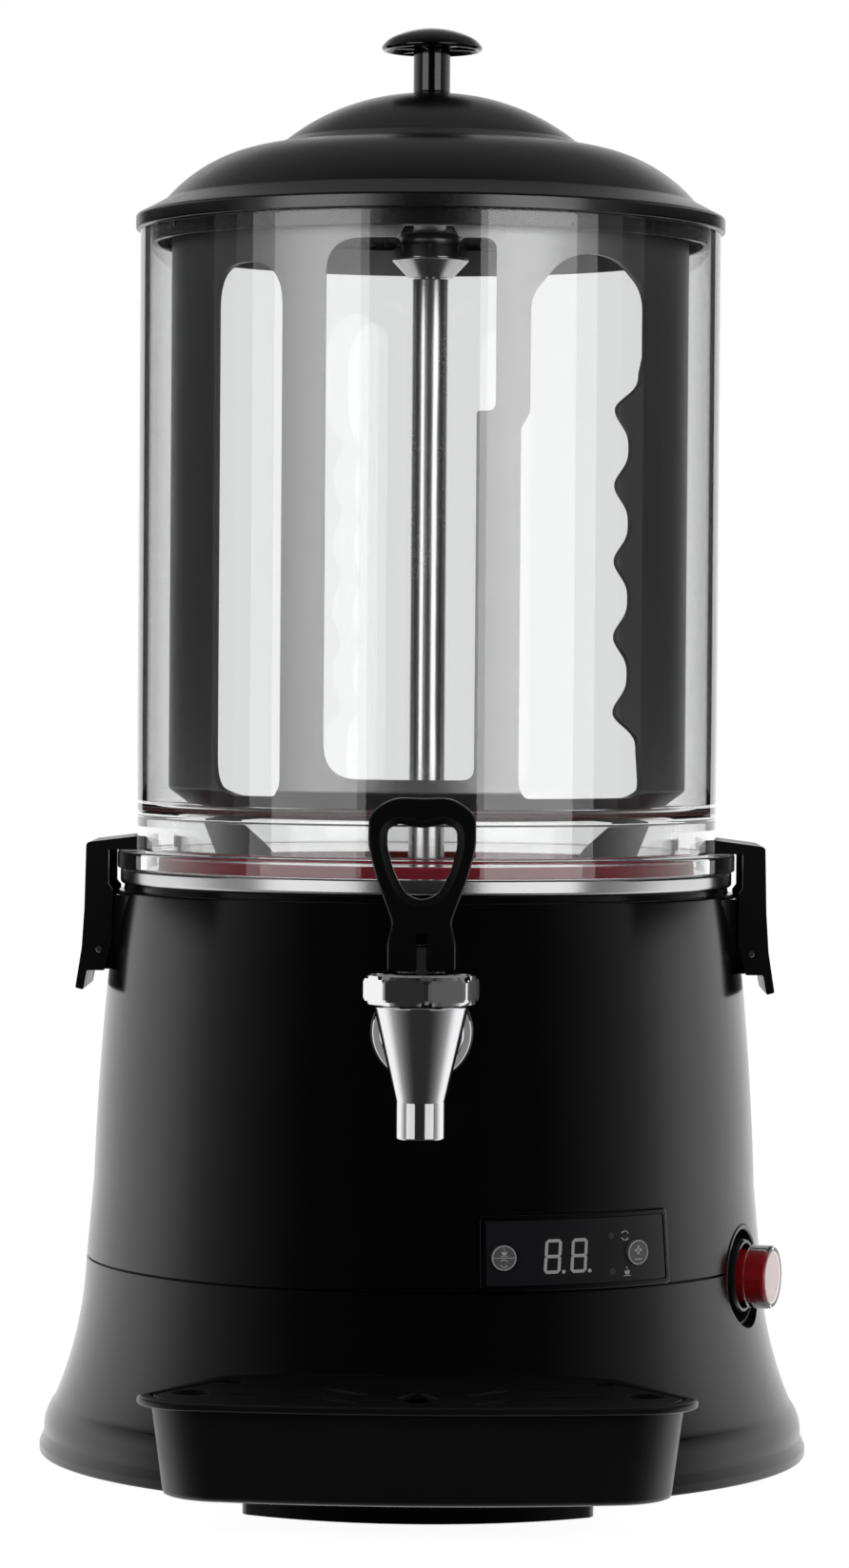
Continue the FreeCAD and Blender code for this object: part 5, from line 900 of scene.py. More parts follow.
    def lamps(self) -> None:
        """The strips on the left and the right, and a soft lamp beside each, once the pieces are made."""
        for side, azimuth in zip(("left", "right"), self.strip_azimuths):
            for strips in STRIPS:
                name, radiance = f"{strips.name}_strip_{side}", getattr(strips, side)
                size, lit, shading = self.strip_size, strips.pieces, strips.blockers
                self.lamp(name, azimuth, self.strip_level, size, radiance, lit, shading)
            self.lamp(f"soft_{side}", azimuth * 1.1, 0.9, (1.2, 1.2), 1.5, distance=1.8, gloss=False)

    def lamp(
        self, name: str, azimuth: float, level: float, size: tuple[float, float], radiance: float,
        receivers: tuple[str, ...] = (), blockers: tuple[str, ...] = (), distance: float = 1.25,
        gloss: bool = True,
    ) -> None:
        """An area lamp that faces the bowl's axis. Its power is radiance x pi x area.

        Args:
            name: the lamp's name.
            azimuth: its angle from the tap.
            level: its height.
            size: its width and height.
            radiance: its brightness where 1 is white.
            receivers: the only pieces that it lights, or none named for all.
            blockers: the only pieces that shade it, or none named for all.
            distance: from the bowl's axis.
            gloss: whether it is seen in reflections, or else lights softly.
        """
        data = bpy.data.lights.new(name, "AREA")
        data.shape = "RECTANGLE"
        data.size, data.size_y = size
        data.energy = radiance * math.pi * size[0] * size[1]
        item = new_object(name, data)
        turn = math.radians(azimuth)
        item.location = (math.sin(turn) * distance, -math.cos(turn) * distance, level)
        item.rotation_euler = (math.pi / 2, 0, turn)
        item.visible_camera = False
        item.visible_transmission = False
        item.visible_glossy = gloss
        item.visible_diffuse = not gloss
        for role, pieces in (("receiver", receivers), ("blocker", blockers)):
            if pieces:
                group = bpy.data.collections.new(f"{name}_{role}s")
                for piece in pieces:
                    group.objects.link(bpy.data.objects[piece])
                setattr(item.light_linking, f"{role}_collection", group)


# ---------------------------------------------------------------- housing


@dataclass
class Housing:
    """The flared skirt, the tapered upper shell, the steel ring and the tongue under the tray."""

    wall: float = 2.6
    lip_inner: float = 150.1
    lip_outer: float = 154.6
    lip_level: float = 2.7
    band_radius: float = 152.7
    band_top: float = 13.8
    flare_foot: float = 24.0
    flare_bend: float = 159.7
    flare_crown: float = 86.0
    seam_radius: float = 136.0
    seam_level: float = 81.5
    seam_gap: float = 0.3
    spigot_inner: float = 131.35
    spigot_outer: float = 133.15
    barrel_bend: float = 1376.0
    knee: tuple[float, float] = (133.3, 112.0)
    shoulder: tuple[float, float] = (124.5, 227.4)
    deck: tuple[float, float] = (121.5, 231.5)
    deck_opening: float = 100.2
    ring_inner: float = 108.6
    ring_outer: float = 123.3
    ring_top: float = 237.7
    flat_face: float = 124.0
    flat_half: float = 29.0
    flat_flank: float = 45.0
    flat_fade: float = 8.6
    flat_foot: float = 190.0
    switch_azimuth: float = 70.0
    switch_level: float = 79.0
    switch_hole: float = 20.5
    notch_half: float = 66.4
    notch_top: float = 13.6
    tongue_half: float = 66.0
    tongue_side: float = 157.4
    tongue_reach: float = 177.7
    tongue_back: float = 118.0
    steps: int = 320

    def flare(self, level: float, offset: float = 0.0) -> float:
        """The skirt's radius at a level: the flare's circle, whose centre is outside the housing."""
        centre = self.seam_radius + self.flare_bend
        return centre - math.sqrt((self.flare_bend + offset) ** 2 - (self.flare_crown - level) ** 2)

    def skirt(self) -> Skin:
        """The skirt's closed profile turned about Z: lip, band, flare, and the same line inside.

        Returns:
            The closed skin.
        """
        seam, low = self.seam_level - self.seam_gap, self.flare_foot
        foot, top = (self.flare(low), low), (self.flare(seam), seam)
        inner_foot, inner_top = (self.flare(low, self.wall), low), (self.flare(seam, self.wall), seam)
        band = (self.band_radius, self.band_top)
        profile = rounded(
            [
                (self.lip_inner, self.lip_level, 0.4), (self.lip_outer, self.lip_level, 1.1),
                (self.lip_outer, 6.3, 1.4), (self.band_radius, 10.6, 3.0),
                band,
                arc(band, foot, 18.0, 1, 10),
                arc(foot, top, self.flare_bend, -1, 40)[:-1],
                (*top, 0.5), (*inner_top, 0.3),
                arc(inner_top, inner_foot, self.flare_bend + self.wall, 1, 24),
                (self.lip_inner, self.band_top),
            ]
        )
        return revolved(profile, self.steps)

    def upper(self) -> Skin:
        """The upper shell's closed profile turned about Z: taper, shoulder, deck, and the line inside.

        Returns:
            The closed skin.
        """
        seam, (across, level), (rim, deck) = self.seam_level + self.seam_gap, self.shoulder, self.deck
        inner_shoulder = (across - self.wall, level - 2.0)
        inner_knee = (self.knee[0] - self.wall, self.knee[1])
        profile = rounded(
            [
                (self.seam_radius - 0.05, seam, 0.5),
                self.knee,
                arc(self.knee, self.shoulder, self.barrel_bend, 1, 40),
                (across - 0.15, level + 1.5, 1.4), (rim + 0.4, level + 1.5, 0.4), (rim + 0.1, deck, 0.5),
                (self.deck_opening, deck, 0.3), (self.deck_opening, deck - self.wall),
                (rim - self.wall, deck - self.wall),
                inner_shoulder,
                arc(inner_shoulder, inner_knee, self.barrel_bend, -1, 30),
                (self.spigot_inner, seam + 4), (self.spigot_inner, seam - 7),
                (self.spigot_outer, seam - 7), (self.spigot_outer, seam),
            ]
        )
        return revolved(profile, self.steps)

    def flats(self) -> list[Skin]:
        """The two flats behind the latches, each a prism that fades into the taper.

        Returns:
            The right flat and the left one.
        """
        result = []
        for side in (1, -1):
            face, fade = self.flat_face * side, (self.flat_face - self.flat_fade) * side
            half, flank = self.flat_half, self.flat_flank
            outline = np.array([(fade, -flank), (face, -half), (face, half), (fade, flank)])[::side]
            result.append(plate(outline, self.flat_foot, self.shoulder[1], 0.05, 1))
        return result

    def tongue(self) -> Skin:
        """The tongue: a plan with a bowed front and rounded edges, flat below.

        Returns:
            The closed skin.
        """
        half, side, back = self.tongue_half, self.tongue_side, self.tongue_back
        bow = self.tongue_reach - side
        bend = (half**2 + bow**2) / (2 * bow)
        left, left_front = (-half, -side + 4), (-half + 2, -side - 1.5)
        right, right_front = (half, -side + 4), (half - 2, -side - 1.5)
        plan = np.vstack(
            [
                [(-half, -back), left],
                arc(left, left_front, 7, 1, 4),
                arc(left_front, right_front, bend, 1, 40),
                arc(right_front, right, 7, 1, 4),
                [(half, -back)],
            ]
        )
        section = ((3.0, 9.5), (3.0, 0.4), (0.0, 0.4), (0.0, 11.4), (0.5, 12.7), (1.8, 13.2))
        return lofted([at_level(inset(plan, draw), level) for draw, level in section])

    def build(self) -> None:
        """Make the housing's pieces."""
        hole = revolved(rectangle(0, self.switch_hole, 90.0, 170.0), 96)
        hole = hole.placed(outward(self.switch_azimuth, self.switch_level))
        notch = plate(rectangle(-self.notch_half, self.notch_half, -170, -90), -5.0, self.notch_top, 0.01, 1)
        ring_edges = (0.3, 1.6, 1.2, 0.5)
        ring = collar(self.ring_inner, self.ring_outer, self.deck[1], self.ring_top, ring_edges, self.steps)
        for name, skin, node, trim in (
            ("skirt_shell", self.skirt(), "base_skirt", Trim(cuts=[hole, notch])),
            ("upper_shell", self.upper(), "upper_body", Trim(adds=self.flats(), cuts=[hole], sharp=20)),
            ("tray_tongue", self.tongue(), "tray_support", None),
        ):
            make_piece(name, skin, "shell_gloss_black", "housing", (node,), trim)
        make_piece("deck_ring", ring, "steel_ring", "housing", ("collar_ring",))


# ---------------------------------------------------------------- bowl and lid


@dataclass
class Bowl:
    """The clear bowl and its red seal."""

    radius: float = 117.0
    inner: float = 113.0
    top: float = 494.0
    foot: float = Housing.ring_top
    flange_radius: float = 124.5
    flange_top: float = 245.0
    floor_top: float = 262.0
    floor_under: float = 258.5
    neck_inner: float = 99.2
    neck_outer: float = 102.4
    seat: float = 242.0
    seal_inner: float = 97.4
    seal_outer: float = 108.0
    seal_foot: float = 233.6

    def wall(self) -> Skin:
        """The bowl's closed profile turned about Z: flange, wall, ledge, neck.

        Returns:
            The closed skin.
        """
        profile = rounded(
            [
                (self.inner, self.foot, 0.4), (self.flange_radius, self.foot, 0.8),
                (self.flange_radius, self.flange_top, 1.6), (self.radius - 0.3, self.flange_top, 1.2),
                (self.radius, 300.0), (self.radius, self.top, 0.6), (self.inner, self.top, 0.6),
                (self.inner, self.floor_top, 3.0), (self.neck_inner, self.floor_top, 3.0),
                (self.neck_inner, self.seat, 0.5), (self.neck_outer, self.seat, 0.5),
                (self.neck_outer, self.floor_under, 1.0), (self.inner, self.floor_under, 1.0),
            ]
        )
        return revolved(profile, 256)

    def build(self) -> None:
        """Make the bowl, and the seal that its neck presses on."""
        seal = collar(self.seal_inner, self.seal_outer, self.seal_foot, self.seat, (0.4, 0.4, 1.2, 0.8), 192)
        make_piece("clear_bowl", self.wall(), "bowl_clear", "housing", ("bowl",))
        make_piece("red_seal", seal, "gasket_red", "housing", ("bowl_gasket",))


@dataclass
class Lid:
    """The stepped dome, its flange and its mushroom knob."""

    seat: float = Bowl.top + 0.3
    flange_top: float = 499.9
    flange_radius: float = 118.7
    skirt_inner: float = 110.0
    skirt_outer: float = 112.3
    skirt_depth: float = 6.3
    wall: float = 2.3
    top: float = 550.0
    bore: float = 2.3
    slope_bend: float = 62.0
    crown_bend: float = 88.0
    stem: float = 7.4

    def dome(self) -> Skin:
        """The lid's closed profile turned about Z: flange, lower dome, step, crown, and the inside.

        Returns:
            The closed skin.
        """
        flange, skirt = self.flange_top, self.seat - self.skirt_depth
        step, crown, rim = (64.0, flange + 28.1), (58.8, flange + 30.7), (107.0, flange + 6.1)
        under = (self.bore, self.top - self.wall)
        crown_in = (crown[0] - self.wall, crown[1] - self.wall)
        step_in = (step[0] - 1.0, step[1] - self.wall)
        rim_in = (rim[0] - self.wall, rim[1] - self.wall * 1.4)
        profile = rounded(
            [
                (self.skirt_inner, skirt, 0.5), (self.skirt_outer, skirt, 0.5),
                (self.skirt_outer, self.seat, 0.3), (self.flange_radius, self.seat, 0.8),
                (self.flange_radius, flange, 1.5), (113.0, flange + 2.9, 4.0), (*rim, 2.0),
                arc(rim, step, self.slope_bend, 1, 30)[:-1],
                (*step, 1.4), (*crown, 1.2),
                arc(crown, (self.bore, self.top), self.crown_bend, 1, 36),
                under,
                arc(under, crown_in, self.crown_bend - self.wall, -1, 20),
                step_in,
                arc(step_in, rim_in, self.slope_bend - self.wall, -1, 20),
                (self.skirt_inner, flange - self.wall + 0.6, 0.8),
            ]
        )
        return revolved(profile, 256)

    def knob(self) -> Skin:
        """The knob turned about Z, a stem and a thin domed cap that is hollow below, with six ribs.

        Returns:
            The knob and its ribs as one skin.
        """
        low, high, rim = self.top + 0.1, self.top + 26.5, self.top + 17.4
        edge, shoulder = (20.5, rim + 1.2), (16.0, high - 3.6)
        profile = rounded(
            [
                (0.0, low + 12), (2.0, low + 12), (2.0, low), (self.stem + 0.3, low, 0.3),
                (self.stem, low + 1.0, 0.8), (self.stem, high - 3.1, 1.2), (16.0, high - 6.0, 3.0),
                (18.7, rim, 0.3), (19.6, rim, 0.4), (*edge, 0.6),
                arc(edge, shoulder, 10.0, 1, 10)[1:-1],
                arc(shoulder, (0.0, high), 37.4, 1, 24),
            ],
            closed=False,
        )
        outline = np.array([(6.6, rim + 0.5), (17.9, rim + 0.5), (16.0, high - 5.2), (6.6, high - 2.4)])
        rib = upright(plate(outline, -0.6, 0.6, 0.25, 2))
        ribs = [rib.placed(turned(turn)) for turn in range(10, 370, 60)]
        return joined(revolved(profile, 128, closed=False), *ribs)

    def build(self) -> None:
        """Make the lid's pieces."""
        make_piece("lid_dome", self.dome(), "lid_black", "lid", ("lid_shell",))
        make_piece("lid_knob_cap", self.knob(), "knob_black", "lid", ("lid_knob",))


# ---------------------------------------------------------------- stirrer


@dataclass
class Stirrer:
    """The windowed cage that turns in the bowl, with its hub, and the steel column."""

    radius: float = 104.2
    wall: float = 2.4
    top: float = 495.5
    foot: float = 270.0
    ring_foot: float = 261.6
    bore: float = 4.05
    cone_foot: float = 476.0
    cone_top: float = 483.4
    boss_foot: float = 488.8
    nut_top: float = 503.1
    knurls: int = 36
    column_radius: float = 7.3
    column_bore: float = 5.7
    column_foot: float = 138.8
    column_top: float = 475.4
    window_foot: float = 268.3

    def shell(self) -> Skin:
        """The cage's closed profile turned about Z: wall, and the lower ring that slopes inwards.

        Returns:
            The closed skin.
        """
        inner = self.radius - self.wall
        profile = rounded(
            [
                (91.0, self.ring_foot + 1.8, 0.5), (93.0, self.ring_foot, 0.6),
                (self.radius, self.foot, 2.0), (self.radius, self.top, 0.5), (inner, self.top, 0.5),
                (inner, self.foot + self.wall / 2, 1.5),
            ]
        )
        return revolved(profile, 256)

    def window(self, azimuth: float, outline: Array) -> Skin:
        """A cutter through the near wall, square to an azimuth, with the outline in x and z."""
        return upright(plate(outline, 20.0, 125.0, 0.01, 1)).placed(turned(azimuth))

    def windows(self) -> list[Skin]:
        """The cutters of the left, middle and right windows, and of the open back.

        Returns:
            The four cutters.
        """
        low = self.window_foot
        left = rounded([(-17.8, low, 14), (17.8, low, 7), (17.8, 476.0, 17), (-17.8, 476.0, 17)], 8)
        middle = rounded(
            [
                (-32.6, 275.5, 14), (25.5, 275.5, 5), (25.5, 417.6, 1.5), (32.6, 417.6, 5),
                (32.6, 484.0, 5), (18.3, 484.0, 2), (16.1, 488.4, 1), (-2.5, 488.4, 1), (-4.7, 484.0, 2),
                (-32.6, 484.0, 14),
            ],
            8,
        )
        right = rounded(
            [
                (-30.2, low, 7), (30.2, low, 7),
                self.finger_edge(),
                (30.2, 441.0, 4), (30.2, 466.0, 14), (14.0, 478.0, 30), (0.0, 480.0, 30),
                (-14.0, 477.0, 30), (-26.6, 462.0, 14), (-26.6, 417.6, 4), (-30.2, 411.0, 4),
            ],
            8,
        )
        behind = upright(plate(rectangle(-125.0, 125.0, 261.0, 484.6), -125.0, 0.0, 0.01, 1))
        return [self.window(-42.15, left), self.window(-3.75, middle), self.window(36.95, right), behind]

    def finger_edge(self) -> Array:
        """The wavy edge of five fingers: a crest at every pitch, raised as the power of a cosine.

        Returns:
            Points from the lowest finger to the highest.
        """
        low, pitch, count = 287.0, 29.5, 5
        level = np.linspace(low, low + pitch * count, 96)
        wave = 0.5 - 0.5 * np.cos(2 * math.pi * (level - low) / pitch)
        crest, trough, side = 14.2, 22.2, 28.0
        base = np.where((level < low + pitch / 2) | (level > low + pitch * (count - 0.5)), side, trough)
        return np.column_stack([base + (crest - base) * wave**1.6, level])

    def arms(self) -> Skin:
        """The boss, the plate over it and four arms with rounded edges.

        Returns:
            The closed skins as one.
        """
        low, high, foot = self.top - 2.6, self.top, self.boss_foot
        disc = plate(circle(16.0, 64), low, high, 0.5)
        outline = rounded([(*corner, 1) for corner in rectangle(12, 103, -6.5, 6.5)], 3)
        arm = plate(outline, low + 0.05, high - 0.05, 0.5)
        bore, rest = self.bore + 0.05, low + 0.3
        boss = [(bore, foot), (12.0, foot, 0.5), (12.0, low - 1.4, 3.0), (15.2, rest), (bore, rest)]
        arms = [arm.placed(turned(90.0 * quarter)) for quarter in range(4)]
        return joined(disc, revolved(rounded(boss, 6), 96), *arms)

    def paddles(self) -> Skin:
        """The two blades that reach from the cage's lower ring down into the pan.

        Returns:
            The closed skins as one.
        """
        skins = []
        for side in (1, -1):
            corners = [
                (60.8 * side, 184.5, 5), (80.8 * side, 184.5, 6), (85.0 * side, 243.0, 10),
                (93.4 * side, self.ring_foot + 1.8, 0.5), (83.0 * side, self.ring_foot + 1.8, 3),
                (60.8 * side, 244.0, 12),
            ]
            skins.append(upright(plate(rounded(corners[::side]), -1.5, 1.5, 0.6)))
        return joined(*skins)

    def nut(self) -> Skin:
        """The knurled nut: radius R + k cos(36 a), with a chamfered closed top.

        Returns:
            The closed skin.
        """
        low, high, bore = self.top, self.nut_top, self.bore + 0.05
        angle = np.linspace(0, 2 * math.pi, 360, endpoint=False)
        knurl = np.cos(self.knurls * angle)
        section = (
            (bore, high - 2.2, 0), (bore, low + 0.05, 0), (11.6, low + 0.05, 0), (12.5, low + 0.6, 0.35),
            (12.65, low + 1.4, 0.35), (12.65, high - 2.6, 0.35), (11.9, high - 1.4, 0.2),
            (10.1, high - 0.25, 0), (9.1, high, 0), (2.0, high, 0),
        )
        return lofted([level_ring(radius + depth * knurl, angle, level) for radius, level, depth in section])

    def cone(self) -> Skin:
        """The cone under the band, turned about Z, with its running bore.

        Returns:
            The closed skin.
        """
        low, rim, bore = self.cone_foot, self.cone_top, self.bore
        corners = [(bore, low, 0.3), (9.0, low, 0.8), (15.4, rim - 0.6, 0.4), (15.4, rim, 0.3), (bore, rim)]
        return revolved(rounded(corners), 128)

    def build(self) -> None:
        """Make the stirrer's pieces, and the steel column that its shaft runs in."""
        band = collar(self.bore, 14.8, self.cone_top, self.boss_foot, (0, 0.3, 0.4, 0), 128)
        column_edges = (0.3, 0.3, 0.5, 0.5)
        column = collar(
            self.column_bore, self.column_radius, self.column_foot, self.column_top, column_edges, 96
        )
        cage_trim = Trim(cuts=self.windows(), bevel=0.45)
        for name, skin, nodes, trim in (
            ("stirrer_cage_wall", self.shell(), ("stirrer_cage",), cage_trim),
            ("stirrer_arms", self.arms(), (), None),
            ("stirrer_paddles", self.paddles(), (), None),
        ):
            make_piece(name, skin, "stirrer_black", "stirrer", nodes, trim)
        make_piece("hub_knurled_nut", self.nut(), "satin_black", "stirrer", ("hub_nut",))
        make_piece("hub_satin_cone", self.cone(), "steel_turned", "stirrer", ("hub_cone",))
        make_piece("hub_chrome_band", band, "chrome", "stirrer")
        make_piece("steel_column", column, "steel_turned", "housing", ("column_tube",))


# ---------------------------------------------------------------- latches


@dataclass
class Latches:
    """The two hooked latches on the housing's sides."""

    half_width: float = 27.0
    outer: float = 135.6
    tab_outer: float = 139.7
    plate: float = 3.2
    inner: float = 125.0
    notch: float = 126.6
    top: float = 251.2
    hook_under: float = 245.3
    throat: float = 118.4
    side_wall: float = 2.4
    tab_foot: float = 189.2
    pin_place: tuple[float, float] = (130.2, 205.4)
    pin_radius: float = 1.4

    def outside(self) -> Array:
        """The latch from the side, in x and z: tab, plate, hook, notch and side walls.

        Returns:
            The outline.
        """
        return rounded(
            [
                (self.tab_outer - self.plate, self.tab_foot, 0.6),
                (self.tab_outer, self.tab_foot + 0.8, 0.8), (self.outer + 1.6, 206.0, 30),
                (self.outer + 0.6, 222.0, 30), (self.outer, self.top - 3.0, 1.8),
                (self.throat - 6.0, self.top), (self.throat - 6.0, self.hook_under),
                (self.notch, self.hook_under, 0.4), (self.notch, Housing.deck[1], 0.4),
                (self.inner, 229.5, 0.8), (self.inner, 209.4, 4), (self.inner + 3.2, 197.0, 0.5),
                (self.tab_outer - self.plate - 1.4, 197.0, 0.8),
            ]
        )

    def hollow(self) -> Array:
        """The space between the side walls, in x and z.

        Returns:
            The outline.
        """
        plate_inner, tab_inner = self.outer - self.plate, self.tab_outer - self.plate
        open_side = self.inner - 12
        return np.array(
            [
                (open_side, 178.0), (tab_inner, 178.0), (tab_inner, self.tab_foot),
                (plate_inner + 1.6, 206.0), (plate_inner + 0.8, 220.0), (plate_inner, self.hook_under),
                (open_side, self.hook_under),
            ]
        )

    def build(self) -> None:
        """Make the right latch, and the left one as its mirror image."""
        half, inside = self.half_width, self.half_width - self.side_wall
        outside = upright(plate(self.outside(), -half, half, 0.05, 1))
        hollow = upright(plate(self.hollow(), -inside, inside, 0.01, 1))
        throat = revolved(rectangle(0, self.throat, 240.0, 260.0), 256)
        hole = self.on_pin(revolved(rectangle(0, self.pin_radius + 0.1, -40.0, 40.0), 24))
        for side in ("right", "left"):
            skins = [outside, hollow, throat, hole, self.pin()]
            if side == "left":
                skins = [skin.mirrored() for skin in skins]
            shell, *cuts, pin = skins
            name, trim = f"latch_{side}_shell", Trim(cuts=cuts, bevel=0.45)
            make_piece(name, shell, "latch_black", f"latch_{side}", (f"clip_{side}",), trim)
            make_piece(f"latch_{side}_pin", pin, "chrome", "housing", (f"clip_pin_{side}",))

    def on_pin(self, skin: Skin) -> Skin:
        """A skin turned about Z laid along Y, at the right latch's pin."""
        return upright(skin).shifted(across=self.pin_place[0], up=self.pin_place[1])

    def pin(self) -> Skin:
        """The hinge pin with domed ends, turned about its own axis.

        Returns:
            The skin.
        """
        end, radius = self.half_width + 0.3, self.pin_radius
        profile = rounded([(0, -end), (radius, -end, 0.6), (radius, end, 0.6), (0, end)], 4, closed=False)
        return self.on_pin(revolved(profile, 32, closed=False))


# ---------------------------------------------------------------- tap


@dataclass
class Tap:
    """The chromed tap, its eight-sided nut and its loop handle."""

    reach: float = 170.0
    level: float = 180.5
    spout_foot: float = 143.0
    spout_outer: float = 9.35
    spout_bore: float = 7.3
    mouth: float = 192.6
    seat: float = 161.5
    valve_bore: float = 5.6
    shank_radius: float = 8.0
    shank_bore: float = 5.5
    shank_span: tuple[float, float] = (96.0, 158.0)
    thread_end: float = 127.0
    thread_pitch: float = 1.5
    nut_flat: float = 20.3
    nut_turn: float = 28.5
    nut_top: float = 205.3
    finger_middle: float = 247.0
    handle_half: float = 5.5

    def spout(self) -> Skin:
        """The tap's closed profile turned about Z: spout, taper, mouth, and the bore.

        Returns:
            The closed skin.
        """
        profile = rounded(
            [
                (self.spout_bore, self.spout_foot, 0.5), (self.spout_outer, self.spout_foot, 0.9),
                (self.spout_outer, 157.0, 3.0), (17.7, self.mouth, 0.4), (15.8, self.mouth, 0.3),
                (9.2, self.seat + 2.0, 1.0), (self.valve_bore, self.seat + 2.0, 0.4),
                (self.valve_bore, self.seat, 0.4), (self.spout_bore, self.seat, 1.0),
            ]
        )
        return revolved(profile, 160).shifted(back=-self.reach)

    def shank(self) -> Skin:
        """The threaded shank: radius R + t cos(2 pi y / pitch) along Y, from the tap into the pan.

        Returns:
            The closed skin.
        """
        start, end = self.shank_span
        along = np.linspace(start, end, 320)
        crests = 0.22 * np.cos(2 * math.pi * along / self.thread_pitch) - 0.2
        thread = np.where(along < self.thread_end, crests, 0.0)
        outer = np.column_stack([self.shank_radius + thread, along])
        profile = np.vstack([[(self.shank_bore, start)], outer, [(self.shank_bore, end)]])
        return revolved(profile, 64).placed(outward(0.0, self.level))

    def escutcheon(self) -> Skin:
        """The domed disc on the housing, turned about the shank's axis.

        Returns:
            The closed skin.
        """
        low, hole = 131.05, self.shank_radius + 0.05
        profile = rounded(
            [
                (hole, low), (19.2, low, 0.4), (19.65, low + 1.8, 0.8), (18.6, low + 3.8, 2.0),
                (15.6, low + 5.9, 2.0), (hole, low + 6.0),
            ]
        )
        return revolved(profile, 128).placed(outward(0.0, self.level))

    def bonnet(self) -> Skin:
        """The eight-sided nut: radius is the lesser of the octagon's and a chamfer's circle.

        The octagon's radius at angle a is A / cos(a folded to within an eighth turn), and the chamfer's
        falls towards both faces.

        Returns:
            The closed skin.
        """
        low, high = self.mouth + 0.05, self.nut_top
        angle = np.linspace(0, 2 * math.pi, 384, endpoint=False)
        eighth = math.pi / 4
        fold = (angle - math.radians(self.nut_turn) + eighth / 2) % eighth - eighth / 2
        octagon = self.nut_flat / np.cos(fold)
        steps = ((0.0, 18.9), (0.25, 19.5), (1.0, 20.4), (2.2, 21.3), (3.2, 21.75))
        levels = [(low + rise, rim) for rise, rim in steps]
        levels += [(high - rise, rim) for rise, rim in steps[::-1]]
        levels += [(high, 11.0), (high - 0.5, 10.2), (high - 0.5, 3.3), (high - 3.0, 3.3)]
        levels += [(high - 3.0, 14.8), (low, 14.8)]
        rings = [level_ring(np.minimum(octagon, rim), angle, level) for level, rim in levels]
        return grid(np.stack(rings), wrap_rows=True, wrap_columns=True).shifted(back=-self.reach)

    def handle(self) -> Skin:
        """The loop handle: outer and inner outlines in x and z, joined over a rounded section.

        Both outlines are sampled at the same angles about the finger hole's middle, so that the
        section's rings join point to point: outer edge, front face, inner chamfer, and the same behind.

        Returns:
            The closed skin.
        """
        outer = [
            (12.75, 205.6, 0.8), (12.75, 217.0, 6), (10.8, 223.5, 8), (17.2, 241.0, 60),
            (20.15, 252.0, 30), (20.0, 264.5, 9), (11.0, 270.4, 14), (0, 270.0, 30),
        ]
        outer += [(-x, y, r) for x, y, r in outer[-2::-1]]
        outer = [outer[-1], *outer[:-1]]
        inner = [
            (0, 231.8, 6), (6.4, 234.5, 8), (10.6, 243.0, 20), (13.0, 252.0, 14), (12.9, 258.6, 3.5),
            (8.5, 260.6, 5), (0, 258.9, 12),
        ]
        inner += [(-x, y, r) for x, y, r in inner[-2:0:-1]]
        rim, hole, half = self.sampled(rounded(outer, 10)), self.sampled(rounded(inner, 10)), self.handle_half
        section = [
            (rim, 0.0, half - 1.4), (rim, 0.45, half - 0.45), (rim, 1.5, half), (hole, -3.0, half - 0.15),
            (hole, -2.4, half - 0.6), (hole, 0.0, half - 3.2),
        ]
        section += [(line, draw, -depth) for line, draw, depth in section[::-1]]
        rings = [at_level(inset(line, draw), depth) for line, draw, depth in section]
        skin = grid(np.stack(rings), wrap_rows=True, wrap_columns=True)
        return upright(skin).shifted(back=-self.reach)

    def sampled(self, outline: Array, count: int = 360) -> Array:
        """An outline's points at even angles about the middle of the finger hole.

        Args:
            outline: n by 2 array of x and z.
            count: how many angles.

        Returns:
            A count by 2 array, where each ray from the middle meets the outline.
        """
        middle = np.array([0.0, self.finger_middle])
        sides = zip(outline, np.roll(outline, -1, axis=0))
        spoke = np.vstack([np.linspace(start, end, 24, endpoint=False) for start, end in sides]) - middle
        angle = np.unwrap(np.arctan2(spoke[:, 1], spoke[:, 0]))
        reach = np.linalg.norm(spoke, axis=1)
        order = np.argsort(angle)
        wanted = angle.min() + np.linspace(0, 2 * math.pi, count, endpoint=False)
        base = np.concatenate([angle[order], angle[order][:4] + 2 * math.pi])
        length = np.interp(wanted, base, np.concatenate([reach[order], reach[order][:4]]))
        return middle + length[:, None] * np.column_stack([np.cos(wanted), np.sin(wanted)])

    def build(self) -> None:
        """Make the tap's pieces."""
        slot = upright(plate(rectangle(-2.1, 2.1, 200.0, 220.0), 150.0, 190.0, 0.01, 1))
        for name, skin, node, trim in (
            ("tap_chrome_body", joined(self.spout(), self.shank()), "tap_body", Trim(sharp=40)),
            ("tap_chrome_disc", self.escutcheon(), "tap_escutcheon", None),
            ("tap_eight_sided_nut", self.bonnet(), "tap_bonnet_nut", Trim(sharp=14)),
        ):
            make_piece(name, skin, "chrome", "housing", (node,), trim)
        trim = Trim(cuts=[slot], sharp=38)
        make_piece(
            "tap_loop_handle", self.handle(), "satin_black", "handle", ("tap_handle",), trim
        )


# ---------------------------------------------------------------- control panel


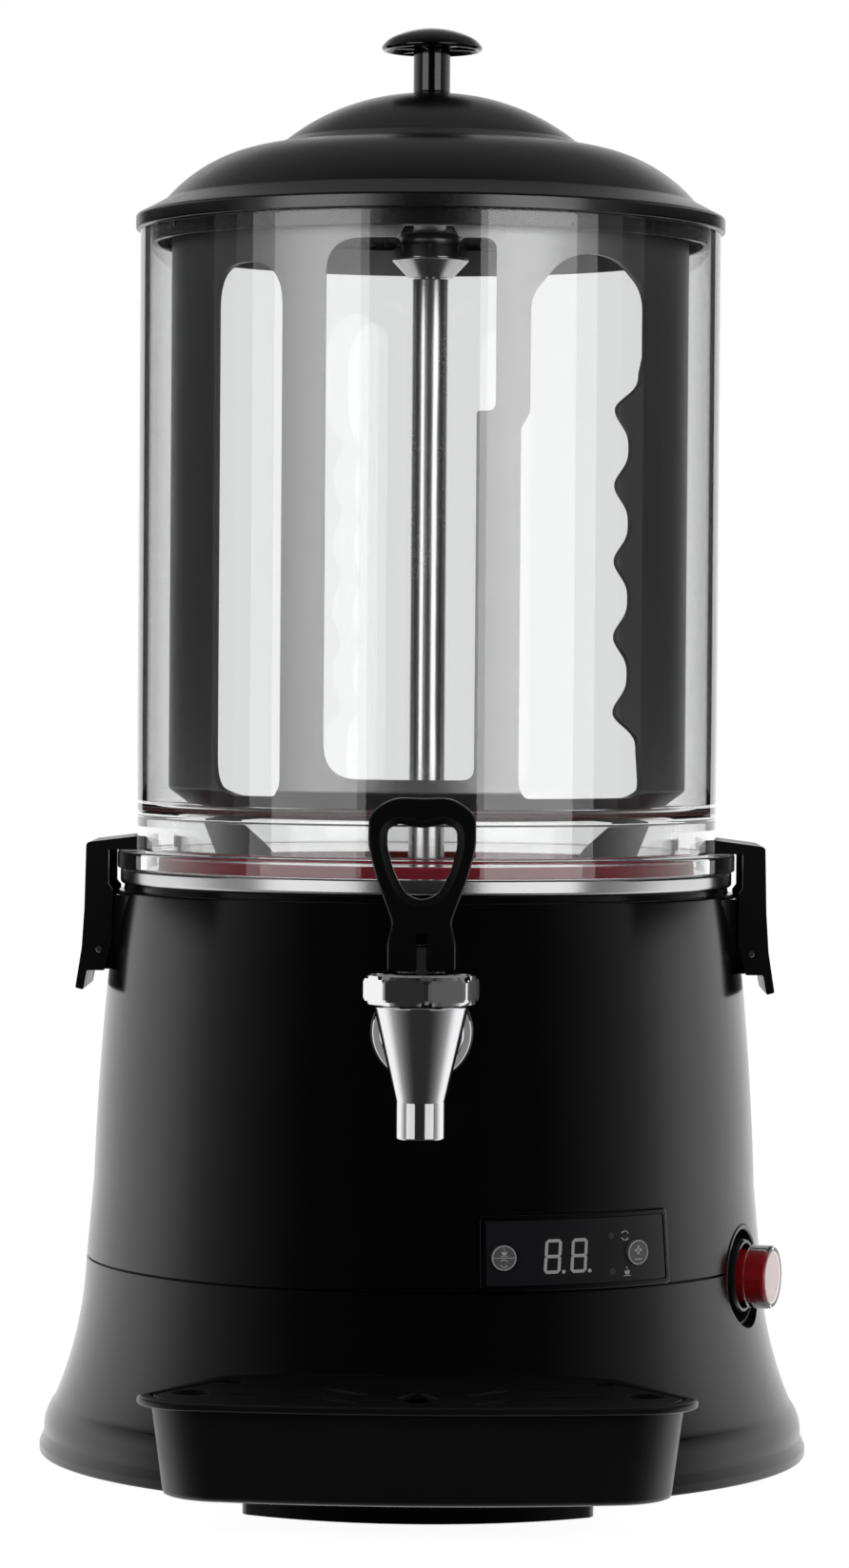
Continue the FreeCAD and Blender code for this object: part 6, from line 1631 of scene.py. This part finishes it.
@dataclass
class Panel:
    """The control panel on the housing: frame, glossy face, display, lamps, keys and their signs."""

    azimuth: float = 26.75
    half_width: float = 40.45
    low: float = 82.1
    high: float = 111.0
    rim: float = 1.9
    rise: float = 2.8
    recess: float = 1.2
    level: float = 95.0
    left_key: float = 13.3
    right_key: float = 37.05
    key_radius: float = 4.9
    key_top: float = 138.4
    display_azimuth: float = 24.2
    lamp_azimuth: float = 32.2
    sign_azimuth: float = 34.9
    print_rise: float = 0.16
    digit_lean: float = 0.09
    taper: float = (Housing.seam_radius - Housing.knee[0]) / (Housing.knee[1] - Housing.seam_level)
    bend_radius: float = 134.4

    def bent(self, skin: Skin, azimuth: float | None = None, level: float = 0.0) -> Skin:
        """A skin bent onto the housing: x goes round it, y up it, and z out from it.

        The point (x, y, z) goes to azimuth + x / R at the radius of the taper at y, plus z.

        Args:
            skin: the flat skin.
            azimuth: where its x = 0 goes, or None for the panel's middle.
            level: where its y = 0 goes.

        Returns:
            The bent skin.
        """
        middle = math.radians(self.azimuth if azimuth is None else azimuth)
        x, y, z = skin.points.T
        up = y + level
        radius = Housing.seam_radius - self.taper * (up - Housing.seam_level) + z
        turn = middle + x / self.bend_radius
        return Skin(np.column_stack([radius * np.sin(turn), -radius * np.cos(turn), up]), skin.faces)

    def sheet(
        self, half_width: float, low: float, high: float, corner: float, base: float, top: float, edge: float
    ) -> Skin:
        """A plate for bending: a rounded rectangle whose face is cut into columns.

        Args:
            half_width: half of its width.
            low: its lower edge.
            high: its upper edge.
            corner: the radius of its corners.
            base: the height of its back.
            top: the height of its face.
            edge: the radius of its front edge.

        Returns:
            The closed skin.
        """
        round_part = 1 - np.cos(np.linspace(0, math.pi / 2, 6))
        left = -half_width + corner * round_part
        across = np.concatenate([left, np.linspace(left[-1], -left[-1], 42)[1:-1], -left[::-1]])
        fall = np.maximum(corner - (half_width - np.abs(across)), 0)
        drop = corner - np.sqrt(np.maximum(corner**2 - fall**2, 0))

        def ring(draw: float, depth: float) -> Array:
            """The outline drawn in and put at a depth, its lower side first.

            Args:
                draw: how far it is drawn in.
                depth: its height.

            Returns:
                The ring of points.
            """
            scale = (half_width - draw) / half_width
            lower = np.column_stack([across * scale, low + drop + draw])
            upper = np.column_stack([across * scale, high - drop - draw])
            return at_level(np.vstack([lower, upper[::-1]]), depth)

        turns = np.linspace(0, math.pi / 2, 4)
        bend = [ring(edge * (1 - math.cos(t)), top - edge * (1 - math.sin(t))) for t in turns]
        shape = [ring(0.0, base), *bend]
        skin = lofted(shape, caps=False)
        count = len(across)
        index = np.arange(count - 1)
        cap = np.stack([index, index + 1, 2 * count - 2 - index, 2 * count - 1 - index], axis=-1)
        last = 2 * count * (len(shape) - 1)
        skin.faces += [cap[:, ::-1], cap + last]
        return skin

    def inner_sheet(self, draw: float, corner: float, base: float, top: float, edge: float) -> Skin:
        """A sheet drawn in from the panel's outline and bent onto the housing."""
        low, high = self.low + draw, self.high - draw
        return self.bent(self.sheet(self.half_width - draw, low, high, corner, base, top, edge))

    def key_hole(self, azimuth: float) -> Skin:
        """The cutter of a key's round hole in the face."""
        cutter = revolved(rectangle(0, self.key_radius + 0.35, 128.0, 145.0), 64)
        return cutter.placed(outward(azimuth, self.level))

    def key(self, azimuth: float) -> Skin:
        """A key's cap and stem, turned about its own axis.

        Args:
            azimuth: the key's angle from the tap.

        Returns:
            The skin.
        """
        foot, under, top, radius = 127.2, self.key_top - 9, self.key_top, self.key_radius
        profile = rounded(
            [
                (0, foot), (radius / 2, foot), (radius / 2, under), (radius, under, 0.3),
                (radius, top, 0.6), (4.2, top + 0.05, 0.3), (0, top + 0.15),
            ],
            closed=False,
        )
        return revolved(profile, 64, closed=False).placed(outward(azimuth, self.level))

    def key_sign(self, lines: list[Skin], azimuth: float) -> Skin:
        """A key's raised sign with a ring round it, laid on the key's face.

        Args:
            lines: the flat shapes of the sign.
            azimuth: the key's angle from the tap.

        Returns:
            The ring and the sign as one skin.
        """
        low, high = self.key_top, self.key_top + 0.22
        section = ((4.75, low), (4.75, high), (4.3, high), (4.3, low))
        rings = [at_level(circle(radius, 64), level) for radius, level in section]
        ring = grid(np.stack(rings), wrap_rows=True, wrap_columns=True)
        raised = [line.shifted(up=low + 0.05) for line in lines]
        return joined(ring, *raised).placed(outward(azimuth, self.level))

    def printed(self, outline: Array, edge: float = 0.02) -> Skin:
        """A flat shape of a sign or a digit, thick enough to stand just proud."""
        return plate(outline, 0.0, self.print_rise, edge, 1)

    def bar(self, width: float, height: float, level: float = 0.0) -> Skin:
        """A small flat bar with its middle on the key's upright line."""
        return self.printed(rectangle(-width / 2, width / 2, level - height / 2, level + height / 2), 0.04)

    def swirl(self, x: float, y: float, radius: float, thick: float = 0.35) -> Skin:
        """A round arrow: two arcs with a gap between them, each ending in a point.

        Args:
            x: its middle across.
            y: its middle upwards.
            radius: of its arcs.
            thick: the line's width.

        Returns:
            The two arrows as one skin.
        """
        width = np.concatenate([np.full(16, thick), thick * np.array([2.4, 1.7, 1.0]), [0.05]])
        skins = []
        for start in (20.0, 200.0):
            turn = np.radians(np.linspace(start, start + 130, 20))
            spokes = np.column_stack([np.cos(turn), np.sin(turn)])
            outside = spokes * (radius + width / 2)[:, None]
            inside = spokes * (radius - width / 2)[:, None]
            skins.append(self.printed(np.vstack([outside, inside[::-1]]) + np.array([x, y])))
        return joined(*skins)

    def cup(self, x: float, y: float, size: float) -> Skin:
        """A cup on a saucer with a wisp of steam over it.

        Args:
            x: its middle across.
            y: its middle upwards.
            size: half the width of its rim.

        Returns:
            The three shapes as one skin.
        """
        side = [(-0.75, -0.45, 0.3), (-0.4, -0.7, 0.2), (0.4, -0.7, 0.2), (0.75, -0.45, 0.3)]
        bowl = rounded([*side, (1, 0.5), (-1, 0.5)], 3)
        level = np.linspace(0.7, 1.7, 12)
        sway = 0.25 * np.sin((level - 0.7) * 6.3)
        right, left = np.column_stack([sway + 0.13, level]), np.column_stack([sway - 0.13, level])
        steam = np.vstack([right, left[::-1]])
        saucer = rectangle(-1.3, 1.3, -1.15, -0.92)
        return joined(*[self.printed(shape * size + np.array([x, y])) for shape in (bowl, steam, saucer)])

    def digit(self, x: float) -> Skin:
        """An eight of seven bars with pointed ends, leaning to the right, and its point.

        Args:
            x: its middle across.

        Returns:
            The bars and the point as one skin.
        """
        half, tall, short = 2.75, 5.9, 0.55
        skins = [self.segment(x, y, half - short, False) for y in (-tall, 0.0, tall)]
        for side in (-half, half):
            skins += [self.segment(x + side, y, tall / 2 - short, True) for y in (-tall / 2, tall / 2)]
        point = circle(0.75, 24) + np.array([x + half + 2.0 - tall * self.digit_lean, -tall])
        return joined(*skins, self.printed(point, 0.04))

    def segment(self, x: float, y: float, reach: float, tall: bool) -> Skin:
        """One bar of a digit: a long hexagon with its tips on its own line, upright or level.

        Args:
            x: its middle across.
            y: its middle upwards.
            reach: half its length to its shoulders.
            tall: whether it is upright.

        Returns:
            The closed skin.
        """
        half = 0.625
        tip = reach + half
        hexagon = [(-tip, 0), (-reach, -half), (reach, -half), (tip, 0), (reach, half), (-reach, half)]
        outline = np.array([(-b, a) if tall else (a, b) for a, b in hexagon]) + np.array([x, y])
        outline[:, 0] += outline[:, 1] * self.digit_lean
        return self.printed(outline, 0.05)

    def plates(self) -> None:
        """Make the raised frame and the glossy face in its recess, with the keys' holes."""
        floor = self.rise - self.recess
        recess = self.inner_sheet(self.rim, 1.0, floor, self.rise + 3, 0.05)
        face = self.inner_sheet(self.rim + 0.15, 0.9, floor + 0.05, self.rise - 0.35, 0.25)
        holes = [self.key_hole(azimuth) for azimuth in (self.left_key, self.right_key)]
        for name, skin, finish, node, slot, cuts in (
            (
                "panel_rim", self.inner_sheet(0.0, 1.6, 0.1, self.rise, 0.7), "shell_gloss_black",
                "panel_frame", "black_plastic", [recess],
            ),
            ("panel_glass", face, "panel_gloss", "panel_face", "panel_gloss", holes),
        ):
            make_piece(name, skin, finish, "housing", (node,), Trim(cuts=cuts))

    def prints(self) -> None:
        """Make the display, its digits, the two lamps and the signs, just proud of the glossy face."""
        proud = self.rise - 0.36
        window = self.sheet(11.7, -7.95, 7.95, 0.4, 0.0, 0.06, 0.02).shifted(up=proud)
        digits = joined(self.digit(-6.2), self.digit(4.6)).shifted(up=proud + 0.02)
        lens = [plate(circle(1.35, 32) + np.array([0, rise]), 0.0, 0.2, 0.08, 2) for rise in (6.8, -6.8)]
        signs = joined(self.swirl(0, 6.6, 1.7), self.cup(0.3, -7.4, 1.25)).shifted(up=proud)
        for name, skin, azimuth, finish, nodes, slot in (
            ("display_window", window, self.display_azimuth, "display_dark", (), "display_glass"),
            ("display_digits", digits, self.display_azimuth, "segment_grey", (), "display_glass"),
            (
                "panel_lamps", joined(*lens).shifted(up=proud), self.lamp_azimuth, "lamp_lens",
                ("indicator_leds",), "led_lens",
            ),
            ("panel_signs", signs, self.sign_azimuth, "print_grey", (), "panel_gloss"),
        ):
            make_piece(name, self.bent(skin, azimuth, self.level), finish, "housing", nodes)

    def build(self) -> None:
        """Make the panel's pieces, and the keys with their signs."""
        self.plates()
        self.prints()
        left_sign = [self.bar(8.6, 0.3), self.cup(0, 1.8, 1.15), self.swirl(0, -2.1, 1.4)]
        plus_minus = [self.bar(3.4, 1.0, 0.9), self.bar(1.0, 3.4, 0.9), self.bar(3.6, 0.5, -2.6)]
        keys = (
            ("left_key", self.left_key, "mode_key", "mode_button", left_sign),
            ("right_key", self.right_key, "temp_key", "temp_button", plus_minus),
        )
        for name, azimuth, body, node, _ in keys:
            make_piece(name, self.key(azimuth), "key_grey", body, (node,))
        for name, azimuth, body, _, sign in keys:
            make_piece(f"{name}_sign", self.key_sign(sign, azimuth), "print_grey", body)


# ---------------------------------------------------------------- power switch


@dataclass
class Switch:
    """The round power switch: dish, collar, red button and clear cap."""

    azimuth: float = Housing.switch_azimuth
    level: float = Housing.switch_level
    rim: float = 134.8
    depth: float = 9.0
    dish_radius: float = 20.2
    socket_radius: float = 10.8
    button_radius: float = 10.5
    button_foot: float = 127.2
    button_end: float = 146.4
    cap_radius: float = 12.6
    cap_foot: float = 138.8
    cap_end: float = 147.7

    def turned_piece(self, corners: list, closed: bool = True) -> Skin:
        """A profile of radius and distance from the bowl's axis, turned about the switch's own axis."""
        skin = revolved(rounded(corners, closed=closed), 128, closed)
        return skin.placed(outward(self.azimuth, self.level))

    def dish(self) -> Skin:
        """The dish and the raised collar round the button.

        Returns:
            The closed skin.
        """
        rim, floor, collar_top = self.rim, self.rim - self.depth, self.rim + 1.4
        return self.turned_piece(
            [
                (self.socket_radius, floor - 1.8), (19.2, floor - 1.8), (self.dish_radius, floor),
                (self.dish_radius, rim, 0.7), (18.4, rim, 0.8), (17.2, floor + 0.2, 1.5),
                (15.6, floor + 1.4, 0.8), (14.6, rim + 0.4, 0.8), (14.0, collar_top, 0.3),
                (12.9, collar_top, 0.3), (12.9, floor + 4.0, 0.2), (self.socket_radius, floor + 4.0, 0.3),
            ]
        )

    def build(self) -> None:
        """Make the dish, the red button and the clear cap."""
        radius, foot, end = self.button_radius, self.button_foot, self.button_end
        button = self.turned_piece([(0, foot), (radius, foot), (radius, end, 1.0), (0, end)], False)
        inner, under = radius + 0.1, end + 0.2
        cap = self.turned_piece(
            [
                (inner, self.cap_foot, 0.2), (self.cap_radius, self.cap_foot, 0.4),
                (self.cap_radius, self.cap_end, 1.6), (0.0, self.cap_end), (0.0, under),
                (inner, under, 0.8),
            ]
        )
        make_piece("switch_dish", self.dish(), "panel_gloss", "housing", ("switch_housing",))
        make_piece("switch_red_button", button, "switch_red", "switch", ("switch_button",))
        make_piece("switch_clear_cap", cap, "cap_clear", "switch", ("switch_cap",))


# ---------------------------------------------------------------- drip tray


@dataclass
class Tray:
    """The drip tray and its lift-off grid."""

    top: float = 51.2
    rim: float = 3.0
    foot: float = 13.5
    back_half: float = 72.5
    side_half: float = 103.0
    side_reach: float = 201.0
    front_reach: float = 221.0
    front_corner: float = 19.0
    front_rise: float = 7.2
    shelf: float = 48.8
    grid_thick: float = 1.95

    def plan(self, draw: float, back_radius: float) -> Array:
        """The tray's outline from above, drawn in by a margin: hollow back, spreading sides, bowed front.

        Args:
            draw: the margin.
            back_radius: the radius of the hollow back, about the bowl's axis.

        Returns:
            A counter-clockwise outline with -y to the front.
        """
        near = self.back_half - draw
        back = math.sqrt(back_radius**2 - near**2)
        half, side, front = self.side_half - draw, self.side_reach - draw * 0.5, self.front_reach - draw
        across, shoulder, rise = half - self.front_corner, front + 2.8, self.front_rise
        bow = (across**2 + rise**2) / (2 * rise)
        heel, corner, turn = (near + 5, -back - 4), (half, -side), (across, -shoulder)
        right = np.vstack(
            [
                np.array([(near, -back)]),
                arc((near, -back), heel, 5.0, -1, 5),
                np.linspace(heel, corner, 14)[1:],
                arc(corner, turn, self.front_corner * 1.2, -1, 14),
                arc(turn, (0, -front - 10.0), bow, -1, 24),
            ]
        )
        left = right[:-1][::-1] * np.array([-1, 1])
        rear = arc((-near, -back), (near, -back), back_radius, -1, 32)[:-1]
        return np.vstack([right, left, rear])[::-1]

    def basin(self) -> Skin:
        """The tray as rings: inside floor, inner wall, shelf, rim with round edges, outer wall, underside.

        Returns:
            The closed skin.
        """
        top, low, foot, shelf, ledge = self.top, self.top - self.rim, self.foot, self.shelf, self.shelf - 2.6
        section = (
            (12.4, 167.8, foot + 2.2), (11.8, 167.2, foot + 2.4), (7.6, 167.2, ledge),
            (10.6, 171.0, ledge), (10.6, 171.0, shelf), (5.2, 167.6, shelf), (5.2, 167.6, top - 0.8),
            (4.6, 167.0, top - 0.2), (3.8, 166.2, top), (1.5, 164.2, top), (0.5, 163.4, top - 0.4),
            (0.0, 163.0, top - 1.3), (0.1, 163.1, low + 0.5), (0.6, 163.5, low), (4.6, 164.6, low),
            (5.2, 165.0, low - 0.8), (9.3, 165.0, foot + 2.2), (9.8, 165.4, foot + 0.7),
            (11.2, 166.4, foot),
        )
        return lofted([at_level(self.plan(draw, back), level) for draw, back, level in section])

    def slots(self) -> list[Skin]:
        """The cutters of the grid: round holes, the pointed slot and the curved slots.

        Returns:
            The cutters.
        """
        shapes = []
        for side in (1, -1):
            shapes.append(circle(7.0, 48) + np.array([84.0 * side, -192.5]))
            shapes.append(circle(4.6, 48) + np.array([69.5 * side, -161.5]))
            shapes.append(self.crescent(side, (64.5, 171.0), (36.0, 174.5), (17.5, 194.0)))
            shapes.append(self.crescent(side, (69.5, 195.0), (38.5, 198.5), (21.0, 217.0)))
        diamond = [(-7.7, -203.2, 1.0), (0, -221.0, 4.0), (7.7, -203.2, 1.0), (0, -185.6, 4.0)]
        shapes.append(rounded(diamond, 6))
        return [plate(shape, 40.0, 60.0, 0.01, 1) for shape in shapes]

    def crescent(self, side: int, outer: tuple, middle: tuple, inner: tuple) -> Array:
        """A curved slot: a fine outer end, a bend, and a wide blunt inner end.

        Args:
            side: 1 for the right, -1 for the left.
            outer: its outer end, as distance across and forward.
            middle: where it bends.
            inner: its inner end.

        Returns:
            The outline.
        """
        near = rounded([outer, (*middle, 30), inner], 10, closed=False)
        bend = (middle[0] + 2, middle[1] + 4.4, 30)
        far = rounded([(outer[0], outer[1] + 1.2), bend, (inner[0] + 8.0, inner[1] + 0.8)], 10, closed=False)
        outline = np.vstack([near, far[::-1]]) * np.array([side, -1])
        x, y = outline.T
        area = np.sum(x * np.roll(y, -1) - y * np.roll(x, -1))
        return outline if area > 0 else outline[::-1]

    def build(self) -> None:
        """Make the tray and the grid."""
        low = self.shelf + 0.05
        cover = plate(self.plan(5.7, 168.1), low, low + self.grid_thick, 0.3)
        for name, skin, body, node, trim in (
            ("tray_basin", self.basin(), "tray", "drip_tray", Trim(sharp=50)),
            ("tray_grid", cover, "grid", "drip_grid", Trim(cuts=self.slots(), bevel=0.25)),
        ):
            make_piece(name, skin, "tray_black", body, (node,), trim)


# ---------------------------------------------------------------- nodes that stay


CARRIED = {
    "zinc": (
        "base_plate", "base_screws", "heating_element", "lid_knob_screw", "motor_can", "motor_bracket",
        "clip_spring_right", "clip_spring_left",
    ),
    "satin_black": (
        "cord_gland", "thermostat", "upper_bushing", "lower_bushing", "clip_bracket_right",
        "clip_bracket_left", "switch_body",
    ),
    "steel_turned": (
        "heating_pan", "pan_outlet_tube", "water_jacket", "drive_shaft", "tap_stem", "tap_spring",
        "handle_pivot_pin",
    ),
    "dark_rubber": ("rubber_foot_ring", "tap_washer"),
    "board_green": ("control_board", "power_board"),
    "motor_grey": ("gearbox_case",),
    "chrome": ("tap_shank_nut",),
    "gasket_red": ("tap_seat_cup",),
    "display_dark": ("display_module",),
}


def dress_nodes() -> None:
    """Give each CAD node that stays its finish."""
    for finish, nodes in CARRIED.items():
        for node in nodes:
            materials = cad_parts[node].data.materials
            materials.clear()
            materials.append(bpy.data.materials[finish])
            LOG.info("%s: %s", node, finish)


def main() -> None:
    """Build the finishes, the studio and every piece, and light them."""
    logging.basicConfig(level=logging.INFO, format="%(name)s: %(message)s")
    for finish in FINISHES:
        finish.build()
    studio = Studio()
    studio.build()
    for assembly in (Housing(), Bowl(), Lid(), Stirrer(), Latches(), Tap(), Panel(), Switch(), Tray()):
        assembly.build()
    dress_nodes()
    studio.lamps()


if __name__ == "__main__":
    main()
